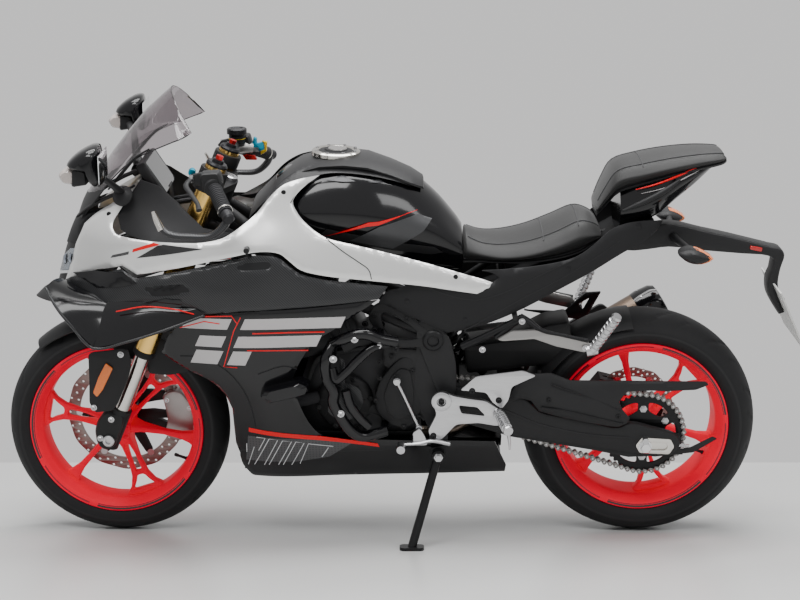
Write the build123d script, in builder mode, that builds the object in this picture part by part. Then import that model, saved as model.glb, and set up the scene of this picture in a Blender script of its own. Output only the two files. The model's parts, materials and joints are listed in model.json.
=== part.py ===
from build123d import *
import math
import os

# Driving dimensions of the whole machine, in millimetres
wheelbase = 1370.0
body_length = 2000.0
body_height = 1000.0
body_width = 500.0

# The parked attitude, in degrees: leaning on the side stand, bars a little to the right
lean_angle = 12.5
steer_angle = 3.5

# Steering geometry
rake_angle = 21.9
fork_offset = 30.0
fork_spread = 200.0

# Wheels and tyres
bead_radius = 215.9
rim_lip = 14.0
rim_wall = 5.0
rim_depth = 13.0
front_tyre_radius = 293.0
front_tyre_width = 110.0
front_crown_height = 35.0
front_seat_width = 88.0
rear_tyre_radius = 306.0
rear_tyre_width = 150.0
rear_crown_height = 44.0
rear_seat_width = 116.0
front_hub_radius = 36.0
front_hub_width = 104.0
rear_hub_radius = 46.0
rear_hub_width = 128.0
front_axle_radius = 9.0
rear_axle_radius = 10.0
pin_clearance = 0.3
seat_gap = 0.3
wide_spoke_count = 3
front_spoke_angle = 49.0
rear_spoke_angle = 43.0
front_spoke_depth = 26.0
rear_spoke_depth = 30.0

# Brake discs
front_disc_radius = 160.0
front_disc_band = 34.0
rear_disc_radius = 110.0
rear_disc_band = 26.0
disc_thickness = 5.0
disc_arm_count = 6
disc_arm_width = 16.0
front_disc_place = 66.0
rear_disc_place = 84.0

# Final drive: a chain of this pitch on two sprockets
chain_pitch = 15.875
rear_teeth = 42
front_teeth = 15
chain_links = 106
chain_place = 96.0
roller_radius = 5.1
roller_width = 7.6
plate_thickness = 2.6
plate_height = 15.0
plate_length = 24.0
sprocket_thickness = 6.0
tooth_height = 3.6
running_gap = 0.8

# Walls of the bodywork
panel_wall = 4.0
screen_wall = 3.0
seat_bite = 1.5
boss_radius = 7.0


def side_place(x_share, z_share):
    """A point of the side view, from shares of the body's length and height."""
    return (x_share * body_length, z_share * body_height)


def place(x_share, y_share, z_share):
    """A point in space, from shares of the body's length, width and height."""
    return Vector(x_share * body_length, y_share * body_width, z_share * body_height)


def crown_radius(width, crown_height):
    """Radius of the arc that crosses the tread from shoulder to shoulder."""
    return ((width / 2) ** 2 + crown_height**2) / (2 * crown_height)


def axle_height(radius, width, crown_height):
    """Height of an axle over the ground, square to the lean, when the tyre leans."""
    crown = crown_radius(width, crown_height)
    return radius - crown + crown / math.cos(math.radians(lean_angle))


front_height = axle_height(front_tyre_radius, front_tyre_width, front_crown_height)
rear_height = axle_height(rear_tyre_radius, rear_tyre_width, rear_crown_height)
front_centre = Vector(0, 0, front_height)
rear_centre = Vector(wheelbase, 0, rear_height)
across = Vector(0, 1, 0)
upward = Vector(0, 0, 1)
backward = Vector(1, 0, 0)

# The steering stem: local z runs up the stem, local x runs back, local y to the right
rake = math.radians(rake_angle)
stem_up = Vector(math.sin(rake), 0, math.cos(rake))
stem_back = Vector(math.cos(rake), 0, -math.sin(rake))
stem = Plane(origin=front_centre + stem_back * fork_offset, x_dir=stem_back, z_dir=stem_up)
leg_places = [(-fork_offset, -fork_spread / 2), (-fork_offset, fork_spread / 2)]

parts = []


def keep(piece, body):
    """Note a finished piece and the moving body that it belongs to."""
    parts.append((piece, body))


def side_plane(centre):
    """Plane of the side view through a point: local x runs back, local y runs up."""
    return Plane(origin=centre, x_dir=(1, 0, 0), z_dir=(0, -1, 0))


def side_face(shares, offset=0.0):
    """Closed outline in the side view, on a plane that is offset to the left."""
    with BuildSketch(Plane.XZ.offset(offset)) as face:
        with BuildLine():
            Polyline([side_place(x, z) for x, z in shares], close=True)
        make_face()
    return face.sketch


def side_normal(start_shares, end_shares):
    """Unit vector in the side view, square to an outline's edge and out of it."""
    start = Vector(*side_place(*start_shares))
    end = Vector(*side_place(*end_shares))
    run = (end - start).normalized()
    return (run.Y, 0, -run.X)


def bar(start, end, radius):
    """Round bar from one point to another, added to the part in hand."""
    run = end - start
    with BuildSketch(Plane(origin=start, z_dir=run)) as ring:
        Circle(radius)
    extrude(ring.sketch, amount=run.length)


def reach(piece, start, heading):
    """Distance from a point, along a heading, to the first face of a piece."""
    hits = piece.find_intersection_points(Axis(start, heading))
    distances = [(point - start).dot(heading) for point, normal in hits]
    return min(distance for distance in distances if distance > 0)


def boss(piece, start, heading, radius):
    """Round boss from a point to a piece that it carries, fitted to the piece's face."""
    with BuildPart(mode=Mode.PRIVATE) as post:
        bar(start, start + heading * (reach(piece, start, heading) + seat_bite), radius)
        add(piece, mode=Mode.SUBTRACT)
    add(post.part.solids().sort_by(SortBy.VOLUME)[-1])


def hump(rows):
    """Loft of cross-sections with a flat floor, bulging sides and a crowned top.

    Each row has shares: x, then floor, side, shoulder and crown heights, then the
    half widths at floor, side and shoulder.
    """
    sections = []
    for x, floor, side, shoulder, crown, floor_y, side_y, shoulder_y in rows:
        plane = Plane(origin=place(x, 0, 0), x_dir=(0, 1, 0), z_dir=(1, 0, 0))
        right_foot = (floor_y * body_width, floor * body_height)
        right_side = (side_y * body_width, side * body_height)
        right_shoulder = (shoulder_y * body_width, shoulder * body_height)
        top = (0, crown * body_height)
        left_foot = (-floor_y * body_width, floor * body_height)
        left_side = (-side_y * body_width, side * body_height)
        left_shoulder = (-shoulder_y * body_width, shoulder * body_height)
        with BuildSketch(plane) as section:
            with BuildLine():
                Line(left_foot, right_foot)
                ThreePointArc(right_foot, right_side, right_shoulder)
                ThreePointArc(right_shoulder, top, left_shoulder)
                ThreePointArc(left_shoulder, left_side, left_foot)
            make_face()
        sections.append(section.sketch)
    loft(sections)


def side_skin(rows, wall):
    """Thin curved wall on the left side, lofted between plan curves at rising heights.

    Each row has shares: height, then x and half width of the front, middle and rear.
    """
    sections = []
    for z, front_x, front_y, mid_x, mid_y, rear_x, rear_y in rows:
        front = (front_x * body_length, -front_y * body_width)
        middle = (mid_x * body_length, -mid_y * body_width)
        rear = (rear_x * body_length, -rear_y * body_width)
        inner_front = (front[0], front[1] + wall)
        inner_middle = (middle[0], middle[1] + wall)
        inner_rear = (rear[0], rear[1] + wall)
        with BuildSketch(Plane.XY.offset(z * body_height)) as section:
            with BuildLine():
                ThreePointArc(front, middle, rear)
                Line(rear, inner_rear)
                ThreePointArc(inner_rear, inner_middle, inner_front)
                Line(inner_front, front)
            make_face()
        sections.append(section.sketch)
    loft(sections, ruled=True)


def bow_skin(rows, wall):
    """Thin wall that bows round the front, lofted between plan arcs at rising heights.

    Each row has shares: height, x of the middle, x of the two ends, half width.
    """
    sections = []
    for z, mid_x, end_x, half_y in rows:
        left = (end_x * body_length, -half_y * body_width)
        tip = (mid_x * body_length, 0)
        right = (end_x * body_length, half_y * body_width)
        inner_left = (left[0] + wall, left[1] + wall)
        inner_tip = (tip[0] + wall, 0)
        inner_right = (right[0] + wall, right[1] - wall)
        with BuildSketch(Plane.XY.offset(z * body_height)) as section:
            with BuildLine():
                ThreePointArc(left, tip, right)
                Line(right, inner_right)
                ThreePointArc(inner_right, inner_tip, inner_left)
                Line(inner_left, left)
            make_face()
        sections.append(section.sketch)
    loft(sections, ruled=True)


# Tyres

def tyre(centre, radius, width, crown_height, seat_width):
    """Tyre turned round the axle: bead, sidewall and a crown that leans round."""
    shoulder = radius - crown_height
    lip = bead_radius + rim_lip + seat_gap
    section_plane = Plane(origin=centre, x_dir=(0, 1, 0), z_dir=(1, 0, 0))
    with BuildPart() as ring:
        with BuildSketch(section_plane):
            with BuildLine():
                Line((-seat_width / 2, bead_radius), (seat_width / 2, bead_radius))
                Line((seat_width / 2, bead_radius), (seat_width / 2, lip))
                Line((seat_width / 2, lip), (width / 2, shoulder))
                ThreePointArc((width / 2, shoulder), (0, radius), (-width / 2, shoulder))
                Line((-width / 2, shoulder), (-seat_width / 2, lip))
                Line((-seat_width / 2, lip), (-seat_width / 2, bead_radius))
            make_face()
        revolve(axis=Axis(centre, across))
    return ring.part


front_tyre = tyre(
    front_centre, front_tyre_radius, front_tyre_width, front_crown_height, front_seat_width
)
front_tyre.label = "front_tyre"
keep(front_tyre, "front_wheel")

rear_tyre = tyre(
    rear_centre, rear_tyre_radius, rear_tyre_width, rear_crown_height, rear_seat_width
)
rear_tyre.label = "rear_tyre"
keep(rear_tyre, "rear_wheel")


# Cast wheels

# Wide spoke: radius and half width, as shares of the bead radius
wide_spoke_shares = ((0.12, 0.075), (0.50, 0.085), (0.78, 0.125), (0.95, 0.24))
wide_slot_shares = ((0.30, 0.022), (0.70, 0.03), (0.84, 0.075))
thin_spoke_shares = ((0.12, 0.055), (0.55, 0.035), (0.95, 0.05))


def spoke_points(shares):
    """Outline of a spoke that lies along local x, from radius and half width shares."""
    upper = [(r * bead_radius, w * bead_radius) for r, w in shares]
    lower = [(r * bead_radius, -w * bead_radius) for r, w in reversed(shares)]
    return upper + lower


def cast_wheel(centre, seat_width, hub_radius, hub_width, axle_radius, spoke_depth, angle):
    """Rim, hub, three wide slotted spokes and three thin ones, in one casting."""
    section_plane = Plane(origin=centre, x_dir=(0, 1, 0), z_dir=(1, 0, 0))
    spoke_plane = side_plane(centre)
    seat = seat_width / 2
    flange = seat + rim_wall
    with BuildPart() as casting:
        with BuildSketch(section_plane):
            with BuildLine():
                Polyline(
                    (-flange, bead_radius + rim_lip),
                    (-seat, bead_radius + rim_lip),
                    (-seat, bead_radius),
                    (seat, bead_radius),
                    (seat, bead_radius + rim_lip),
                    (flange, bead_radius + rim_lip),
                    (flange, bead_radius - rim_wall),
                    (seat - rim_depth, bead_radius - rim_depth),
                    (-seat + rim_depth, bead_radius - rim_depth),
                    (-flange, bead_radius - rim_wall),
                    close=True,
                )
            make_face()
        revolve(axis=Axis(centre, across))
        with BuildSketch(spoke_plane):
            with PolarLocations(0, wide_spoke_count, start_angle=angle):
                Polygon(*spoke_points(wide_spoke_shares), align=None)
            half_turn = 180 / wide_spoke_count
            with PolarLocations(0, wide_spoke_count, start_angle=angle + half_turn):
                Polygon(*spoke_points(thin_spoke_shares), align=None)
            with PolarLocations(0, wide_spoke_count, start_angle=angle):
                Polygon(*spoke_points(wide_slot_shares), align=None, mode=Mode.SUBTRACT)
        extrude(amount=spoke_depth / 2, both=True)
        with BuildSketch(spoke_plane):
            Circle(hub_radius)
        extrude(amount=hub_width / 2, both=True)
        with BuildSketch(spoke_plane):
            Circle(axle_radius + pin_clearance)
        extrude(amount=hub_width, both=True, mode=Mode.SUBTRACT)
    return casting.part


front_wheel = cast_wheel(
    front_centre,
    front_seat_width,
    front_hub_radius,
    front_hub_width,
    front_axle_radius,
    front_spoke_depth,
    front_spoke_angle,
)
front_wheel.label = "front_wheel"
keep(front_wheel, "front_wheel")

rear_wheel = cast_wheel(
    rear_centre,
    rear_seat_width,
    rear_hub_radius,
    rear_hub_width,
    rear_axle_radius,
    rear_spoke_depth,
    rear_spoke_angle,
)
rear_wheel.label = "rear_wheel"
keep(rear_wheel, "rear_wheel")


# Brake discs

def brake_disc(centre, offset, radius, band, hub_radius, hub_width):
    """Floating disc: a flat band on arms that reach in to the hub's end."""
    disc_plane = side_plane(centre + across * offset)
    inner = radius - band
    with BuildPart() as disc:
        with BuildSketch(disc_plane):
            Circle(radius)
            Circle(inner, mode=Mode.SUBTRACT)
            with PolarLocations(0, disc_arm_count):
                Rectangle(inner + band / 2, disc_arm_width, align=(Align.MIN, Align.CENTER))
            Circle(hub_radius)
        extrude(amount=disc_thickness / 2, both=True)
        with BuildSketch(disc_plane):
            Circle(hub_radius)
        extrude(amount=offset - hub_width / 2)
        with BuildSketch(disc_plane):
            Circle(hub_radius / 2)
        extrude(amount=offset, both=True, mode=Mode.SUBTRACT)
    return disc.part


front_disc = brake_disc(
    front_centre,
    front_disc_place,
    front_disc_radius,
    front_disc_band,
    front_hub_radius,
    front_hub_width,
)
front_disc.label = "front_disc"
keep(front_disc, "front_wheel")

rear_disc = brake_disc(
    rear_centre,
    rear_disc_place,
    rear_disc_radius,
    rear_disc_band,
    rear_hub_radius,
    rear_hub_width,
)
rear_disc.label = "rear_disc"
keep(rear_disc, "rear_wheel")


# Sprocket and chain

rear_pitch_radius = chain_pitch / (2 * math.sin(math.pi / rear_teeth))
front_pitch_radius = chain_pitch / (2 * math.sin(math.pi / front_teeth))
tooth_tip = rear_pitch_radius - roller_radius - running_gap
tooth_root = tooth_tip - tooth_height
sprocket_plane = side_plane(rear_centre - across * chain_place)
window_count = 6
tooth_turn_shares = (0.0, 0.35, 0.65)
window_ring_share = 0.66
window_radius_share = 0.15

with BuildPart() as sprocket:
    tooth_step = 360 / rear_teeth
    tooth_outline = []
    for tooth in range(rear_teeth):
        for turn_share, height in zip(tooth_turn_shares, (tooth_root, tooth_tip, tooth_tip)):
            angle = math.radians((tooth + turn_share) * tooth_step)
            tooth_outline.append((height * math.cos(angle), height * math.sin(angle)))
    with BuildSketch(sprocket_plane):
        Polygon(*tooth_outline, align=None)
        with PolarLocations(tooth_root * window_ring_share, window_count):
            Circle(tooth_root * window_radius_share, mode=Mode.SUBTRACT)
    extrude(amount=sprocket_thickness / 2, both=True)
    with BuildSketch(sprocket_plane):
        Circle(rear_hub_radius)
    extrude(amount=-(chain_place - rear_hub_width / 2))
    with BuildSketch(sprocket_plane):
        Circle(rear_hub_radius / 2)
    extrude(amount=chain_place, both=True, mode=Mode.SUBTRACT)
sprocket.part.label = "sprocket"
keep(sprocket.part, "rear_wheel")

# The countershaft, as shares of the body, and the chain's loop round both sprockets
countershaft = place(0.385, 0, 0.432)
shaft_run = rear_centre - countershaft
shaft_distance = shaft_run.length
shaft_slope = math.degrees(math.atan2(shaft_run.Z, shaft_run.X))
wrap_angle = math.degrees(math.asin((rear_pitch_radius - front_pitch_radius) / shaft_distance))
chain_plane = Plane(
    origin=countershaft - across * chain_place,
    x_dir=shaft_run.normalized(),
    z_dir=(0, -1, 0),
)


def chain_loop(swell):
    """Face inside the chain's pitch line, grown or shrunk by a radius."""
    turn = math.radians(90 + wrap_angle)
    small = front_pitch_radius + swell
    large = rear_pitch_radius + swell
    up_small = (small * math.cos(turn), small * math.sin(turn))
    up_large = (shaft_distance + large * math.cos(turn), large * math.sin(turn))
    with BuildSketch(chain_plane) as loop:
        with BuildLine():
            Line(up_small, up_large)
            ThreePointArc(up_large, (shaft_distance + large, 0), (up_large[0], -up_large[1]))
            Line((up_large[0], -up_large[1]), (up_small[0], -up_small[1]))
            ThreePointArc((up_small[0], -up_small[1]), (-small, 0), up_small)
        make_face()
    return loop.sketch


def chain_stations():
    """Places and headings of every second link, evenly spread along the pitch line."""
    turn = math.radians(90 + wrap_angle)
    straight = shaft_distance * math.cos(math.radians(wrap_angle))
    large_arc = rear_pitch_radius * math.radians(180 + 2 * wrap_angle)
    small_arc = front_pitch_radius * math.radians(180 - 2 * wrap_angle)
    length = 2 * straight + large_arc + small_arc
    count = chain_links // 2
    stations = []
    for link in range(count):
        along = length * link / count
        if along < straight:
            heading = wrap_angle
            x = front_pitch_radius * math.cos(turn) + along * math.cos(math.radians(heading))
            z = front_pitch_radius * math.sin(turn) + along * math.sin(math.radians(heading))
        elif along < straight + large_arc:
            swing = turn - (along - straight) / rear_pitch_radius
            x = shaft_distance + rear_pitch_radius * math.cos(swing)
            z = rear_pitch_radius * math.sin(swing)
            heading = math.degrees(swing) - 90
        elif along < 2 * straight + large_arc:
            back = along - straight - large_arc
            heading = 180 - wrap_angle
            x = (
                shaft_distance
                + rear_pitch_radius * math.cos(turn)
                + back * math.cos(math.radians(heading))
            )
            z = -rear_pitch_radius * math.sin(turn) + back * math.sin(math.radians(heading))
        else:
            rest_of_loop = along - 2 * straight - large_arc
            swing = -turn - rest_of_loop / front_pitch_radius
            x = front_pitch_radius * math.cos(swing)
            z = front_pitch_radius * math.sin(swing)
            heading = math.degrees(swing) - 90
        stations.append((x, z, heading))
    return stations


with BuildPart() as chain:
    rollers = roller_width / 2
    extrude(chain_loop(roller_radius), amount=rollers, both=True)
    extrude(chain_loop(-roller_radius), amount=rollers, both=True, mode=Mode.SUBTRACT)
    with BuildSketch(chain_plane) as plates:
        for x, z, heading in chain_stations():
            with Locations(Location((x, z, 0), heading)):
                Rectangle(plate_length, plate_height)
    extrude(plates.sketch, amount=rollers + plate_thickness, both=True)
    extrude(chain_loop(-roller_radius), amount=rollers, both=True, mode=Mode.SUBTRACT)
chain.part.label = "chain"
keep(chain.part, "chassis")


# Axles and fork

front_axle_length = 250.0
rear_axle_length = 264.0
axle_end_radius = 8.0
axle_end_length = 20.0
axle_neck_radius = 7.0
axle_neck_length = 3.0
leg_foot_radius = 26.0
leg_slider_radius = 20.5
leg_tube_radius = 27.0
foot_drop = 24.0
foot_rise = 84.0
slider_rise = 246.0
leg_length = 778.0
lower_clamp_rise = 545.0
lower_clamp_depth = 34.0
upper_clamp_rise = 712.0
upper_clamp_depth = 20.0
clamp_wall = 11.0
stem_radius = 14.0
head_tube_radius = 28.0
head_tube_bore = 17.0

with BuildPart() as front_axle:
    with BuildSketch(side_plane(front_centre)):
        Circle(front_axle_radius)
    extrude(amount=front_axle_length / 2, both=True)
front_axle.part.label = "front_axle"
keep(front_axle.part, "front_end")

with BuildPart() as rear_axle:
    half = rear_axle_length / 2
    for radius, reach_out in (
        (rear_axle_radius, half),
        (axle_neck_radius, half + axle_neck_length),
    ):
        with BuildSketch(side_plane(rear_centre)) as axle_ring:
            Circle(radius)
        extrude(axle_ring.sketch, amount=reach_out, both=True)
    for side in (-1, 1):
        neck_end = rear_centre + across * side * (half + axle_neck_length)
        bar(neck_end, neck_end + across * side * axle_end_length, axle_end_radius)
rear_axle.part.label = "rear_axle"
keep(rear_axle.part, "chassis")

with BuildPart() as fork_feet:
    with BuildSketch(stem.offset(-foot_drop)):
        with Locations(*leg_places):
            Circle(leg_foot_radius)
    extrude(amount=foot_drop + foot_rise)
    with BuildSketch(side_plane(front_centre)):
        Circle(front_axle_radius)
    extrude(amount=front_axle_length, both=True, mode=Mode.SUBTRACT)
fork_feet.part.label = "fork_feet"
keep(fork_feet.part, "front_end")

with BuildPart() as fork_sliders:
    with BuildSketch(stem.offset(foot_rise)):
        with Locations(*leg_places):
            Circle(leg_slider_radius)
    extrude(amount=slider_rise - foot_rise)
fork_sliders.part.label = "fork_sliders"
keep(fork_sliders.part, "front_end")

with BuildPart() as fork_tubes:
    with BuildSketch(stem.offset(slider_rise)):
        with Locations(*leg_places):
            Circle(leg_tube_radius)
    extrude(amount=leg_length - slider_rise)
fork_tubes.part.label = "fork_tubes"
keep(fork_tubes.part, "front_end")

with BuildPart() as fork_clamps:
    for rise, depth in (
        (lower_clamp_rise, lower_clamp_depth),
        (upper_clamp_rise, upper_clamp_depth),
    ):
        with BuildSketch(stem.offset(rise)):
            with Locations(*leg_places):
                Circle(leg_tube_radius + clamp_wall)
            Circle(head_tube_radius)
            make_hull()
            with Locations(*leg_places):
                Circle(leg_tube_radius, mode=Mode.SUBTRACT)
        extrude(amount=depth)
    with BuildSketch(stem.offset(lower_clamp_rise)):
        Circle(stem_radius)
    extrude(amount=upper_clamp_rise - lower_clamp_rise)
fork_clamps.part.label = "fork_clamps"
keep(fork_clamps.part, "front_end")


# Handlebars: a clamp on each leg, an arm, and a bar that carries the grip

bar_radius = 11.0
grip_radius = 16.5
clip_rise = 738.0
clip_depth = 30.0
clip_wall = 8.0
bar_root = place(0.1475, -0.43, 1.007)
bar_end = place(0.1775, -0.69, 0.956)
bar_run = (bar_end - bar_root).normalized()
grip_length = 118.0
pod_length = 46.0
pod_radius = 24.0
lever_reach = 62.0
lever_length = 150.0
lever_radius = 6.0
lever_drop = 12.0
guard_radius = 8.0
bar_end_radius = 14.0
bar_end_length = 30.0
guard_seat = 18.0
cup_radius = 21.0
cup_height = 46.0
cup_place = place(0.150, 0.40, 1.012)

grip_start = bar_end - bar_run * grip_length
pod_start = grip_start - bar_run * (pod_length + seat_gap)
forward = Vector(-1, 0, 0)
drop = Vector(0, 0, -1)
lever_pivot = pod_start + forward * lever_reach / 2 + drop * lever_drop
lever_knee = grip_start + forward * lever_reach + drop * lever_drop
lever_tip = lever_knee + bar_run * lever_length
guard_root = bar_end + bar_run * guard_seat
guard_bend = guard_root + forward * lever_reach * 2
guard_tip = lever_knee + forward * lever_reach / 2 + bar_run * grip_length / 2

with BuildPart() as handlebars:
    clip_centre = leg_places[0]
    with BuildSketch(stem.offset(clip_rise)):
        with Locations(clip_centre):
            Circle(leg_tube_radius + clip_wall)
            Circle(leg_tube_radius, mode=Mode.SUBTRACT)
    extrude(amount=clip_depth)
    clip_side = stem.from_local_coords(
        Vector(
            clip_centre[0],
            clip_centre[1] - leg_tube_radius - clip_wall / 2,
            clip_rise + clip_depth / 2,
        )
    )
    bar(clip_side, bar_root, bar_radius)
    bar(bar_root - bar_run * bar_radius, bar_end, bar_radius)
    bar(pod_start, grip_start, pod_radius)
    bar(pod_start + bar_run * pod_length / 2, lever_pivot, lever_radius * 2)
    bar(lever_pivot, lever_knee, lever_radius)
    bar(lever_knee, lever_tip, lever_radius)
    bar(bar_end, bar_end + bar_run * bar_end_length, bar_end_radius)
    bar(guard_root, guard_bend, guard_radius)
    bar(guard_bend - forward * guard_radius, guard_tip, guard_radius)
    mirror(about=Plane.XZ)
    with BuildSketch(Plane.XY.offset(cup_place.Z)):
        with Locations((cup_place.X, cup_place.Y)):
            Circle(cup_radius)
    extrude(amount=cup_height)
    bar(cup_place, Vector(pod_start.X, -pod_start.Y, pod_start.Z), lever_radius)
handlebars.part.label = "handlebars"
keep(handlebars.part, "front_end")

with BuildPart() as grips:
    with BuildSketch(Plane(origin=grip_start + bar_run * seat_gap, z_dir=bar_run)) as grip_ring:
        Circle(grip_radius)
        Circle(bar_radius + seat_gap, mode=Mode.SUBTRACT)
    extrude(grip_ring.sketch, amount=grip_length - 2 * seat_gap)
    mirror(about=Plane.XZ)
grips.part.label = "grips"
keep(grips.part, "front_end")


# Front mudguard, wrapped round the tyre, with a guard plate down each fork leg

guard_gap = 14.0
fender_half_width = 64.0
fender_wall = 3.0
fender_drop = 46.0
fender_start_angle = 41.0
fender_sweep = 84.0
guard_plate_place = 90.0
guard_plate_wall = 4.0
guard_bridge_width = 60.0
guard_plate_shares = (
    (-0.022, 0.537),
    (0.034, 0.550),
    (0.0260, 0.457),
    (0.0115, 0.385),
    (-0.0165, 0.385),
    (-0.0235, 0.407),
    (-0.0225, 0.500),
)
fender_skirt_shares = (
    (0.045, 0.575),
    (0.050, 0.470),
    (0.0985, 0.463),
    (0.100, 0.480),
    (0.080, 0.530),
)

with BuildPart() as front_fender:
    fender_radius = front_tyre_radius + guard_gap
    fender_edge = fender_radius - fender_drop
    start_plane = Plane(
        origin=front_centre,
        x_dir=(0, 1, 0),
        z_dir=Vector(1, 0, 0).rotate(Axis.Y, 90 - fender_start_angle),
    )
    with BuildSketch(start_plane):
        with BuildLine():
            ThreePointArc(
                (-fender_half_width, fender_edge),
                (0, fender_radius),
                (fender_half_width, fender_edge),
            )
            Line(
                (fender_half_width, fender_edge),
                (fender_half_width + fender_wall, fender_edge),
            )
            ThreePointArc(
                (fender_half_width + fender_wall, fender_edge),
                (0, fender_radius + fender_wall),
                (-fender_half_width - fender_wall, fender_edge),
            )
            Line(
                (-fender_half_width - fender_wall, fender_edge),
                (-fender_half_width, fender_edge),
            )
        make_face()
    revolve(axis=Axis(front_centre, -across), revolution_arc=fender_sweep)
    extrude(side_face(guard_plate_shares, guard_plate_place), amount=guard_plate_wall)
    add(fork_sliders.part, mode=Mode.SUBTRACT)
    add(fork_feet.part, mode=Mode.SUBTRACT)
    extrude(side_face(fender_skirt_shares, fender_half_width), amount=fender_wall)
    with BuildSketch(side_plane(front_centre - across * fender_half_width)) as bridge:
        Circle(fender_radius)
        Circle(fender_edge, mode=Mode.SUBTRACT)
        Rectangle(guard_bridge_width, fender_radius, align=(Align.MIN, Align.MIN), mode=Mode.INTERSECT)
    extrude(bridge.sketch, amount=guard_plate_place + guard_plate_wall - fender_half_width)
    mirror(about=Plane.XZ)
front_fender.part.label = "front_fender"
keep(front_fender.part, "front_end")

# Calipers: outlines round the axle, as shares of the disc's radius
caliper_shares = (
    (0.625, 0.41),
    (0.975, 0.485),
    (1.19, 0.035),
    (1.10, -0.37),
    (0.75, -0.435),
    (0.60, -0.03),
)
caliper_arm_shares = ((0.125, 0.315), (0.65, 0.36), (0.775, -0.28), (0.20, 0.035))
caliper_depth = 60.0
caliper_slot = 9.0


def disc_face(shares, centre, radius):
    """Closed outline in the plane of a point, from shares of a disc's radius."""
    with BuildSketch(side_plane(centre)) as face:
        Polygon(*[(x * radius, z * radius) for x, z in shares], align=None)
    return face.sketch


def caliper_block(centre, offset, radius):
    """Block over a disc's rim, slotted for the disc."""
    outer_centre = centre + across * (offset + caliper_depth / 2)
    with BuildPart(mode=Mode.PRIVATE) as block:
        extrude(disc_face(caliper_shares, outer_centre, radius), amount=caliper_depth)
        with BuildSketch(side_plane(centre + across * offset)):
            Circle(radius + caliper_slot)
        extrude(amount=caliper_slot / 2, both=True, mode=Mode.SUBTRACT)
    return block.part


with BuildPart() as front_caliper:
    add(caliper_block(front_centre, front_disc_place, front_disc_radius))
    arm_centre = front_centre + across * (front_disc_place + caliper_depth / 2)
    extrude(disc_face(caliper_arm_shares, arm_centre, front_disc_radius), amount=caliper_slot)
    with BuildSketch(stem.offset(-foot_drop)):
        with Locations(leg_places[1]):
            Circle(leg_foot_radius)
    extrude(amount=leg_length, mode=Mode.SUBTRACT)
front_caliper.part.label = "front_caliper"
keep(front_caliper.part, "front_end")


# Frame: head tube, bars between named joints, and plates that carry the rear suspension

frame_tube_radius = 14.0
frame_brace_radius = 10.0
pivot_plate_wall = 14.0
pivot_plate_place = 0.268
pivot_radius = 15.0
pivot = place(0.4225, 0, 0.425)
neck_top_rise = 670.0
neck_foot_rise = 611.0
neck_half = 30.0
frame_joint_shares = {
    "front hang": (0.2450, 0.22, 0.650),
    "corner": (0.2870, 0.25, 0.700),
    "middle": (0.3350, 0.25, 0.650),
    "hub": (0.4100, 0.27, 0.590),
    "seat foot": (0.4400, 0.20, 0.620),
    "seat rail": (0.5000, 0.20, 0.725),
    "tail rail": (0.6600, 0.10, 0.815),
    "tail foot": (0.5150, 0.20, 0.645),
}
frame_joints = {name: place(*shares) for name, shares in frame_joint_shares.items()}
frame_joints["neck top"] = stem.from_local_coords(Vector(0, neck_half, neck_top_rise))
frame_joints["neck foot"] = stem.from_local_coords(Vector(0, neck_half, neck_foot_rise))
frame_bars = (
    ("neck top", "corner"),
    ("neck foot", "front hang"),
    ("front hang", "corner"),
    ("corner", "middle"),
    ("middle", "hub"),
    ("neck foot", "corner"),
)
rail_bars = (
    ("hub", "seat rail"),
    ("seat rail", "tail rail"),
    ("hub", "tail foot"),
    ("tail foot", "tail rail"),
    ("seat rail", "tail foot"),
)
pivot_plate_shares = (
    (0.395, 0.620),
    (0.425, 0.615),
    (0.440, 0.450),
    (0.435, 0.350),
    (0.410, 0.330),
    (0.390, 0.420),
    (0.389, 0.500),
)


def frame_joint(name, side):
    """A joint of the frame, on the left (-1) or right (1)."""
    joint = frame_joints[name]
    return Vector(joint.X, side * joint.Y, joint.Z)


cross_tube_names = ("front hang", "corner", "hub", "seat rail", "tail rail")

# Engine: crankcase block, leaning cylinder, and round covers on both sides

engine_half_width = 0.24
crankcase_shares = (
    (0.235, 0.345),
    (0.250, 0.310),
    (0.395, 0.310),
    (0.400, 0.520),
    (0.360, 0.560),
    (0.265, 0.520),
)
cylinder_shares = ((0.225, 0.500), (0.330, 0.540), (0.310, 0.625), (0.262, 0.640), (0.210, 0.560))
cylinder_half_width = 0.20
sump_shares = ((0.255, 0.312), (0.275, 0.264), (0.380, 0.264), (0.390, 0.312))
sump_half_width = 0.15
cover_depth = 22.0
cover_wall = 8.0
chain_pocket_gap = 4.0
shaft_radius = 12.0
stator_radius = 62.0
clutch_radius = 74.0
pump_radius = 40.0
# Round covers: x and z shares, radius, and the sides that carry one (-1 left, 1 right)
cover_table = (
    (0.300, 0.400, stator_radius, (-1,)),
    (0.330, 0.410, clutch_radius, (1,)),
    (0.335, 0.350, pump_radius, (-1, 1)),
)
sprocket_cover_shares = (
    (0.346, 0.426),
    (0.362, 0.510),
    (0.386, 0.512),
    (0.386, 0.360),
    (0.365, 0.345),
)

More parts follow.
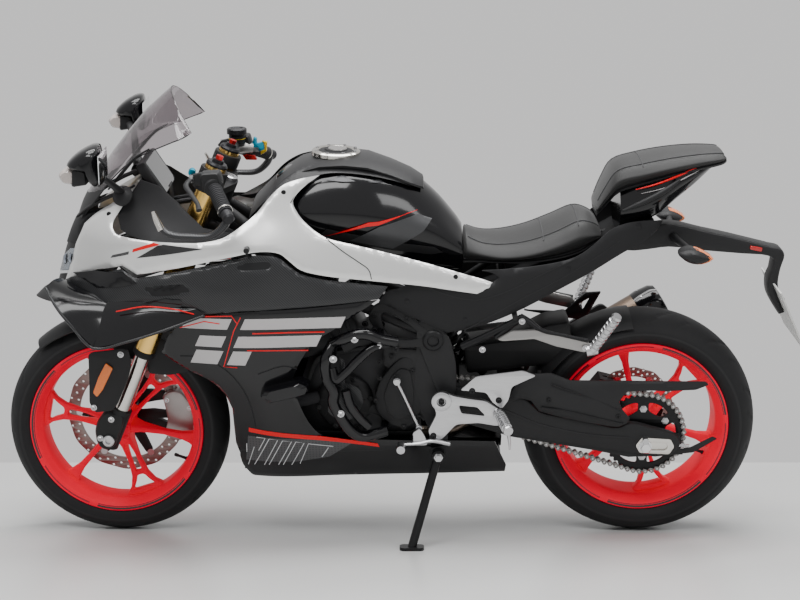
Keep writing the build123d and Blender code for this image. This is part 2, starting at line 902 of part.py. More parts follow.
with BuildPart() as engine:
    half = engine_half_width * body_width
    extrude(side_face(crankcase_shares, -half), amount=2 * half)
    half = cylinder_half_width * body_width
    extrude(side_face(cylinder_shares, -half), amount=2 * half)
    half = sump_half_width * body_width
    extrude(side_face(sump_shares, -half), amount=2 * half)
    pocket_floor = chain_place - rollers - plate_thickness - chain_pocket_gap
    pocket_shift = Location(across * (chain_place - pocket_floor))
    pocket = chain_loop(plate_height / 2 + chain_pocket_gap).moved(pocket_shift)
    extrude(pocket, amount=body_width, mode=Mode.SUBTRACT)
    side = engine_half_width * body_width
    extrude(side_face(sprocket_cover_shares, side), amount=cover_wall)
    for x, z, radius, sides in cover_table:
        cover_x, cover_z = side_place(x, z)
        for sign in sides:
            with BuildSketch(side_plane(Vector(cover_x, sign * side, cover_z))) as cover:
                Circle(radius)
            extrude(cover.sketch, amount=-sign * cover_depth)
    with BuildSketch(side_plane(countershaft - across * pocket_floor)) as shaft:
        Circle(shaft_radius)
    extrude(shaft.sketch, amount=side - pocket_floor)
engine.part.label = "engine"
keep(engine.part, "chassis")

radiator_shares = ((0.150, 0.680), (0.166, 0.680), (0.186, 0.430), (0.170, 0.430))
radiator_half_width = 0.34

with BuildPart() as radiator:
    half = radiator_half_width * body_width
    extrude(side_face(radiator_shares, -half), amount=2 * half)
radiator.part.label = "radiator"
keep(radiator.part, "chassis")


# Exhaust: pipe under the engine and a muffler on the right

pipe_radius = 17.0
pipe_run_share = 0.4
muffler_radius = 56.0
muffler_start = place(0.530, 0.37, 0.330)
muffler_end = place(0.730, 0.45, 0.560)
# Muffler sections: length and radius
muffler_shares = ((0, 0.5), (0.18, 0.95), (0.85, 1.0), (1.0, 0.75))

port_root = place(0.2175, 0.10, 0.530)
port_out = Vector(*side_normal(cylinder_shares[4], cylinder_shares[0]))
muffler_run = muffler_end - muffler_start
pipe_joint = muffler_start - muffler_run.normalized() * seat_gap
pipe_points = (
    port_root + port_out * seat_gap,
    port_root + port_out * pipe_radius * 2,
    place(0.1960, 0.10, 0.300),
    place(0.2500, 0.06, 0.240),
    place(0.4300, 0.12, 0.240),
    pipe_joint - muffler_run * pipe_run_share,
    pipe_joint,
)

with BuildPart() as exhaust:
    for start, end in zip(pipe_points, pipe_points[1:]):
        bar(start, end, pipe_radius)
    for corner in pipe_points[1:-1]:
        with Locations(Location(corner)):
            Sphere(pipe_radius)
exhaust.part.label = "exhaust"
keep(exhaust.part, "chassis")

with BuildPart() as muffler:
    sections = []
    for along_share, radius_share in muffler_shares:
        station = muffler_start + muffler_run * along_share
        with BuildSketch(Plane(origin=station, z_dir=muffler_run)) as ring:
            Circle(muffler_radius * radius_share)
        sections.append(ring.sketch)
    loft(sections, ruled=True)
muffler.part.label = "muffler"
keep(muffler.part, "chassis")


# Swingarm, chain guard and shock absorber

arm_place = 0.216
arm_wall = 22.0
swingarm_shares = (
    (0.405, 0.450),
    (0.450, 0.450),
    (0.513, 0.416),
    (0.548, 0.368),
    (0.652, 0.324),
    (0.666, 0.342),
    (0.731, 0.311),
    (0.735, 0.262),
    (0.665, 0.255),
    (0.623, 0.273),
    (0.514, 0.311),
    (0.450, 0.350),
    (0.405, 0.400),
)
rear_caliper_turn = -155.0
arm_cross_shares = ((0.450, 0.420), (0.500, 0.420), (0.500, 0.365), (0.450, 0.372))
chain_guard_wall = 4.0
chain_guard_shares = (
    (0.508, 0.400),
    (0.524, 0.483),
    (0.580, 0.468),
    (0.7615, 0.453),
    (0.752, 0.435),
    (0.693, 0.437),
    (0.668, 0.430),
    (0.666, 0.330),
    (0.655, 0.312),
    (0.652, 0.424),
    (0.600, 0.418),
    (0.534, 0.380),
)

with BuildPart() as swingarm:
    extrude(side_face(swingarm_shares, arm_place * body_width), amount=arm_wall)
    mirror(about=Plane.XZ)
    cross = arm_place * body_width
    extrude(side_face(arm_cross_shares, -cross), amount=2 * cross)
    rear_block = caliper_block(rear_centre, rear_disc_place, rear_disc_radius)
    add(rear_block.rotate(Axis(rear_centre, across), rear_caliper_turn))
    with BuildSketch(side_plane(rear_centre)):
        Circle(rear_axle_radius)
    extrude(amount=body_width, both=True, mode=Mode.SUBTRACT)
    with BuildSketch(side_plane(pivot)):
        Circle(pivot_radius)
    extrude(amount=body_width, both=True, mode=Mode.SUBTRACT)
swingarm.part.label = "swingarm"
keep(swingarm.part, "chassis")

with BuildPart() as chain_guard:
    guard_place = arm_place * body_width + arm_wall + seat_gap
    extrude(side_face(chain_guard_shares, guard_place), amount=chain_guard_wall)
chain_guard.part.label = "chain_guard"
keep(chain_guard.part, "chassis")

shock_eye_radius = 16.0
shock_eye_half = 18.0
shock_foot_shares = (0.480, 0.420)
shock_top_shares = (0.410, 0.590)
shock_foot = place(shock_foot_shares[0], 0, shock_foot_shares[1]) + upward * (shock_eye_radius + seat_gap)
shock_top = place(shock_top_shares[0], 0, shock_top_shares[1]) + backward * (
    shock_eye_radius + frame_brace_radius + seat_gap
)
shock_radius = 14.0
spring_radius = 30.0
spring_start_share = 0.22
spring_end_share = 0.86
with BuildPart() as shock:
    bar(shock_foot, shock_top, shock_radius)
    shock_run = shock_top - shock_foot
    spring_start = shock_foot + shock_run * spring_start_share
    spring_end = shock_foot + shock_run * spring_end_share
    bar(spring_start, spring_end, spring_radius)
    for eye in (shock_foot, shock_top):
        bar(eye - across * shock_eye_half, eye + across * shock_eye_half, shock_eye_radius)
shock.part.label = "shock"
keep(shock.part, "chassis")


# Bodywork: side skins cut to their outlines

silver_rows = (
    (0.700, -0.050, 0.20, 0.150, 0.480, 0.500, 0.300),
    (0.855, -0.050, 0.20, 0.150, 0.480, 0.500, 0.300),
    (0.900, -0.045, 0.18, 0.150, 0.340, 0.500, 0.230),
    (1.030, -0.035, 0.14, 0.150, 0.270, 0.500, 0.180),
)
silver_shares = (
    (-0.0330, 0.775),
    (-0.0375, 0.850),
    (-0.0300, 0.896),
    (0.0385, 0.972),
    (0.0480, 0.987),
    (0.0190, 0.899),
    (0.0325, 0.868),
    (0.0670, 0.855),
    (0.1295, 0.851),
    (0.1730, 0.887),
    (0.1970, 0.928),
    (0.2305, 0.999),
    (0.2735, 1.022),
    (0.2410, 0.959),
    (0.2620, 0.891),
    (0.2795, 0.864),
    (0.3450, 0.832),
    (0.4105, 0.796),
    (0.4695, 0.762),
    (0.4920, 0.746),
    (0.4655, 0.719),
    (0.3995, 0.742),
    (0.3125, 0.760),
    (0.2490, 0.783),
    (0.2235, 0.823),
    (0.1995, 0.829),
    (0.1655, 0.816),
    (0.1075, 0.791),
    (0.0485, 0.771),
    (0.0310, 0.796),
)

with BuildPart() as silver_panels:
    side_skin(silver_rows, panel_wall)
    extrude(side_face(silver_shares), amount=body_width, mode=Mode.INTERSECT)
    mirror(about=Plane.XZ)
silver_panels.part.label = "silver_panels"
keep(silver_panels.part, "chassis")

carbon_rows = (
    (0.640, -0.050, 0.22, 0.150, 0.455, 0.500, 0.340),
    (0.740, -0.050, 0.20, 0.150, 0.440, 0.500, 0.290),
    (0.850, -0.050, 0.16, 0.150, 0.430, 0.500, 0.270),
)
carbon_shares = (
    (-0.0460, 0.735),
    (-0.0310, 0.770),
    (0.0310, 0.791),
    (0.0485, 0.766),
    (0.1075, 0.786),
    (0.1655, 0.811),
    (0.1995, 0.824),
    (0.2235, 0.818),
    (0.2490, 0.778),
    (0.3125, 0.755),
    (0.3550, 0.745),
    (0.3445, 0.713),
    (0.2485, 0.692),
    (0.1015, 0.667),
    (0.0325, 0.687),
)

with BuildPart() as carbon_panels:
    side_skin(carbon_rows, panel_wall)
    extrude(side_face(carbon_shares), amount=body_width, mode=Mode.INTERSECT)
    mirror(about=Plane.XZ)
carbon_panels.part.label = "carbon_panels"
keep(carbon_panels.part, "chassis")

fairing_rows = (
    (0.180, 0.060, 0.280, 0.300, 0.300, 0.520, 0.240),
    (0.450, 0.060, 0.380, 0.250, 0.430, 0.450, 0.380),
    (0.720, 0.060, 0.420, 0.200, 0.460, 0.380, 0.440),
)
fairing_shares = (
    (0.0760, 0.574),
    (0.1050, 0.664),
    (0.2485, 0.688),
    (0.3445, 0.709),
    (0.3340, 0.696),
    (0.2895, 0.633),
    (0.2605, 0.596),
    (0.2400, 0.516),
    (0.2440, 0.446),
    (0.2705, 0.355),
    (0.2990, 0.346),
    (0.3550, 0.312),
    (0.3560, 0.305),
    (0.1650, 0.305),
    (0.1620, 0.425),
    (0.1425, 0.486),
    (0.1120, 0.522),
)

with BuildPart() as side_fairings:
    side_skin(fairing_rows, panel_wall)
    extrude(side_face(fairing_shares), amount=body_width, mode=Mode.INTERSECT)
    mirror(about=Plane.XZ)
side_fairings.part.label = "side_fairings"
keep(side_fairings.part, "chassis")

belly_shares = (
    (0.165, 0.300),
    (0.170, 0.234),
    (0.182, 0.210),
    (0.240, 0.202),
    (0.330, 0.210),
    (0.506, 0.220),
    (0.507, 0.237),
    (0.4915, 0.300),
)
belly_front_shares = (0.160, 0.300, 0.230)
belly_rear_shares = (0.520, 0.250, 0.190)
belly_floor_share = 0.202
pipe_gap_shares = ((0.415, 0.190), (0.520, 0.190), (0.520, 0.320), (0.430, 0.320))
pipe_gap_place = 0.10
belly_boss_shares = ((0.300, 0.2665, 0.284), (0.360, 0.2575, 0.284))

with BuildPart() as belly_pan:
    outer = []
    inner = []
    for x, top_y, floor_y in (belly_front_shares, belly_rear_shares):
        section_plane = Plane(origin=place(x, 0, 0), x_dir=(0, 1, 0), z_dir=(1, 0, 0))
        top = belly_shares[0][1] * body_height
        floor = belly_floor_share * body_height
        for wall, sections in ((0.0, outer), (panel_wall, inner)):
            top_half = top_y * body_width - wall
            floor_half = floor_y * body_width - wall
            with BuildSketch(section_plane) as section:
                with BuildLine():
                    Polyline(
                        (-top_half, top),
                        (-floor_half, floor + wall),
                        (floor_half, floor + wall),
                        (top_half, top),
                        close=True,
                    )
                make_face()
            sections.append(section.sketch)
    loft(outer, ruled=True)
    loft(inner, ruled=True, mode=Mode.SUBTRACT)
    extrude(side_face(belly_shares), amount=body_width, both=True, mode=Mode.INTERSECT)
    gap_face = side_face(pipe_gap_shares, -pipe_gap_place * body_width)
    extrude(gap_face, amount=-body_width, mode=Mode.SUBTRACT)
    for side in (-1, 1):
        for x, y, z in belly_boss_shares:
            root = place(x, side * y, z)
            boss(engine.part, root, -across * side, boss_radius)
belly_pan.part.label = "belly_pan"
keep(belly_pan.part, "chassis")


# Nose, headlights, screen, instruments and mirrors

nose_rows = (
    (0.700, -0.0700, -0.0300, 0.200),
    (0.772, -0.0595, -0.0280, 0.200),
    (0.866, -0.0420, -0.0200, 0.190),
    (0.918, -0.0325, 0.0100, 0.170),
)
lip_shares = ((-0.1045, 0.648), (-0.0980, 0.672), (-0.0500, 0.710), (0.0000, 0.715), (-0.0300, 0.680))
lip_half = 0.16
headlight_shares = (
    (-0.0700, 0.725),
    (-0.0700, 0.774),
    (-0.0490, 0.801),
    (-0.0250, 0.801),
    (-0.0250, 0.760),
    (-0.0530, 0.719),
)
headlight_inner = 0.07
headlight_outer = 0.19
lens_wall = 12.0

with BuildPart() as nose_fairing:
    bow_skin(nose_rows, panel_wall)
    for side in (-1, 1):
        window = side_face(headlight_shares, side * headlight_inner * body_width)
        window_depth = (headlight_outer - headlight_inner) * body_width
        extrude(window, amount=side * window_depth, mode=Mode.SUBTRACT)
    half = lip_half * body_width
    extrude(side_face(lip_shares, -half), amount=2 * half)
nose_fairing.part.label = "nose_fairing"
keep(nose_fairing.part, "chassis")

with BuildPart() as headlights:
    bow_skin(nose_rows, lens_wall)
    window = side_face(headlight_shares, headlight_inner * body_width)
    extrude(window, amount=window_depth, mode=Mode.INTERSECT)
    mirror(about=Plane.XZ)
headlights.part.label = "headlights"
keep(headlights.part, "chassis")

screen_rows = (
    (0.918, -0.0325, 0.0350, 0.300),
    (0.951, -0.0215, 0.0450, 0.300),
    (1.033, 0.0040, 0.0700, 0.300),
    (1.082, 0.0230, 0.0860, 0.290),
    (1.137, 0.0465, 0.1020, 0.260),
    (1.193, 0.0760, 0.0960, 0.160),
)
screen_shares = (
    (-0.0600, 0.860),
    (-0.0300, 0.902),
    (0.0385, 0.978),
    (0.0480, 0.993),
    (0.0450, 1.063),
    (0.0875, 1.095),
    (0.1025, 1.127),
    (0.0975, 1.146),
    (0.0895, 1.201),
    (-0.0600, 1.201),
)
with BuildPart() as windscreen:
    bow_skin(screen_rows, screen_wall)
    extrude(side_face(screen_shares), amount=body_width, both=True, mode=Mode.INTERSECT)
windscreen.part.label = "windscreen"
keep(windscreen.part, "chassis")

mirror_shares = (
    (-0.0235, 1.058),
    (-0.0020, 1.032),
    (0.0200, 1.015),
    (0.0170, 1.080),
    (0.0060, 1.119),
    (-0.0120, 1.100),
)
mirror_inner = 0.50
mirror_outer = 0.74
mirror_seat_shares = (0.0280, 0.36, 0.945)
mirror_neck = place(0.000, -0.56, 1.045)
mirror_arm_radius = 7.0
with BuildPart() as mirrors:
    depth = (mirror_outer - mirror_inner) * body_width
    extrude(side_face(mirror_shares, -mirror_outer * body_width), amount=depth)
    mirror_seat = place(mirror_seat_shares[0], -mirror_seat_shares[1], mirror_seat_shares[2])
    boss(silver_panels.part, mirror_seat, across, mirror_arm_radius)
    bar(mirror_seat + across * mirror_arm_radius, mirror_neck, mirror_arm_radius)
    mirror(about=Plane.XZ)
mirrors.part.label = "mirrors"
keep(mirrors.part, "chassis")

winglet_shares = (
    (-0.0490, 0.724),
    (-0.0450, 0.704),
    (0.0000, 0.608),
    (0.1310, 0.678),
    (0.1040, 0.690),
    (0.0330, 0.687),
)
winglet_boss_shares = ((0.0860, 0.681), (0.1080, 0.683))
winglet_inner = 0.47
winglet_wall = 5.0
with BuildPart() as winglets:
    extrude(side_face(winglet_shares, winglet_inner * body_width), amount=winglet_wall)
    for x, z in winglet_boss_shares:
        boss(carbon_panels.part, place(x, -winglet_inner, z), across, boss_radius)
    mirror(about=Plane.XZ)
winglets.part.label = "winglets"
keep(winglets.part, "chassis")


# Tank with its cover, and the seats

tank_rows = (
    (0.215, 0.850, 0.905, 0.950, 0.972, 0.18, 0.22, 0.14),
    (0.260, 0.800, 0.900, 0.985, 1.016, 0.22, 0.31, 0.24),
    (0.320, 0.780, 0.900, 0.990, 1.025, 0.22, 0.31, 0.24),
    (0.390, 0.760, 0.860, 0.950, 0.977, 0.18, 0.24, 0.15),
    (0.4475, 0.745, 0.800, 0.835, 0.848, 0.15, 0.18, 0.11),
)
cover_cut_shares = (
    (0.150, 0.865),
    (0.215, 0.905),
    (0.265, 0.985),
    (0.365, 0.975),
    (0.409, 0.940),
    (0.460, 0.860),
    (0.460, 1.100),
    (0.150, 1.100),
)

with BuildPart() as fuel_tank:
    hump(tank_rows)
    extrude(side_face(cover_cut_shares), amount=body_width, both=True, mode=Mode.SUBTRACT)
fuel_tank.part.label = "fuel_tank"
keep(fuel_tank.part, "chassis")

with BuildPart() as tank_cover:
    hump(tank_rows)
    extrude(side_face(cover_cut_shares), amount=body_width, both=True, mode=Mode.INTERSECT)
tank_cover.part.label = "tank_cover"
keep(tank_cover.part, "chassis")

rider_seat_rows = (
    (0.4530, 0.770, 0.800, 0.825, 0.838, 0.13, 0.17, 0.11),
    (0.5000, 0.765, 0.785, 0.805, 0.815, 0.16, 0.24, 0.17),
    (0.5600, 0.775, 0.805, 0.832, 0.845, 0.18, 0.27, 0.20),
    (0.6050, 0.800, 0.840, 0.875, 0.886, 0.17, 0.25, 0.18),
    (0.6250, 0.825, 0.840, 0.850, 0.856, 0.15, 0.20, 0.15),
)
with BuildPart() as rider_seat:
    hump(rider_seat_rows)
rider_seat.part.label = "rider_seat"
keep(rider_seat.part, "chassis")

pillion_rows = (
    (0.6180, 0.880, 0.892, 0.900, 0.905, 0.10, 0.13, 0.09),
    (0.6440, 0.950, 0.975, 0.995, 1.004, 0.15, 0.19, 0.14),
    (0.7050, 0.990, 1.008, 1.025, 1.033, 0.17, 0.21, 0.15),
    (0.7800, 1.020, 1.030, 1.038, 1.043, 0.12, 0.15, 0.11),
)
with BuildPart() as pillion_seat:
    hump(pillion_rows)
pillion_seat.part.label = "pillion_seat"
keep(pillion_seat.part, "chassis")


# Tail: side panels, gloss cowl, lamp and number plate holder

tail_rows = (
    (0.560, 0.340, 0.33, 0.460, 0.325, 0.700, 0.200),
    (0.760, 0.340, 0.30, 0.500, 0.310, 0.720, 0.190),
    (0.930, 0.340, 0.25, 0.520, 0.250, 0.740, 0.170),
)
tail_panel_shares = (
    (0.3500, 0.690),
    (0.3700, 0.720),
    (0.3995, 0.737),
    (0.4655, 0.714),
    (0.4950, 0.746),
    (0.4740, 0.765),
    (0.5260, 0.775),
    (0.5895, 0.802),
    (0.6220, 0.850),
    (0.6500, 0.890),
    (0.6955, 0.892),
    (0.6490, 0.815),
    (0.6075, 0.760),
    (0.5265, 0.666),
    (0.4510, 0.608),
    (0.4295, 0.602),
)
with BuildPart() as tail_panels:
    side_skin(tail_rows, panel_wall)
    extrude(side_face(tail_panel_shares), amount=body_width, mode=Mode.INTERSECT)
    mirror(about=Plane.XZ)
tail_panels.part.label = "tail_panels"
keep(tail_panels.part, "chassis")

tail_cowl_rows = (
    (0.6500, 0.840, 0.900, 0.950, 0.962, 0.12, 0.19, 0.14),
    (0.6950, 0.880, 0.940, 0.985, 0.998, 0.12, 0.20, 0.16),
    (0.7400, 0.955, 0.990, 1.010, 1.018, 0.09, 0.15, 0.11),
    (0.7750, 1.010, 1.020, 1.028, 1.032, 0.05, 0.08, 0.06),
)
with BuildPart() as tail_cowl:
    hump(tail_cowl_rows)
    add(pillion_seat.part, mode=Mode.SUBTRACT)
tail_cowl.part.label = "tail_cowl"
keep(tail_cowl.part, "chassis")

pillion_bracket_shares = (
    (0.4700, 0.569),
    (0.4960, 0.608),
    (0.5170, 0.656),
    (0.5265, 0.650),
    (0.5180, 0.600),
    (0.6100, 0.570),
    (0.6100, 0.545),
    (0.5180, 0.565),
)
pillion_bracket_place = 0.34
pillion_root_shares = (0.610, -0.35, 0.560)
pillion_end_shares = (0.638, -0.46, 0.674)

# Bosses to the side: the piece, then the bar that carries it and the share along the bar
side_bosses = (
    (silver_panels.part, "neck top", "corner", 0.31),
    (carbon_panels.part, "neck foot", "front hang", 0.615),
    (side_fairings.part, "front hang", "corner", 0.0),
    (tail_panels.part, "seat rail", "tail rail", 0.0),
)
# Bosses upward: the piece, then the cross tube that carries it and the share of its half
top_bosses = (
    (fuel_tank.part, "corner", 0.48),
    (rider_seat.part, "seat rail", 0.50),
    (tail_cowl.part, "tail rail", 0.50),
)
stay_root = (0.0, 22.0, 690.0)
stay_heading = Vector(-1, 0, -0.166).normalized()
engine_boss_shares = (0.3930, 0.470)
radiator_boss_share = 0.26
stand_bracket_place = 135.0
stand_bracket_wall = 6.0
stand_bracket_shares = (
    (0.408, 0.350),
    (0.434, 0.350),
    (0.430, 0.262),
    (0.425, 0.256),
    (0.415, 0.256),
    (0.410, 0.262),
)
stand_pin_radius = 6.0
stand_eye_half = 12.0
stand_pivot = Vector(
    0.420 * body_length,
    -(stand_bracket_place + stand_bracket_wall + seat_gap + stand_eye_half),
    0.270 * body_height,
)

with BuildPart() as frame:
    for start, end in frame_bars:
        bar(frame_joint(start, -1), frame_joint(end, -1), frame_tube_radius)
    for start, end in rail_bars:
        bar(frame_joint(start, -1), frame_joint(end, -1), frame_brace_radius)
    plate_inner = pivot_plate_place * body_width
    extrude(side_face(pivot_plate_shares, plate_inner), amount=pivot_plate_wall)
    mirror(about=Plane.XZ)
    for name in cross_tube_names:
        bar(frame_joint(name, -1), frame_joint(name, 1), frame_brace_radius)
    bar(pivot - across * plate_inner, pivot + across * plate_inner, pivot_radius)
    for side in (-1, 1):
        outward = across * side
        for piece, start, end, along_share in side_bosses:
            bar_start = frame_joint(start, side)
            rod_run = frame_joint(end, side) - bar_start
            boss(piece, bar_start + rod_run * along_share, outward, boss_radius)
        for piece, name, half_share in top_bosses:
            joint = frame_joint(name, side)
            root = Vector(joint.X, joint.Y * half_share, joint.Z)
            boss(piece, root, upward, boss_radius)
        stay_start = stem.from_local_coords(Vector(stay_root[0], side * stay_root[1], stay_root[2]))
        boss(nose_fairing.part, stay_start, stay_heading, boss_radius)
        engine_boss = place(engine_boss_shares[0], 0, engine_boss_shares[1])
        bar(
            engine_boss + outward * (engine_half_width * body_width),
            engine_boss + outward * plate_inner,
            boss_radius,
        )
        hang_start = frame_joint("neck foot", side)
        hang_run = frame_joint("front hang", side) - hang_start
        boss(radiator.part, hang_start + hang_run * radiator_boss_share, -upward, boss_radius)
        peg_boss = frame_joint("tail foot", side)
        peg_boss_y = side * (pillion_bracket_place * body_width - seat_gap)
        bar(peg_boss, Vector(peg_boss.X, peg_boss_y, peg_boss.Z), boss_radius)
    head_start = lower_clamp_rise + lower_clamp_depth + running_gap
    head_end = upper_clamp_rise - running_gap
    with BuildSketch(stem.offset(head_start)):
        Circle(head_tube_radius)
    extrude(amount=head_end - head_start)
    with BuildSketch(stem.offset(head_start)):
        Circle(head_tube_bore)
    extrude(amount=head_end - head_start, mode=Mode.SUBTRACT)
    stand_plate = side_face(stand_bracket_shares, stand_bracket_place)
    extrude(stand_plate, amount=stand_bracket_wall)
    bar(
        stand_pivot + across * stand_eye_half,
        stand_pivot - across * stand_eye_half,
        stand_pin_radius,
    )
    bar(
        Vector(stand_pivot.X, -stand_bracket_place, stand_pivot.Z),
        stand_pivot + across * stand_eye_half,
        stand_pin_radius,
    )
frame.part.label = "frame"
keep(frame.part, "chassis")


dash_shares = ((0.0415, 1.009), (0.0520, 1.025), (0.0785, 0.935), (0.0670, 0.927))
dash_half = 0.16
dash_foot_shares = ((0.0685, 0.945), (0.0750, 0.945), (0.0750, 0.902), (0.0685, 0.902))
dash_foot_half = 0.07
with BuildPart() as dash:
    half = dash_half * body_width
    extrude(side_face(dash_shares, -half), amount=2 * half)
    half = dash_foot_half * body_width
    extrude(side_face(dash_foot_shares, -half), amount=2 * half)
    add(frame.part, mode=Mode.SUBTRACT)
dash.part.label = "dash"
keep(dash.part, "chassis")

holder_shares = (
    (0.6450, 0.795),
    (0.6450, 0.832),
    (0.7000, 0.845),
    (0.7215, 0.847),
    (0.8350, 0.792),
    (0.8605, 0.782),
    (0.8640, 0.770),
    (0.8570, 0.690),
    (0.8720, 0.610),
    (0.8660, 0.610),
    (0.8440, 0.700),
    (0.8500, 0.760),
    (0.7730, 0.779),
    (0.7260, 0.786),
)
plate_shares = ((0.8520, 0.690), (0.8545, 0.690), (0.8880, 0.538), (0.8855, 0.536))
holder_half = 0.05
plate_half = 0.22
holder_wall = 20.0
plate_hole_radius = 3.5
plate_hole_spacing = 150.0
plate_hole_share = 0.12
signal_root = place(0.735, 0, 0.815)
signal_reach = 0.30
signal_radius = 8.0
lamp_length = 62.0
lamp_radius = 14.0

with BuildPart() as plate_holder:
    half = holder_half * body_width
    extrude(side_face(holder_shares, -half), amount=2 * half)
    add(frame.part, mode=Mode.SUBTRACT)
    half = plate_half * body_width
    extrude(side_face(plate_shares, -half), amount=2 * half)
    half = signal_reach * body_width
    bar(signal_root - across * half, signal_root + across * half, signal_radius)
    for side in (-1, 1):
        lamp_root = signal_root + across * side * half
        bar(lamp_root, lamp_root + across * side * lamp_length, lamp_radius)
    plate_top = place(plate_shares[1][0], 0, plate_shares[1][1])
    plate_foot = place(plate_shares[2][0], 0, plate_shares[2][1])
    plate_run = plate_foot - plate_top
    plate_out = across.cross(plate_run).normalized()
    hole_centre = plate_top + plate_run * plate_hole_share
    with BuildSketch(Plane(origin=hole_centre, x_dir=(0, 1, 0), z_dir=plate_out)):
        with GridLocations(plate_hole_spacing, 0, 2, 1):
            Circle(plate_hole_radius)
    extrude(amount=holder_wall, both=True, mode=Mode.SUBTRACT)
plate_holder.part.label = "plate_holder"
keep(plate_holder.part, "chassis")


# Footrests, levers and engine guards

bracket_place = 0.36
bracket_wall = 6.0
rider_bracket_shares = (
    (0.4225, 0.470),
    (0.4470, 0.458),
    (0.4620, 0.488),
    (0.5195, 0.517),
    (0.5410, 0.503),
    (0.5090, 0.463),
    (0.5055, 0.393),
    (0.4915, 0.370),
    (0.4435, 0.378),
    (0.4160, 0.331),
    (0.4060, 0.357),
    (0.4180, 0.399),
)
peg_radius = 13.0
peg_root_shares = (0.490, -0.36, 0.400)
peg_end_shares = (0.504, -0.54, 0.385)
pedal_shares = ((0.3660, 0.330), (0.3860, 0.336), (0.4335, 0.330), (0.4335, 0.312), (0.3860, 0.318))
pedal_wall = 10.0
bracket_arm_radius = 12.0
bracket_arm_shares = (0.4250, 0.437)
pedal_place = 0.39
pedal_stub_radius = 8.0
pedal_pivot_shares = (0.386, 0.327)

with BuildPart() as footrests:
    extrude(side_face(rider_bracket_shares, bracket_place * body_width), amount=bracket_wall)
    bar(place(*peg_root_shares), place(*peg_end_shares), peg_radius)
    arm_start = -pivot_plate_place * body_width - pivot_plate_wall
    arm_x, arm_z = side_place(*bracket_arm_shares)
    arm_end = -bracket_place * body_width
    bar(Vector(arm_x, arm_start, arm_z), Vector(arm_x, arm_end, arm_z), bracket_arm_radius)
    mirror(about=Plane.XZ)
footrests.part.label = "footrests"
keep(footrests.part, "chassis")

with BuildPart() as pedals:
    extrude(side_face(pedal_shares, pedal_place * body_width), amount=pedal_wall)
    pivot_x, pivot_z = side_place(*pedal_pivot_shares)
    stub_start = -engine_half_width * body_width
    bar(
        Vector(pivot_x, stub_start, pivot_z),
        Vector(pivot_x, -pedal_place * body_width, pivot_z),
        pedal_stub_radius,
    )
    mirror(about=Plane.XZ)
pedals.part.label = "pedals"
keep(pedals.part, "chassis")

with BuildPart() as pillion_pegs:
    extrude(side_face(pillion_bracket_shares, pillion_bracket_place * body_width), amount=bracket_wall)
    bar(place(*pillion_root_shares), place(*pillion_end_shares), peg_radius)
    mirror(about=Plane.XZ)
pillion_pegs.part.label = "pillion_pegs"
keep(pillion_pegs.part, "chassis")

guard_bar_radius = 10.0
guard_corner_shares = ((0.287, 0.590), (0.3295, 0.626), (0.3525, 0.605), (0.292, 0.482))
guard_place_share = 0.44
guard_stub_shares = (
    (guard_corner_shares[0], cylinder_half_width),
    (guard_corner_shares[3], engine_half_width),
)
with BuildPart() as engine_guards:
    corners = [place(x, -guard_place_share, z) for x, z in guard_corner_shares]
    for start, end in zip(corners, corners[1:] + corners[:1]):
        bar(start, end, guard_bar_radius)
    for corner_shares, inner_share in guard_stub_shares:
        x, z = corner_shares
        bar(place(x, -guard_place_share, z), place(x, -inner_share, z), guard_bar_radius)
    mirror(about=Plane.XZ)
engine_guards.part.label = "engine_guards"
keep(engine_guards.part, "chassis")


# Parked attitude: steer, lean, then pitch until both tyres touch the ground

lean_turn = Location((0, 0, 0), (lean_angle, 0, 0))
steer_axis = Axis(stem.origin, stem_up)


def steered(shape):
    """A piece of the front end, turned to the right by the parked steering angle."""
    return shape.rotate(steer_axis, -steer_angle)


def lowest(centre, axle, radius, width, crown_height):
    """Height of the lowest point of a leaning tyre over the ground."""
    crown = crown_radius(width, crown_height)
    flat = math.sqrt(1 - axle.Z**2)
    return centre.Z - (radius - crown) * flat - crown


def steered_point(point):
    """A point of the front end, turned to the right by the parked steering angle."""
    return stem.origin + (point - stem.origin).rotate(steer_axis, -steer_angle)


def parked_point(point, pitch):
    """A point of the upright machine, leaned on its tyres and pitched."""
    return point.rotate(Axis.X, lean_angle).rotate(Axis.Y, pitch)


steered_centre = steered_point(front_centre)
steered_tip = steered_point(front_centre + across)
pitch_angle = 0.0
settle_count = 4
for settle in range(settle_count):
    front_low = lowest(
        parked_point(steered_centre, pitch_angle),
        parked_point(steered_tip, pitch_angle) - parked_point(steered_centre, pitch_angle),
        front_tyre_radius,
        front_tyre_width,
        front_crown_height,
    )
    rear_low = lowest(
        parked_point(rear_centre, pitch_angle),
        parked_point(rear_centre + across, pitch_angle) - parked_point(rear_centre, pitch_angle),
        rear_tyre_radius,
        rear_tyre_width,
        rear_crown_height,
    )
    pitch_angle += math.degrees((rear_low - front_low) / wheelbase)
ground = front_low


def parked(piece, body):
    """A piece at its parked place, over a ground at height zero."""
    shape = piece
    if body in ("front_end", "front_wheel"):
        shape = steered(shape)
    shape = shape.rotate(Axis.X, lean_angle).rotate(Axis.Y, pitch_angle)
    return shape.translate((0, 0, -ground))


def unparked(point):
    """The upright machine's point that parks at a point over the ground."""
    raised = point + Vector(0, 0, ground)
    return raised.rotate(Axis.Y, -pitch_angle).rotate(Axis.X, -lean_angle)


# Side stand: a leg from its pivot to a flat foot on the ground

stand_radius = 11.0
stand_foot_length = 62.0
stand_foot_width = 40.0
stand_foot_height = 8.0
stand_foot_place = (0.386, -0.49)
stand_eye_radius = 16.0

stand_foot_point = Vector(
    stand_foot_place[0] * body_length, stand_foot_place[1] * body_width, 0
)

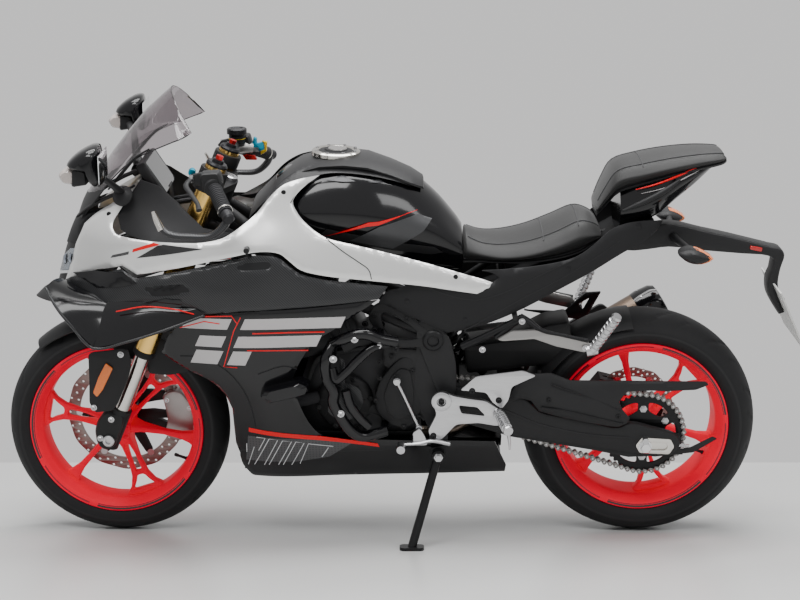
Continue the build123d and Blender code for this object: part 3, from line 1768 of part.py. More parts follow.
with BuildPart() as side_stand:
    ankle = unparked(stand_foot_point + Vector(0, 0, stand_foot_height / 2))
    bar(ankle, stand_pivot, stand_radius)
    bar(
        stand_pivot - across * stand_eye_half,
        stand_pivot + across * stand_eye_half,
        stand_eye_radius,
    )
    with BuildSketch(side_plane(stand_pivot)):
        Circle(stand_pin_radius + seat_gap)
    extrude(amount=stand_eye_radius * 2, both=True, mode=Mode.SUBTRACT)
side_stand.part.label = "side_stand"

with BuildPart() as stand_foot:
    with BuildSketch(Plane.XY.offset(0)):
        with Locations((stand_foot_point.X, stand_foot_point.Y)):
            RectangleRounded(stand_foot_length, stand_foot_width, stand_foot_width / 3)
    extrude(amount=stand_foot_height)

parked_parts = [(parked(piece, body), piece.label) for piece, body in parts]
stand_leg = parked(side_stand.part, "side_stand")
with BuildPart() as whole_stand:
    add(stand_leg)
    add(stand_foot.part)
    with BuildSketch(Plane.XY):
        Rectangle(body_length * 2, body_length * 2)
    extrude(amount=-stand_radius * 2, mode=Mode.SUBTRACT)
parked_parts.append((whole_stand.part, "side_stand"))

boxes = [piece.bounding_box() for piece, label in parked_parts]
low_x = min(box.min.X for box in boxes)
high_x = max(box.max.X for box in boxes)
low_y = min(box.min.Y for box in boxes)
high_y = max(box.max.Y for box in boxes)
shift = Vector(-(low_x + high_x) / 2, -(low_y + high_y) / 2, 0)

os.makedirs("parts", exist_ok=True)
for piece, label in parked_parts:
    placed = piece.translate(shift)
    placed.label = label
    export_step(placed, f"parts/{label}.step")
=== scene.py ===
"""Visual model of a sport bike on its side stand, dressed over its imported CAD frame.

Pieces are drawn in millimetres in the upright machine's own axes (x back from the front
axle, y to its right, z up from the ground) and then stood in the parked attitude.
"""

import json
import logging
import math
from dataclasses import dataclass, field
from enum import Enum
from typing import Callable, Iterable, Sequence

import bmesh
import bpy
import numpy as np
from mathutils import Matrix, Vector
from mathutils.geometry import delaunay_2d_cdt

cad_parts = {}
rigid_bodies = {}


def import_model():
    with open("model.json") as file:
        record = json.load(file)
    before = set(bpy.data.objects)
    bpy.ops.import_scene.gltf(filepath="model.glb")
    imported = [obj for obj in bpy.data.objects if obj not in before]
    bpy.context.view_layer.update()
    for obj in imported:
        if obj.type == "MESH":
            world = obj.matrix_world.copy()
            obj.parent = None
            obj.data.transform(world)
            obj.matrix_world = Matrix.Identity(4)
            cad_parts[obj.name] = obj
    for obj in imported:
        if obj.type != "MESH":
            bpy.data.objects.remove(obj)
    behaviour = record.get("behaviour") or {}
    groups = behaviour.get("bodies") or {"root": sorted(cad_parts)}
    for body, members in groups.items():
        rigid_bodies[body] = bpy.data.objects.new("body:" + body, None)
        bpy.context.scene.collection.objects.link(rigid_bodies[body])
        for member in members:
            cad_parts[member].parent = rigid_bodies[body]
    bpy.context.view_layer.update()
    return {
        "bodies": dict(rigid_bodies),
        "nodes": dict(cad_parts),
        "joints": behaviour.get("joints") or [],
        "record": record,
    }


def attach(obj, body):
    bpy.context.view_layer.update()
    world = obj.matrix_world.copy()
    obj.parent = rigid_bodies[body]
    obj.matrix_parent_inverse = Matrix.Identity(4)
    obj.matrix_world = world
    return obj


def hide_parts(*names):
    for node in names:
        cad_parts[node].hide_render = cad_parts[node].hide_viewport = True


LOG = logging.getLogger("sport_bike")
MM = 0.001
FRONT_AXLE = (0.0, 0.0, 294.47)
REAR_AXLE = (1370.0, 0.0, 308.09)
PITCH_DEGREES = 0.0304
BARS_TURNED = -3.5
STEM_UP = (0.37299, 0.0, 0.92784)
STEM_FOOT = (0.027835, 0.0, 0.28328)
ACROSS = (0, 1, 0)
LEFT = (0, -1, 0)
UP = (0, 0, 1)

Point = tuple[float, float, float]
Flat = tuple[float, float]
Colour = tuple[float, float, float]


class Mount(Enum):
    """Bodies of the machine that a piece can ride on."""

    CHASSIS = "chassis"
    FRONT_END = "front_end"
    FRONT_WHEEL = "front_wheel"
    REAR_WHEEL = "rear_wheel"
    SIDE_STAND = "side_stand"


class Grain(Enum):
    """Kinds of surface pattern that a finish can carry."""

    NOISE = "noise"
    CAST = "cast"
    BRUSHED = "brushed"
    TWILL = "twill"
    FLAKE = "flake"
    LEATHER = "leather"
    PERFORATED = "perforated"
    MESH = "mesh"


@dataclass(frozen=True)
class Finish:
    """One surface finish and the procedural material that draws it.

    Attributes:
        name: Material name.
        colour: Base colour, linear.
        slot: Material slot of the record that it belongs to; not used.
        metallic: Share of metal.
        roughness: Mean roughness.
        coat: Weight of the clear coat.
        grain: Kind of surface pattern.
        size: Size of the pattern's features, in millimetres.
        depth: Height of the pattern, in millimetres.
        tone: Share by which the pattern darkens the colour.
        wear: Share by which the roughness varies over the surface.
        transmission: Weight of the transmission.
        sheen: Weight of the sheen.
        second: Second colour of the pattern, where it has one.
        painted_glow: Strength of a painted glow, light that the paint gives off though it is no lamp.
        shine: Level of the mirror reflection.
    """

    name: str
    colour: Colour
    slot: str
    metallic: float = 0.0
    roughness: float = 0.5
    coat: float = 0.0
    grain: Grain = Grain.NOISE
    size: float = 1.5
    depth: float = 0.02
    tone: float = 0.2
    wear: float = 0.15
    transmission: float = 0.0
    sheen: float = 0.0
    second: Colour | None = None
    painted_glow: float = 0.0
    shine: float = 0.5

    def material(self) -> bpy.types.Material:
        """Builds the material, or returns the one built before.

        Returns:
            The node material of this finish.
        """
        label = f"{self.name}_look"
        found = bpy.data.materials.get(label)
        if found:
            return found
        material = bpy.data.materials.new(label)
        material.use_nodes = True
        material.diffuse_color = (*self.colour, 1.0)
        NodeDraft(material, self).draw()
        return material


class NodeDraft:
    """Draws the node tree of one finish."""

    def __init__(self, material: bpy.types.Material, finish: Finish) -> None:
        """Takes the empty material that the finish is drawn in."""
        self.tree = material.node_tree
        self.finish = finish
        self.shader = self.tree.nodes["Principled BSDF"]

    def node(self, kind: str, **values: object) -> bpy.types.Node:
        """Adds a node.

        Args:
            kind: Blender's node type.
            **values: Properties of the node.

        Returns:
            The new node.
        """
        made = self.tree.nodes.new(kind)
        for key, value in values.items():
            setattr(made, key, value)
        return made

    def link(self, output: bpy.types.NodeSocket, target: bpy.types.NodeSocket) -> None:
        """Joins two sockets."""
        self.tree.links.new(output, target)

    def maths(self, operation: str, first: object, second: object = 0.0) -> bpy.types.NodeSocket:
        """Adds a math node.

        Args:
            operation: Name of the operation.
            first: Socket or number.
            second: Socket or number.

        Returns:
            The result's socket.
        """
        made = self.node("ShaderNodeMath", operation=operation)
        for socket, value in zip(made.inputs, (first, second)):
            if isinstance(value, bpy.types.NodeSocket):
                self.link(value, socket)
            else:
                socket.default_value = value
        return made.outputs[0]

    def texture(self, size: float, stretch: Point = (1.0, 1.0, 1.0),
                detail: float = 3.0) -> bpy.types.NodeSocket:
        """Noise over the object's own coordinates.

        Args:
            size: Feature size in millimetres.
            stretch: Scale of the coordinates along x, y and z.
            detail: Octaves of detail.

        Returns:
            The noise's value socket.
        """
        place = self.node("ShaderNodeTexCoord")
        mapping = self.node("ShaderNodeMapping")
        mapping.inputs["Scale"].default_value = stretch
        noise = self.node("ShaderNodeTexNoise")
        noise.inputs["Scale"].default_value = 1.0 / (size * MM)
        noise.inputs["Detail"].default_value = detail
        self.link(place.outputs["Object"], mapping.inputs["Vector"])
        self.link(mapping.outputs["Vector"], noise.inputs["Vector"])
        return noise.outputs["Fac"]

    def axes(self) -> tuple[bpy.types.NodeSocket, bpy.types.NodeSocket, bpy.types.NodeSocket]:
        """Returns the sockets of the object's x, y and z coordinates."""
        place = self.node("ShaderNodeTexCoord")
        split = self.node("ShaderNodeSeparateXYZ")
        self.link(place.outputs["Object"], split.inputs[0])
        return split.outputs[0], split.outputs[1], split.outputs[2]

    def pattern(self) -> bpy.types.NodeSocket:
        """Draws the finish's own pattern.

        Returns:
            A socket that runs from 0 to 1 over the pattern.
        """
        finish = self.finish
        if finish.grain is Grain.BRUSHED:
            return self.texture(finish.size, (0.06, 1.0, 1.0), 2.0)
        if finish.grain is Grain.CAST:
            return self.texture(finish.size, detail=8.0)
        if finish.grain is Grain.FLAKE:
            return self.texture(finish.size, detail=1.0)
        if finish.grain is Grain.TWILL:
            across, _, up = self.axes()
            column = self.maths("FLOOR", self.maths("DIVIDE", across, finish.size * MM))
            row = self.maths("FLOOR", self.maths("DIVIDE", up, finish.size * MM))
            step = self.maths("FLOORED_MODULO", self.maths("ADD", column, row), 4.0)
            tow = self.maths("LESS_THAN", step, 1.5)
            fibre = self.texture(finish.size * 0.3, detail=1.0)
            return self.maths("ADD", self.maths("MULTIPLY", tow, 0.8), self.maths("MULTIPLY", fibre, 0.2))
        if finish.grain in (Grain.PERFORATED, Grain.MESH):
            across, _, up = self.axes()
            column = self.maths("PINGPONG", self.maths("DIVIDE", across, finish.size * MM), 1.0)
            row = self.maths("PINGPONG", self.maths("DIVIDE", up, finish.size * MM), 1.0)
            reach = self.maths("ADD", self.maths("POWER", column, 2.0), self.maths("POWER", row, 2.0))
            limit = 0.3 if finish.grain is Grain.PERFORATED else 0.75
            return self.maths("GREATER_THAN", reach, limit)
        if finish.grain is Grain.LEATHER:
            place = self.node("ShaderNodeTexCoord")
            cells = self.node("ShaderNodeTexVoronoi", feature="DISTANCE_TO_EDGE")
            cells.inputs["Scale"].default_value = 1.0 / (finish.size * MM)
            self.link(place.outputs["Object"], cells.inputs["Vector"])
            return self.maths("MULTIPLY", cells.outputs["Distance"], 2.0)
        return self.texture(finish.size)

    def draw(self) -> None:
        """Draws the whole tree: colour, roughness and bump from the pattern."""
        finish = self.finish
        inputs = self.shader.inputs
        inputs["Metallic"].default_value = finish.metallic
        inputs["Roughness"].default_value = finish.roughness
        inputs["Coat Weight"].default_value = finish.coat
        inputs["Coat Roughness"].default_value = 0.06
        inputs["Transmission Weight"].default_value = finish.transmission
        inputs["Sheen Weight"].default_value = finish.sheen
        inputs["IOR"].default_value = 1.45
        # Painted glow: the finish gives off light in its own colour, though it is no lamp; only the wheel red
        # has any.
        inputs["Emission Color"].default_value = (*finish.colour, 1.0)
        inputs["Emission Strength"].default_value = finish.painted_glow
        inputs["Specular IOR Level"].default_value = finish.shine
        pattern = self.pattern()
        mix = self.node("ShaderNodeMix", data_type="RGBA")
        shade = finish.second or tuple(channel * (1.0 - finish.tone) for channel in finish.colour)
        mix.inputs[6].default_value = (*shade, 1.0)
        mix.inputs[7].default_value = (*finish.colour, 1.0)
        self.link(pattern, mix.inputs[0])
        self.link(mix.outputs[2], inputs["Base Color"])
        soiling = self.texture(60.0, detail=4.0)
        spread = self.node("ShaderNodeMapRange")
        low = max(0.02, finish.roughness * (1.0 - finish.wear))
        spread.inputs["To Min"].default_value = low
        spread.inputs["To Max"].default_value = min(1.0, finish.roughness * (1.0 + finish.wear))
        self.link(soiling, spread.inputs["Value"])
        self.link(spread.outputs[0], inputs["Roughness"])
        if finish.depth > 0:
            bump = self.node("ShaderNodeBump")
            bump.inputs["Strength"].default_value = 0.6
            bump.inputs["Distance"].default_value = finish.depth * MM
            self.link(pattern, bump.inputs["Height"])
            self.link(bump.outputs["Normal"], inputs["Normal"])


@dataclass
class Shape:
    """Points and faces of a piece, in millimetres in the upright machine's axes."""

    points: list[Point] = field(default_factory=list)
    faces: list[tuple[int, ...]] = field(default_factory=list)

    def __add__(self, other: "Shape") -> "Shape":
        """Returns both shapes as one."""
        base = len(self.points)
        faces = self.faces + [tuple(base + index for index in face) for face in other.faces]
        return Shape(self.points + other.points, faces)

    def mirrored(self) -> "Shape":
        """Returns the same shape on the other side of the machine."""
        points = [(x, -y, z) for x, y, z in self.points]
        return Shape(points, [tuple(reversed(face)) for face in self.faces])

    def both(self) -> "Shape":
        """Returns the shape with its mirror image."""
        return self + self.mirrored()

    def moved(self, x: float = 0.0, y: float = 0.0, z: float = 0.0) -> "Shape":
        """Returns the shape moved by x, y and z."""
        return Shape([(a + x, b + y, c + z) for a, b, c in self.points], list(self.faces))

    def under(self, matrix: Matrix) -> "Shape":
        """Returns the shape with its points put through a matrix."""
        return Shape([tuple(matrix @ Vector(point)) for point in self.points], list(self.faces))

    def turned(self, degrees: float, axis: Point, centre: Point) -> "Shape":
        """Returns the shape turned about an axis through a point."""
        turn = Matrix.Rotation(math.radians(degrees), 4, Vector(axis))
        there = Matrix.Translation(Vector(centre))
        return self.under(there @ turn @ there.inverted())

    def bent(self, rule: Callable[[float, float, float], Point]) -> "Shape":
        """Returns the shape with each point moved by a rule."""
        return Shape([rule(*point) for point in self.points], list(self.faces))


def combined(shapes: Iterable[Shape]) -> Shape:
    """Joins several shapes into one."""
    whole = Shape()
    for shape in shapes:
        whole = whole + shape
    return whole


def frame_of(run: Vector) -> tuple[Vector, Vector]:
    """Returns two unit vectors square to a direction and to each other."""
    guide = Vector((0, 0, 1)) if abs(run.normalized().z) < 0.9 else Vector((1, 0, 0))
    side = run.cross(guide).normalized()
    return side, side.cross(run).normalized()


def way(start: Vector, end: Vector) -> tuple[Vector, float]:
    """Returns the direction and the distance from one point to another."""
    return (end - start).normalized(), (end - start).length


def eased(points: Sequence[Sequence[float]], steps: int = 6, closed: bool = False) -> list[Vector]:
    """Draws a smooth line through points.

    Args:
        points: The points that the line passes through.
        steps: Pieces between two points.
        closed: Whether the line returns to its start.

    Returns:
        Points along the line.
    """
    line = [Vector(point) for point in points]
    count = len(line)
    if count < 3 or steps < 2:
        return line
    result: list[Vector] = []
    spans = count if closed else count - 1
    for span in range(spans):
        if closed:
            before, start, end, after = (line[(span + k) % count] for k in (-1, 0, 1, 2))
        else:
            start, end = line[span], line[span + 1]
            before = line[span - 1] if span else start * 2 - end
            after = line[span + 2] if span + 2 < count else end * 2 - start
        knots = [0.0]
        for first, second in ((before, start), (start, end), (end, after)):
            knots.append(knots[-1] + max((second - first).length, 1e-6) ** 0.5)
        for step in range(steps):
            t = knots[1] + (knots[2] - knots[1]) * step / steps
            first = before.lerp(start, (t - knots[0]) / (knots[1] - knots[0]))
            second = start.lerp(end, (t - knots[1]) / (knots[2] - knots[1]))
            third = end.lerp(after, (t - knots[2]) / (knots[3] - knots[2]))
            low = first.lerp(second, (t - knots[0]) / (knots[2] - knots[0]))
            high = second.lerp(third, (t - knots[1]) / (knots[3] - knots[1]))
            result.append(low.lerp(high, (t - knots[1]) / (knots[2] - knots[1])))
    if not closed:
        result.append(line[-1])
    return result


def tube(points: Sequence[Point], radius: float | Sequence[float], sides: int = 16, steps: int = 6,
         closed: bool = False, flat: float = 1.0) -> Shape:
    """Sweeps a round section along a smooth line.

    Args:
        points: Points of the line.
        radius: Radius, or a radius for each point.
        sides: Sides of the section.
        steps: Pieces between two points of the line.
        closed: Whether the line is a loop.
        flat: Height of the section as a share of its width.

    Returns:
        The swept shape.
    """
    radii = [radius] * len(points) if isinstance(radius, (int, float)) else list(radius)
    line = eased(points, steps, closed)
    spread = [Vector((value, 0, 0)) for value in radii]
    sizes = [v.x for v in eased(spread, steps, closed)] if len(points) > 2 and steps > 1 else radii
    count = len(line)
    side, rise = None, None
    result: list[Point] = []
    for index, point in enumerate(line):
        ahead = line[(index + 1) % count] if closed or index + 1 < count else point
        behind = line[index - 1] if closed or index else point
        run = (ahead - behind).normalized()
        if side is None:
            side, rise = frame_of(run)
        else:
            side = (side - run * side.dot(run)).normalized()
            rise = side.cross(run).normalized()
        for step in range(sides):
            angle = 2 * math.pi * step / sides
            spoke = side * math.cos(angle) + rise * math.sin(angle) * flat
            result.append(tuple(point + spoke * sizes[index]))
    faces = [
        (ring * sides + step, ring * sides + (step + 1) % sides, ((ring + 1) % count) * sides + (step + 1)
         % sides, ((ring + 1) % count) * sides + step) for ring in range(count if closed else count - 1)
        for step in range(sides)
    ]
    if not closed:
        faces.append(tuple(reversed(range(sides))))
        faces.append(tuple((count - 1) * sides + step for step in range(sides)))
    return Shape(result, faces)


def lathe(profile: Sequence[Flat], centre: Point, axis: Point, sides: int = 48,
          closed: bool = False) -> Shape:
    """Turns a profile round an axis.

    Args:
        profile: Points of (distance along the axis, radius).
        centre: Point on the axis where the distance is zero.
        axis: Direction of the axis.
        sides: Sides of the turned shape.
        closed: Whether the profile's end joins its start.

    Returns:
        The turned shape.
    """
    run = Vector(axis).normalized()
    side, rise = frame_of(run)
    base = Vector(centre)
    points: list[Point] = []
    for along, radius in profile:
        for step in range(sides):
            angle = 2 * math.pi * step / sides
            spoke = side * math.cos(angle) + rise * math.sin(angle)
            points.append(tuple(base + run * along + spoke * max(radius, 0.01)))
    count = len(profile)
    faces = [
        (ring * sides + step, ((ring + 1) % count) * sides + step, ((ring + 1) % count) * sides + (step + 1)
         % sides, ring * sides + (step + 1) % sides) for ring in range(count if closed else count - 1)
        for step in range(sides)
    ]
    if not closed:
        faces.append(tuple(range(sides)))
        faces.append(tuple((count - 1) * sides + step for step in reversed(range(sides))))
    return Shape(points, faces)


def plate(outlines: Sequence[Sequence[Flat]], y: float, wall: float, edge: float = 1.0) -> Shape:
    """Cuts a flat plate with holes and rounded edges, square to the machine's width.

    Args:
        outlines: The outline, then any holes, as (x, z) points.
        y: Place of the plate's middle across the machine.
        wall: Thickness.
        edge: Radius of the rounded edges.

    Returns:
        The plate.
    """
    edge = min(edge, wall / 2 - 0.01)
    drawing = bpy.data.curves.new("draft", "CURVE")
    drawing.dimensions = "2D"
    drawing.fill_mode = "BOTH"
    drawing.extrude = wall / 2 - edge
    drawing.bevel_depth = edge
    drawing.offset = -edge
    drawing.bevel_resolution = 1
    for outline in outlines:
        spline = drawing.splines.new("POLY")
        spline.points.add(len(outline) - 1)
        for target, (x, z) in zip(spline.points, outline):
            target.co = (x, z, 0, 1)
        spline.use_cyclic_u = True
    holder = bpy.data.objects.new("draft", drawing)
    mesh = bpy.data.meshes.new_from_object(holder)
    shape = Shape([(v.co.x, y - v.co.z, v.co.y) for v in mesh.vertices],
                  [tuple(face.vertices) for face in mesh.polygons])
    bpy.data.objects.remove(holder)
    bpy.data.curves.remove(drawing)
    bpy.data.meshes.remove(mesh)
    return shape


def ring_of(centre: Flat, radius: float, sides: int = 24) -> list[Flat]:
    """Returns a circle as an outline."""
    return [polar(angle, radius, centre) for angle in shares(sides)]


def rounded(outline: Sequence[Flat], radius: float, steps: int = 4) -> list[Flat]:
    """Rounds the corners of an outline.

    Args:
        outline: Corner points.
        radius: Radius, cut down where an edge is short.
        steps: Pieces of each corner.

    Returns:
        The rounded outline.
    """
    result: list[Flat] = []
    count = len(outline)
    for index in range(count):
        corner = Vector(outline[index])
        back = Vector(outline[index - 1]) - corner
        ahead = Vector(outline[(index + 1) % count]) - corner
        reach = min(radius, back.length * 0.45, ahead.length * 0.45)
        start, end = corner + back.normalized() * reach, corner + ahead.normalized() * reach
        for step in range(steps + 1):
            t = step / steps
            spot = start.lerp(corner, t).lerp(corner.lerp(end, t), t)
            result.append((spot.x, spot.y))
    return result


def slab(corners: Sequence[Flat], radius: float, y: float, wall: float, edge: float = 1.0) -> Shape:
    """Cuts a plate with rounded corners and no holes, square to the machine's width.

    Args:
        corners: Corner points of the outline, as (x, z).
        radius: Radius of the corners.
        y: Place of the plate's middle across the machine.
        wall: Thickness.
        edge: Radius of the rounded edges.

    Returns:
        The plate.
    """
    return plate([rounded(corners, radius)], y, wall, edge)


def polar(angle: float, radius: float, centre: Flat = (0.0, 0.0)) -> Flat:
    """Returns the point at an angle and a radius from a centre."""
    return centre[0] + radius * math.cos(angle), centre[1] + radius * math.sin(angle)


def shares(count: int, shift: float = 0.0) -> list[float]:
    """Returns the angles of equal shares of a turn, the first one shifted by a part of a share."""
    return [2 * math.pi * (k + shift) / count for k in range(count)]


def loft(sections: Sequence[Sequence[Point]], caps: bool = True, closed: bool = True) -> Shape:
    """Joins sections with equal counts of points by faces.

    Args:
        sections: Rings of points.
        caps: Whether the first and last rings are filled.
        closed: Whether each ring closes on itself.

    Returns:
        The lofted shape.
    """
    size = len(sections[0])
    points = [tuple(point) for section in sections for point in section]
    span = size if closed else size - 1
    faces = [
        (row * size + k, row * size + (k + 1) % size, (row + 1) * size + (k + 1) % size,
         (row + 1) * size + k) for row in range(len(sections) - 1) for k in range(span)
    ]
    if caps and closed:
        faces.append(tuple(reversed(range(size))))
        faces.append(tuple((len(sections) - 1) * size + k for k in range(size)))
    return Shape(points, faces)


class Surface:
    """A smooth side surface: y as a function of x and z, through control points."""

    def __init__(self, controls: Sequence[Point]) -> None:
        """Fits a thin plate through (x, z, y) points."""
        spots = np.array([(x, z) for x, z, _ in controls], float)
        goal = np.array([y for _, _, y in controls], float)
        count = len(spots)
        system = np.zeros((count + 3, count + 3))
        system[:count, :count] = self.kernel(spots, spots)
        system[:count, count] = 1.0
        system[:count, count + 1:] = spots / 100.0
        system[count:, :count] = system[:count, count:].T
        self.spots = spots
        self.weights = np.linalg.solve(system, np.concatenate([goal, np.zeros(3)]))

    @staticmethod
    def kernel(first: np.ndarray, second: np.ndarray) -> np.ndarray:
        """Returns the thin plate kernel between two sets of points."""
        gap = np.linalg.norm(first[:, None] - second[None], axis=2) / 100.0
        return np.where(gap > 0, gap**2 * np.log(np.maximum(gap, 1e-9)), 0.0)

    def __call__(self, x: float, z: float) -> float:
        """Returns y at a point of the side view."""
        spot = np.array([[x, z]])
        count = len(self.spots)
        pull = self.kernel(spot, self.spots)[0] @ self.weights[:count]
        return float(pull + self.weights[count] + spot[0] / 100.0 @ self.weights[count + 1:])

    def many(self, spots: np.ndarray) -> np.ndarray:
        """Returns y at many points of the side view."""
        count = len(self.spots)
        pull = self.kernel(spots, self.spots) @ self.weights[:count]
        return pull + self.weights[count] + spots / 100.0 @ self.weights[count + 1:]


def outline_gap(spots: np.ndarray, outlines: Sequence[np.ndarray]) -> np.ndarray:
    """Returns each point's distance to the nearest outline."""
    best = np.full(len(spots), 1e9)
    for outline in outlines:
        for start, end in zip(outline, np.roll(outline, -1, axis=0)):
            run = end - start
            share = np.clip(((spots - start) @ run) / max(run @ run, 1e-9), 0, 1)
            best = np.minimum(best, np.linalg.norm(spots - start - share[:, None] * run, axis=1))
    return best


def inside(spots: np.ndarray, outline: np.ndarray) -> np.ndarray:
    """Tells which points lie inside an outline."""
    hit = np.zeros(len(spots), bool)
    for (x1, z1), (x2, z2) in zip(outline, np.roll(outline, -1, axis=0)):
        crosses = (z1 > spots[:, 1]) != (z2 > spots[:, 1])
        rise = (z2 - z1) if abs(z2 - z1) > 1e-9 else 1e-9
        hit ^= crosses & (spots[:, 0] < (x2 - x1) * (spots[:, 1] - z1) / rise + x1)
    return hit


def skin(outlines: Sequence[Sequence[Flat]], surface: Surface, wall: float = 3.0, step: float = 8.0,
         roll: float = 5.0, lift: float = 0.0) -> Shape:
    """Cuts a panel out of a side surface, with rolled edges and a wall.

    Args:
        outlines: The outline in the side view, then any holes.
        surface: The surface that gives y.
        wall: Thickness, to the inside.
        step: Spacing of the panel's points.
        roll: How far the edges roll inward; 0 for a flat graphic.
        lift: Height over the surface, to the outside.

    Returns:
        The panel.
    """
    loops: list[np.ndarray] = []
    for outline in outlines:
        loop = []
        for start, end in zip(outline, list(outline[1:]) + [outline[0]]):
            run = Vector(end) - Vector(start)
            pieces = max(1, int(run.length / step))
            loop += [tuple(Vector(start) + run * k / pieces) for k in range(pieces)]
        loops.append(np.array(loop))
    low, high = loops[0].min(0), loops[0].max(0)
    xs = np.arange(low[0], high[0], step)
    zs = np.arange(low[1], high[1], step)
    grid = np.array([(x + (row % 2) * step / 2, z) for row, z in enumerate(zs) for x in xs])
    if len(grid):
        keep = inside(grid, loops[0]) & (outline_gap(grid, loops) > step * 0.45)
        for hole in loops[1:]:
            keep &= ~inside(grid, hole)
        grid = grid[keep]
    spots = [Vector(spot) for loop in loops for spot in loop] + [Vector(spot) for spot in grid]
    edges, base = [], 0
    for loop in loops:
        edges += [(base + k, base + (k + 1) % len(loop)) for k in range(len(loop))]
        base += len(loop)
    flat, _, faces, *_ = delaunay_2d_cdt(spots, edges, [], 0, 1e-4)
    flat = np.array([tuple(spot) for spot in flat])
    middles = np.array([flat[list(face)].mean(0) for face in faces])
    keep = inside(middles, loops[0])
    for hole in loops[1:]:
        keep &= ~inside(middles, hole)
    faces = [tuple(face) for face, kept in zip(faces, keep) if kept]
    depth = surface.many(flat)
    gap = outline_gap(flat, loops)
    if roll > 0:
        share = np.clip(1 - gap / roll, 0, 1)
        depth = depth + roll * 0.6 * (1 - np.sqrt(np.maximum(0.0, 1 - share**2)))
    outer = [(x, y - lift, z) for (x, z), y in zip(flat, depth)]
    inner = [(x, y + wall, z) for (x, z), y in zip(flat, depth)]
    count = len(outer)
    used: dict[tuple[int, int], int] = {}
    for face in faces:
        for a, b in zip(face, face[1:] + face[:1]):
            used[(a, b)] = used.get((a, b), 0) + 1
    rim = [(a, b) for a, b in used if (b, a) not in used]
    back = [tuple(count + k for k in reversed(face)) for face in faces]
    walls = [(b, a, count + a, count + b) for a, b in rim]
    return Shape(outer + inner, faces + back + walls)


def decal(outline: Sequence[Flat], surface: Surface, lift: float = 0.8, wall: float = 0.5,
          step: float = 9.0) -> Shape:
    """Cuts a flat graphic that lies on a surface.

    Args:
        outline: The outline in the side view.
        surface: The surface that gives y.
        lift: Height over the surface, to the outside.
        wall: Thickness, to the inside.
        step: Spacing of the graphic's points.

    Returns:
        The graphic.
    """
    return skin([outline], surface, wall, step, 0.0, lift)


class Workshop:
    """Turns shapes into Blender objects that ride on the machine's bodies."""

    def __init__(self, frame: dict) -> None:
        """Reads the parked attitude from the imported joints."""
        self.frame = frame
        joints = {joint["name"]: joint for joint in frame["joints"]}
        rear = joints["rear_wheel_spin"]
        across = Vector(rear["axis"])
        lean = math.atan2(across.z, across.y)
        turn = Matrix.Rotation(math.radians(PITCH_DEGREES), 4, "Y") @ Matrix.Rotation(lean, 4, "X")
        hub = Vector(tuple(value / 1000 for value in REAR_AXLE))
        chassis = Matrix.Translation(Vector(rear["pos_m"]) - turn @ hub) @ turn
        stem = Vector(STEM_FOOT)
        steer = Matrix.Rotation(math.radians(BARS_TURNED), 4, Vector(STEM_UP))
        front = chassis @ Matrix.Translation(stem) @ steer @ Matrix.Translation(-stem)
        self.stands = {mount: chassis for mount in Mount}
        self.stands.update({Mount.FRONT_END: front, Mount.FRONT_WHEEL: front})
        self.count = 0

    def piece(self, name: str, shape: Shape, finish: Finish, smooth: float = 35.0,
              mount: Mount = Mount.CHASSIS, subdivide: int = 0,
              stands_for: Sequence[str] = ()) -> bpy.types.Object:
        """Makes an object from a shape.

        Args:
            name: Name of the piece.
            shape: Its points and faces.
            finish: Its surface.
            smooth: Angle below which edges are shaded smooth, in degrees.
            mount: The body that it rides on.
            subdivide: Levels of subdivision.
            stands_for: CAD nodes that the piece replaces.

        Returns:
            The new object.
        """
        mesh = bpy.data.meshes.new(name)
        mesh.from_pydata([(x * MM, y * MM, z * MM) for x, y, z in shape.points], [], shape.faces)
        mesh.validate()
        work = bmesh.new()
        work.from_mesh(mesh)
        bmesh.ops.remove_doubles(work, verts=work.verts, dist=1e-6)
        bmesh.ops.recalc_face_normals(work, faces=work.faces)
        work.to_mesh(mesh)
        work.free()
        item = bpy.data.objects.new(name, mesh)
        bpy.context.scene.collection.objects.link(item)
        item.matrix_world = self.stands[mount]
        mesh.materials.append(finish.material())
        if subdivide:
            self.subdivide(item, subdivide)
        self.shade(item, smooth)
        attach(item, mount.value)
        if stands_for:
            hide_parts(*stands_for)
        self.count += 1
        LOG.info("%s: %d faces on %s", name, len(item.data.polygons), mount.value)
        return item

    @staticmethod
    def subdivide(item: bpy.types.Object, levels: int) -> None:
        """Applies a subdivision surface to an object."""
        modifier = item.modifiers.new("round", "SUBSURF")
        modifier.levels = modifier.render_levels = levels
        graph = bpy.context.evaluated_depsgraph_get()
        mesh = bpy.data.meshes.new_from_object(item.evaluated_get(graph))
        item.modifiers.clear()
        old, item.data = item.data, mesh
        bpy.data.meshes.remove(old)
        mesh.name = item.name

    @staticmethod
    def shade(item: bpy.types.Object, angle: float) -> None:
        """Shades an object smooth, but keeps edges that turn by more than the angle."""
        mesh = item.data
        mesh.polygons.foreach_set("use_smooth", [True] * len(mesh.polygons))
        mesh.set_sharp_from_angle(angle=math.radians(angle))

    def finish_node(self, name: str, finish: Finish) -> None:
        """Gives a CAD node that stays in view its material."""
        item = self.frame["nodes"][name]
        item.data.materials.clear()
        item.data.materials.append(finish.material())
        item.data.polygons.foreach_set("use_smooth", [True] * len(item.data.polygons))
        item.data.set_sharp_from_angle(angle=math.radians(30))


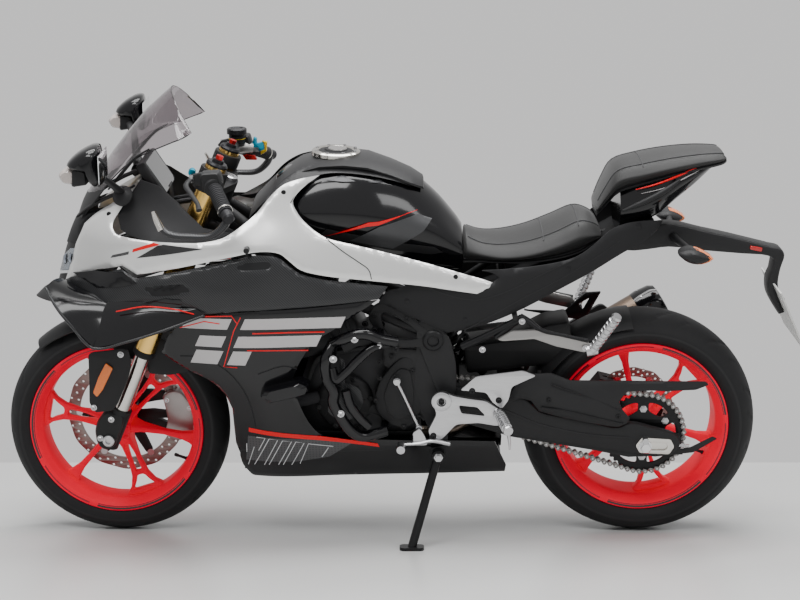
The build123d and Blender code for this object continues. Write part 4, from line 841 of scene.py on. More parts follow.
TYRE = Finish("tyre_rubber", (0.020, 0.020, 0.021), "tyre", roughness=0.62, size=2.0, depth=0.05, tone=0.35,
              shine=0.2)
TYRE_SIDE = Finish("tyre_wall", (0.022, 0.022, 0.023), "tyre", roughness=0.50, size=8.0, depth=0.02,
                   tone=0.25, shine=0.25)
# Wheel red with a painted glow: it gives off light to look brighter, though it is no lamp.
RED = Finish("red_gloss_painted_glow", (0.84, 0.001, 0.030), "wheel_red", roughness=0.40, coat=0.0, size=3.0, depth=0.01,
             tone=0.08, painted_glow=0.22, shine=0.1)
RIM_INK = Finish("rim_black", (0.012, 0.012, 0.013), "wheel_red", roughness=0.35, coat=0.4, size=2.0,
                 depth=0.005)
DISC = Finish("disc_steel", (0.30, 0.26, 0.24), "disc_steel", metallic=0.9, roughness=0.38,
              grain=Grain.BRUSHED, size=1.2, depth=0.02, tone=0.35)
BLACK_METAL = Finish("black_metal", (0.010, 0.010, 0.011), "black_metal", metallic=0.1, roughness=0.38,
                     grain=Grain.CAST, size=1.2, depth=0.03, tone=0.3, shine=0.3)
CAST_BLACK = Finish("cast_black", (0.022, 0.022, 0.023), "black_metal", metallic=0.0, roughness=0.5,
                    grain=Grain.CAST, size=1.6, depth=0.10, tone=0.45, shine=0.25)
ENGINE = Finish("engine_alloy", (0.030, 0.030, 0.032), "engine_alloy", metallic=0.2, roughness=0.46,
                grain=Grain.CAST, size=1.6, depth=0.12, tone=0.5, shine=0.3)
CHROME = Finish("chrome_steel", (0.72, 0.72, 0.73), "chrome_steel", metallic=1.0, roughness=0.14, size=2.0,
                depth=0.004, tone=0.08)
BOLT = Finish("bolt_steel", (0.55, 0.55, 0.56), "chrome_steel", metallic=1.0, roughness=0.28, size=1.0,
              depth=0.01, tone=0.2)
GOLD = Finish("gold_anodised", (0.86, 0.55, 0.16), "gold_tube", metallic=1.0, roughness=0.24,
              grain=Grain.BRUSHED, size=1.0, depth=0.006, tone=0.15)
SLIDER = Finish("slider_steel", (0.66, 0.64, 0.60), "chrome_steel", metallic=1.0, roughness=0.16,
                grain=Grain.BRUSHED, size=0.8, depth=0.004, tone=0.12)
CALIPER = Finish("caliper_grey", (0.36, 0.35, 0.34), "caliper_grey", metallic=0.75, roughness=0.36,
                 grain=Grain.CAST, size=1.0, depth=0.04, tone=0.25)
ALLOY = Finish("machined_alloy", (0.58, 0.58, 0.59), "machined_alloy", metallic=1.0, roughness=0.30,
               grain=Grain.BRUSHED, size=0.9, depth=0.01, tone=0.22)
BAR = Finish("bar_black", (0.020, 0.020, 0.022), "bar_black", metallic=0.4, roughness=0.34, size=0.8,
             depth=0.01, tone=0.25, shine=0.3)
GRIP = Finish("grip_rubber", (0.026, 0.026, 0.028), "grip_rubber", roughness=0.68, size=1.0, depth=0.05,
              tone=0.3, shine=0.2)
PLASTIC = Finish("satin_plastic", (0.022, 0.022, 0.023), "satin_black_plastic", roughness=0.48, size=0.7,
                 depth=0.03, tone=0.3, shine=0.25)
MATTE = Finish("matte_plastic", (0.020, 0.020, 0.021), "satin_black_plastic", roughness=0.60, size=0.7,
               depth=0.03, tone=0.25, shine=0.2)
CHAIN = Finish("chain_steel", (0.30, 0.29, 0.28), "chain_steel", metallic=0.9, roughness=0.36, size=1.0,
               depth=0.03, tone=0.45)
BRONZE = Finish("muffler_shell", (0.17, 0.125, 0.095), "muffler_shell", metallic=0.85, roughness=0.42,
                grain=Grain.BRUSHED, size=2.0, depth=0.02, tone=0.4)
PIPE = Finish("pipe_steel", (0.30, 0.26, 0.22), "pipe_steel", metallic=0.95, roughness=0.35, size=6.0,
              depth=0.01, tone=0.45, second=(0.22, 0.16, 0.12))
SILVER = Finish("silver_metallic", (0.80, 0.80, 0.79), "silver_paint", metallic=0.62, roughness=0.3,
                coat=0.35, grain=Grain.FLAKE, size=0.5, depth=0.0, tone=0.10, wear=0.06)
CARBON = Finish("carbon_twill", (0.045, 0.046, 0.048), "carbon_weave", metallic=0.25, roughness=0.34,
                coat=0.15, grain=Grain.TWILL, size=1.6, depth=0.012, second=(0.014, 0.014, 0.015),
                shine=0.3)
GLOSS = Finish("gloss_black", (0.004, 0.004, 0.005), "gloss_black", roughness=0.14, coat=0.3,
               grain=Grain.FLAKE, size=0.5, depth=0.0, tone=0.25, wear=0.05, shine=0.3)
COVER = Finish("satin_cover", (0.016, 0.016, 0.017), "cover_black", roughness=0.40, coat=0.0, size=0.9,
               depth=0.02, tone=0.2, shine=0.3)
GREY_BAND = Finish("satin_grey", (0.060, 0.061, 0.064), "cover_black", metallic=0.3, roughness=0.42,
                   size=0.8, depth=0.01, tone=0.15)
SCREEN = Finish("clear_screen", (0.50, 0.46, 0.48), "clear_screen", roughness=0.04, size=40.0, depth=0.0,
                tone=0.02, wear=0.2, transmission=1.0)
LENS = Finish("lamp_lens", (0.85, 0.88, 0.90), "lamp_lens", roughness=0.05, size=30.0, depth=0.0, tone=0.03,
              transmission=0.85)
REFLECTOR_BOWL = Finish("lamp_bowl", (0.30, 0.33, 0.38), "lamp_lens", metallic=1.0, roughness=0.12,
                        size=4.0, depth=0.02, tone=0.1)
AMBER = Finish("amber_reflector", (0.95, 0.22, 0.02), "lamp_lens", roughness=0.18, coat=0.5,
               grain=Grain.PERFORATED, size=1.6, depth=0.03, second=(0.75, 0.12, 0.01))
TAIL_RED = Finish("red_lens", (0.55, 0.01, 0.01), "lamp_lens", roughness=0.15, coat=0.5, size=3.0, depth=0.01)
SEAT = Finish("seat_vinyl", (0.020, 0.020, 0.020), "seat_cover", roughness=0.52, grain=Grain.LEATHER,
              size=1.6, depth=0.05, tone=0.35, sheen=0.12, shine=0.3)
STITCH = Finish("seam_thread", (0.05, 0.05, 0.052), "seat_cover", roughness=0.8, size=0.5, depth=0.02)
INK_GREY = Finish("grey_graphic", (0.50, 0.48, 0.48), "gloss_black", roughness=0.22, coat=0.2, size=0.5,
                  depth=0.0, tone=0.08)
INK_DARK = Finish("dark_graphic", (0.050, 0.050, 0.053), "gloss_black", roughness=0.3, coat=0.5,
                  grain=Grain.PERFORATED, size=4.0, depth=0.0, second=(0.024, 0.024, 0.026))
INK_WHITE = Finish("white_graphic", (0.62, 0.63, 0.64), "gloss_black", roughness=0.22, coat=0.8, size=0.5,
                   depth=0.0, tone=0.05)
INK_RED = Finish("red_graphic", (0.85, 0.006, 0.010), "gloss_black", roughness=0.22, coat=0.1, size=0.5,
                 depth=0.0, tone=0.08, shine=0.25)
RAD = Finish("radiator_core", (0.07, 0.07, 0.075), "pipe_steel", metallic=0.6, roughness=0.5,
             grain=Grain.MESH, size=3.0, depth=0.6, second=(0.012, 0.012, 0.012))
MIRROR = Finish("mirror_glass", (0.85, 0.86, 0.87), "chrome_steel", metallic=1.0, roughness=0.04, size=50.0,
                depth=0.0, tone=0.02)
CYAN = Finish("cyan_anodised", (0.02, 0.42, 0.62), "machined_alloy", metallic=0.8, roughness=0.28, size=1.0,
              depth=0.0)
RED_ALLOY = Finish("red_anodised", (0.60, 0.02, 0.02), "machined_alloy", metallic=0.8, roughness=0.28,
                   size=1.0, depth=0.0)
YELLOW = Finish("yellow_anodised", (0.85, 0.55, 0.03), "machined_alloy", metallic=0.8, roughness=0.3,
                size=1.0, depth=0.0)
DIAL = Finish("dash_glass", (0.012, 0.014, 0.018), "satin_black_plastic", roughness=0.08, coat=0.8,
              size=20.0, depth=0.0, tone=0.2)
PLATE = Finish("plate_blank", (0.62, 0.62, 0.60), "satin_black_plastic", roughness=0.4, size=3.0,
               depth=0.01, tone=0.06)
FLOOR = Finish("studio_floor", (0.62, 0.62, 0.61), "tyre", roughness=0.32, size=30.0, depth=0.0, tone=0.015)
SIGNAL = Finish("signal_lens", (0.52, 0.46, 0.43), "lamp_lens", roughness=0.15, coat=0.6, size=6.0,
                depth=0.01)


HUB_BORE = 12.0
GROOVES = 11
VALVE_ANGLE = math.radians(-28)


@dataclass
class Wheel:
    """A cast wheel with its tyre.

    Attributes:
        name: Front or rear.
        mount: The body that it rides on.
        centre: Axle point.
        radius: Outer radius of the tyre.
        width: Width of the tyre.
        crown: Height of the tread's arc.
        seat: Width of the rim's seat.
        hub: Radius and width of the hub.
        first: Angle of the first wide spoke, in degrees.
        depth: Depth of a spoke.
        bead: Radius of the rim where the tyre sits.
    """

    name: str
    mount: Mount
    centre: Point
    radius: float
    width: float
    crown: float
    seat: float
    hub: Flat
    first: float
    depth: float
    bead: float = 215.9

    def build(self, shop: Workshop) -> None:
        """Builds tyre, rim, spokes and markings."""
        self.tyre(shop)
        self.rim(shop)
        self.spokes(shop)
        self.inks(shop)

    def crown_at(self, y: float) -> float:
        """Returns the tread's radius at a distance from the middle."""
        bow = ((self.width / 2) ** 2 + self.crown**2) / (2 * self.crown)
        return self.radius - bow + math.sqrt(max(bow**2 - y**2, 0.0))

    def tyre(self, shop: Workshop) -> None:
        """Tread with slanted grooves, and sidewalls with fine rings."""
        sides, rows = 288, 36
        half = self.width / 2
        sections: list[list[Point]] = []
        for turn in range(sides):
            angle = 2 * math.pi * turn / sides
            ring: list[Point] = []
            for row in range(rows + 1):
                y = half * (2 * row / rows - 1)
                radius = self.crown_at(y) - self.groove(angle, y)
                ring.append((radius * math.cos(angle), y, radius * math.sin(angle)))
            wall = [(half - 1.0, self.radius - self.crown - 6), (half - 3.0, self.radius - self.crown - 14),
                    (half - 5.5, self.radius - self.crown - 20), (self.seat / 2 + 3.5, self.bead + 17.5),
                    (self.seat / 2 + 1.2, self.bead + 15.0), (self.seat / 2 - 1, self.bead + 13.5)]
            for y, radius in wall:
                ring.append((radius * math.cos(angle), y, radius * math.sin(angle)))
            for y, radius in reversed(wall):
                ring.append((radius * math.cos(angle), -y, radius * math.sin(angle)))
            sections.append(ring)
        sections.append(sections[0])
        shape = loft(sections, caps=False).moved(*self.centre)
        tyre = shop.piece(f"{self.name}_tyre_dressed", shape, TYRE, 50.0, self.mount,
                          stands_for=(f"{self.name}_tyre",))
        tyre.data.materials.append(TYRE_SIDE.material())
        for face in tyre.data.polygons:
            if abs(face.center.y) > (half - 0.8) * MM:
                face.material_index = 1

    def groove(self, angle: float, y: float) -> float:
        """Returns the depth of the tread's grooves at a place on the tyre."""
        reach = abs(y) / (self.width / 2)
        phase = angle * GROOVES / (2 * math.pi) + (0.25 if y >= 0 else 0.75)
        lean = phase - reach * 0.55
        near = abs((lean + 0.5) % 1.0 - 0.5) * 2 * math.pi / GROOVES * self.radius
        depth = 0.0
        if 0.12 < reach < 0.80 and near < 5.0:
            depth = 2.6
        late = abs((lean + 0.95) % 1.0 - 0.5) * 2 * math.pi / GROOVES * self.radius
        if 0.42 < reach < 0.88 and late < 3.6:
            depth = max(depth, 2.2)
        return depth

    def rim(self, shop: Workshop) -> None:
        """Rim turned round the axle, with stepped flanges and a rounded well."""
        half = self.seat / 2
        bead = self.bead
        outer = [(half + 5, bead + 13), (half + 5.5, bead + 9), (half + 4, bead + 4), (half + 1, bead),
                 (half - 2, bead - 3.5), (half - 9, bead - 7), (half - 14, bead - 12.5),
                 (half - 18, bead - 15), (half * 0.45, bead - 16.5)]
        profile = [(-y, r) for y, r in outer] + [(y, r) for y, r in reversed(outer)]
        profile += [(half + 3.5, bead + 14), (half, bead + 14), (half, bead), (-half, bead),
                    (-half, bead + 14), (-half - 3.5, bead + 14)]
        shape = lathe(profile, self.centre, ACROSS, 128, closed=True)
        hub_radius, hub_width = self.hub
        hub_profile = [(-hub_width / 2, HUB_BORE), (-hub_width / 2, hub_radius - 8),
                       (-hub_width / 2 + 4, hub_radius - 2), (-hub_width / 2 + 14, hub_radius),
                       (-20, hub_radius - 3), (0, hub_radius - 4), (20, hub_radius - 3),
                       (hub_width / 2 - 14, hub_radius), (hub_width / 2 - 4, hub_radius - 2),
                       (hub_width / 2, hub_radius - 8), (hub_width / 2, HUB_BORE)]
        shape = shape + lathe(hub_profile, self.centre, ACROSS, 64, closed=True)
        # Rim and hub in the wheel red, which carries a painted glow.
        shop.piece(f"{self.name}_rim", shape, RED, 40.0, self.mount, stands_for=(f"{self.name}_wheel",))

    def spoke_shape(self, halves: Sequence[Flat], slots: Sequence[Sequence[Flat]], angle: float) -> Shape:
        """Draws one spoke with its slots and turns it into place.

        Args:
            halves: Radius and half width of the spoke's outline.
            slots: Radius and half width of each opening.
            angle: Direction of the spoke, in degrees.

        Returns:
            The spoke.
        """
        loops = [list(halves) + [(r, -w) for r, w in reversed(halves)]]
        for slot in slots:
            loops.append(rounded(list(slot) + [(r, -w) for r, w in reversed(slot)], 8.0, 3))
        shape = plate(loops, 0.0, self.depth, 5.0)
        deep = self.depth / 2

        def sculpt(x: float, y: float, z: float) -> Point:
            """Thickens the spoke at the hub and slims its middle."""
            near = max(0.0, 1.0 - (x - 30) / 60.0)
            slim = 1.0 - 0.28 * math.sin(math.pi * min(1.0, max(0.0, (x - 40) / (self.bead - 60))))
            return x, y * slim * (1 + near * (self.hub[1] * 0.36 / deep - 1)), z

        shape = shape.bent(sculpt)
        return shape.turned(-angle, ACROSS, (0, 0, 0)).moved(*self.centre)

    def spokes(self, shop: Workshop) -> None:
        """Three wide slotted spokes with flared feet, and three thin ones."""
        wide = [(26, 19), (60, 16.5), (110, 17.5), (150, 23), (176, 34), (192, 50), (205, 66)]
        slots = [
            [(58, 5.5), (100, 7.5), (140, 9.5)], [(152, 10), (172, 20), (188, 33)],
        ]
        thin = [(26, 13), (60, 8.5), (120, 7.0), (165, 9), (190, 15), (204, 24)]
        shapes = []
        for turn in range(3):
            angle = self.first + 120 * turn
            shapes.append(self.spoke_shape(wide, slots, angle))
            shapes.append(self.spoke_shape(thin, [], angle + 60))
        for turn in range(6):
            x, z = polar(math.radians(self.first + 30 + 60 * turn), self.hub[0] - 3, self.centre[::2])
            for side in (-1, 1):
                shapes.append(lathe([(-4, 6.5), (3, 6.5), (5, 4.5)], (x, side * (self.hub[1] / 2 - 2), z),
                                    (0, side, 0), 16))
        # Spokes in the wheel red, which carries a painted glow.
        shop.piece(f"{self.name}_spokes", combined(shapes), RED, 38.0, self.mount)
        x, z = polar(VALVE_ANGLE, self.bead - 12, self.centre[::2])
        valve = lathe([(0, 5.5), (6, 5.5), (8, 4), (28, 3.6), (30, 4.6), (38, 4.6), (40, 3)], (x, -8.0, z),
                      (-math.cos(VALVE_ANGLE), -0.35, -math.sin(VALVE_ANGLE)), 14)
        shop.piece(f"{self.name}_valve", valve, GRIP, 30.0, self.mount)

    def inks(self, shop: Workshop) -> None:
        """Dark arcs and pinstripes round both rim flanges."""
        half = self.seat / 2
        bands = [(self.first - 34 + turn, 68, self.bead + 2.2, self.bead + 9.5) for turn in (0, 120, 240)]
        bands += [(self.first + 40 + turn, 40, self.bead + 5.2, self.bead + 7.2) for turn in (0, 120, 240)]
        shapes = []
        for start, sweep, low, high in bands:
            steps = max(6, int(sweep / 3))
            sections = []
            for k in range(steps + 1):
                angle = math.radians(start + sweep * k / steps)
                corners = ((low, 0.0), (high, 0.0), (high, 0.5), (low, 0.5))
                sections.append([(radius * math.cos(angle), -(half + (self.ink_y(radius) - sunk)),
                                  radius * math.sin(angle)) for radius, sunk in corners])
            shapes.append(loft(sections).moved(*self.centre))
        whole = combined(shapes)
        shop.piece(f"{self.name}_rim_arcs", whole + whole.bent(lambda x, y, z: (x, -y, z)), RIM_INK, 60.0,
                   self.mount)

    def ink_y(self, radius: float) -> float:
        """Returns how far the rim's flange stands out at a radius, for its markings."""
        rise = radius - self.bead
        if rise < 4:
            return 1.0 + 3.0 * rise / 4.0 + 0.5
        return 4.0 + 1.5 * (rise - 4) / 5.0 + 0.5


@dataclass
class BrakeDisc:
    """A drilled disc on its carrier.

    Attributes:
        name: CAD node that it stands for.
        mount: The body that it rides on.
        centre: Axle point.
        place: y of the disc's middle.
        radius: Outer radius.
        band: Width of the friction band.
        hub: y of the hub's end.
        carrier: Finish of the carrier.
        arms: Arms of the carrier.
        waves: Waves of the outer edge.
    """

    name: str
    mount: Mount
    centre: Point
    place: float
    radius: float
    band: float
    hub: float
    carrier: Finish = BLACK_METAL
    arms: int = 6
    waves: int = 12

    def build(self, shop: Workshop) -> None:
        """Builds the band with its holes, the carrier, the bobbins and the spacer."""
        inner = self.radius - self.band
        rim = [polar(angle, self.radius - 1.5 + 1.5 * math.cos(self.waves * angle)) for angle in shares(144)]
        loops = [rim, ring_of((0, 0), inner, 72)]
        rows = ((0.22, 24, 0.0), (0.52, 24, 0.5), (0.80, 24, 0.0))
        for share, count, shift in rows:
            reach = inner + self.band * share
            loops += [ring_of(polar(angle, reach), 3.4, 10) for angle in shares(count, shift)]
        band = plate(loops, self.place, 4.5, 0.4).moved(self.centre[0], 0, self.centre[2])
        shop.piece(f"{self.name}_band", band, DISC, 30.0, self.mount, stands_for=(self.name,))
        arm = ((-0.32, 34.0), (-0.16, inner * 0.62), (-0.085, inner - 2), (0.085, inner - 2),
               (0.20, inner * 0.62), (0.34, 34.0))
        outline = [polar(base + turn, reach) for base in shares(self.arms) for turn, reach in arm]
        carrier = plate([rounded(outline, 6, 3), ring_of((0, 0), 17, 32)], self.place, 5.4, 1.0)
        shapes = [carrier.moved(self.centre[0], 0, self.centre[2])]
        side = 1 if self.place > 0 else -1
        shapes.append(lathe([(0, 18), (0, 33), (abs(self.place) - self.hub, 33),
                             (abs(self.place) - self.hub, 18)],
                            (self.centre[0], side * self.hub, self.centre[2]), (0, side, 0), 40,
                            closed=True))
        shop.piece(f"{self.name}_carrier", combined(shapes), self.carrier, 32.0, self.mount)
        bobbins = []
        middle = self.centre[::2]
        for angle in shares(self.arms):
            x, z = polar(angle, inner + 1, middle)
            bobbins.append(lathe([(-3.4, 3.5), (-3.4, 8.5), (-2.6, 9.5), (2.6, 9.5), (3.4, 8.5),
                                  (3.4, 3.5)], (x, self.place, z), ACROSS, 18))
        for angle in shares(6, 0.5):
            x, z = polar(angle, 26, middle)
            bobbins.append(lathe([(0, 6), (2, 6), (3, 4.5)], (x, self.place + side * 2.5, z), (0, side, 0),
                                 6))
        shop.piece(f"{self.name}_bobbins", combined(bobbins), BOLT, 30.0, self.mount)


@dataclass
class FinalDrive:
    """Sprocket and chain, link by link.

    Attributes:
        rear: Middle of the rear sprocket.
        front: Middle of the front sprocket.
        teeth: Teeth of the rear sprocket.
        small_teeth: Teeth of the front sprocket.
        pitch: Pitch of the chain.
        links: Links in the chain.
        windows: Windows in the rear sprocket, and bolts between them.
    """

    rear: Point = (REAR_AXLE[0], -96.0, REAR_AXLE[2])
    front: Point = (770.0, -96.0, 432.0)
    teeth: int = 42
    small_teeth: int = 15
    pitch: float = 15.875
    links: int = 106
    windows: int = 6

    def build(self, shop: Workshop) -> None:
        """Builds the sprocket, its bolts and the chain."""
        radius = self.pitch / (2 * math.sin(math.pi / self.teeth))
        self.sprocket(shop, radius)
        self.chain(shop, radius)

    def sprocket(self, shop: Workshop, pitch_radius: float) -> None:
        """Toothed ring with six windows, on its carrier."""
        tip, root = pitch_radius - 1.0, pitch_radius - 6.2
        outline = []
        for tooth in range(self.teeth):
            for share, reach in ((0.0, root), (0.16, root + 0.9), (0.36, tip), (0.50, tip + 0.4),
                                 (0.64, tip), (0.84, root + 0.9)):
                angle = 2 * math.pi * (tooth + share) / self.teeth
                outline.append(polar(angle, reach))
        window = ((-0.36, 84), (-0.18, 86), (0.0, 86.5), (0.18, 86), (0.36, 84), (0.30, 62), (0.12, 58),
                  (-0.12, 58), (-0.30, 62))
        loops = [outline, ring_of((0, 0), 24, 36)]
        for middle in shares(self.windows):
            loops.append(rounded([polar(middle + turn, reach) for turn, reach in window], 6, 3))
        disc = plate(loops, self.rear[1], 6.0, 0.8).moved(self.rear[0], 0, self.rear[2])
        carrier = lathe([(0, 25), (0, 52), (6, 54), (14, 46), (30, 42), (30, 25)],
                        (self.rear[0], self.rear[1] + 3, self.rear[2]), ACROSS, 48, closed=True)
        shop.piece("sprocket_dressed", disc + carrier, BLACK_METAL, 32.0, Mount.REAR_WHEEL,
                   stands_for=("sprocket",))
        bolts = []
        for angle in shares(self.windows, 0.5):
            x, z = polar(angle, 66, self.rear[::2])
            place = (x, self.rear[1] - 3, z)
            bolts.append(lathe([(0, 10), (1.2, 10), (1.3, 7.5), (4.6, 7.5), (5.2, 6.5)], place, LEFT, 6))
            bolts.append(lathe([(0, 4), (6.4, 4), (7.0, 3)], place, LEFT, 12))
        shop.piece("sprocket_bolts", combined(bolts), BOLT, 30.0, Mount.REAR_WHEEL)

    def chain(self, shop: Workshop, large: float) -> None:
        """Lays the chain's plates and rollers round both sprockets."""
        small = self.pitch / (2 * math.sin(math.pi / self.small_teeth))
        run = Vector((self.rear[0] - self.front[0], self.rear[2] - self.front[2]))
        distance = run.length
        slope = math.atan2(run.y, run.x)
        wrap = math.asin((large - small) / distance)
        straight = distance * math.cos(wrap)
        arcs = large * (math.pi + 2 * wrap), small * (math.pi - 2 * wrap)
        total = 2 * straight + sum(arcs)
        up = math.pi / 2 + wrap

        def spot(along: float) -> Flat:
            """Returns the point at a distance along the chain."""
            along %= total
            if along < straight:
                return polar(wrap, along, polar(up, small))
            along -= straight
            if along < arcs[0]:
                return polar(up - along / large, large, (distance, 0.0))
            along -= arcs[0]
            if along < straight:
                return polar(math.pi - wrap, along, polar(-up, large, (distance, 0.0)))
            return polar(-up - (along - straight) / small, small)

        plates, rollers = [], []
        step = total / self.links
        for link in range(self.links):
            first, second = Vector(spot(link * step)), Vector(spot((link + 1) * step))
            middle = (first + second) / 2
            heading = math.atan2(second.y - first.y, second.x - first.x)
            reach = step / 2
            outline = []
            for end in (-1, 1):
                for k in range(7):
                    angle = math.pi / 2 + end * -math.pi / 2 + math.pi * (k - 3) / 6 - math.pi / 2
                    outline.append(polar(angle, 7.2, (end * reach, 0.0)))
            waist = [(x, z) if abs(x) > reach * 0.6 else (x, z * 0.75) for x, z in outline]
            out = 6.6 if link % 2 else 4.6
            for side in (-1, 1):
                piece = plate([waist], side * out, 1.8, 0.3)
                piece = piece.turned(-math.degrees(heading), ACROSS, (0, 0, 0))
                plates.append(piece.moved(middle.x, 0, middle.y))
            rollers.append(lathe([(-7.6, 2.5), (-7.6, 2.6), (-3.6, 2.7), (-3.5, 5.0), (3.5, 5.0),
                                  (3.6, 2.7), (7.6, 2.6), (7.6, 2.5)], (first.x, 0, first.y), ACROSS, 10))
        place = Matrix.Translation(Vector(self.front)) @ Matrix.Rotation(-slope, 4, "Y")
        whole = combined(plates).under(place)
        shop.piece("chain_plates", whole, CHAIN, 30.0, stands_for=("chain",))
        shop.piece("chain_rollers", combined(rollers).under(place), BOLT, 30.0)


def ribbon(points: Sequence[Flat], width: float) -> list[Flat]:
    """Widens a line into a narrow outline.

    Args:
        points: The line, as (x, z).
        width: Width of the ribbon.

    Returns:
        The outline.
    """
    upper, lower = [], []
    for index, point in enumerate(points):
        here = Vector(point)
        ahead = Vector(points[min(index + 1, len(points) - 1)])
        behind = Vector(points[max(index - 1, 0)])
        run = (ahead - behind).normalized()
        side = Vector((-run.y, run.x)) * width / 2
        upper.append(tuple(here + side))
        lower.append(tuple(here - side))
    return upper + lower[::-1]


EYE = Vector((747.2, -3804.4, 1912.0))


def sighted(outline: Sequence[Flat], plane: float, surface: Surface) -> list[Flat]:
    """Carries an outline from the plane that it was read on to a surface, along the lines of sight.

    Args:
        outline: The outline, as (x, z).
        plane: Height y of the plane that it was read on.
        surface: The surface.

    Returns:
        The outline on the surface.
    """
    result = []
    for x, z in outline:
        spot = (x, z)
        for _ in range(4):
            share = (surface(*spot) - EYE.y) / (plane - EYE.y)
            spot = (EYE.x + (x - EYE.x) * share, EYE.z + (z - EYE.z) * share)
        result.append(spot)
    return result


def soft_line(points: Sequence[Flat], steps: int = 5, closed: bool = False) -> list[Flat]:
    """Smooths a stretch of an outline, or a whole closed one."""
    return [(v.x, v.y) for v in eased([(x, z, 0.0) for x, z in points], steps, closed)]


def pod(outline: Sequence[Flat], stations: Sequence[tuple[float, float]], centre: Flat) -> Shape:
    """Lofts an outline across the machine, scaled about a point at each station.

    Args:
        outline: The widest section, as (x, z).
        stations: y and scale of each section.
        centre: Point that the sections shrink to.

    Returns:
        The lofted body.
    """
    return loft([[(centre[0] + (x - centre[0]) * scale, y, centre[1] + (z - centre[1]) * scale)
                  for x, z in outline] for y, scale in stations])


UPPER_SIDE = Surface((
    (-110, 700, -98), (-75, 775, -104), (-75, 850, -100), (-60, 896, -98), (0, 700, -185), (0, 780, -168),
    (0, 860, -156), (38, 899, -150), (77, 972, -118), (96, 990, -118), (60, 868, -186), (100, 800, -208),
    (100, 700, -222), (150, 855, -214), (150, 770, -226), (259, 851, -226), (260, 790, -240),
    (250, 700, -238), (346, 887, -206), (400, 830, -230), (400, 700, -242), (394, 928, -172),
    (430, 972, -152), (461, 999, -142), (547, 1022, -120), (482, 959, -152), (450, 930, -168),
    (524, 891, -178), (420, 900, -184), (560, 864, -190), (560, 780, -216), (560, 700, -232),
    (690, 832, -182), (690, 750, -202), (690, 700, -214), (821, 796, -168), (821, 742, -180),
    (940, 755, -158), (984, 746, -154), (1000, 700, -160),
))
CREASED_SIDE = Surface((
    (-110, 700, -104), (-92, 735, -120), (0, 700, -196), (-20, 770, -150), (60, 780, -204),
    (100, 700, -226), (150, 735, -245), (97, 771, -210), (215, 791, -224), (331, 816, -222),
    (300, 735, -246), (253, 708, -240), (203, 667, -232), (399, 829, -222), (447, 823, -222),
    (430, 745, -238), (497, 692, -232), (498, 783, -220), (625, 760, -206), (600, 720, -222),
    (689, 713, -212), (710, 745, -200),
))
LOWER_SIDE = Surface((
    (90, 600, -196), (152, 574, -204), (160, 660, -222), (224, 522, -206), (285, 486, -206),
    (250, 680, -238), (330, 560, -234), (324, 425, -190), (330, 300, -148), (340, 222, -112),
    (363, 205, -104), (400, 640, -242), (400, 470, -222), (400, 360, -188), (400, 300, -164),
    (400, 250, -140), (400, 205, -112), (500, 690, -236), (520, 596, -230), (480, 500, -218),
    (490, 400, -200), (540, 355, -182), (560, 300, -160), (560, 250, -138), (560, 205, -110),
    (690, 710, -214), (640, 640, -222), (700, 320, -160), (800, 300, -150), (800, 215, -106),
    (1010, 237, -108), (985, 300, -140), (1012, 218, -98), (900, 260, -122),
))
TAIL_SIDE = Surface((
    (689, 682, -172), (737, 716, -172), (799, 742, -172), (859, 602, -166), (902, 608, -164),
    (931, 719, -162), (984, 746, -158), (945, 765, -150), (1053, 666, -160), (1053, 770, -158),
    (1130, 720, -160), (1179, 799, -150), (1215, 760, -146), (1244, 830, -138), (1298, 815, -128),
    (1300, 880, -122), (1391, 892, -104), (1391, 850, -100),
))


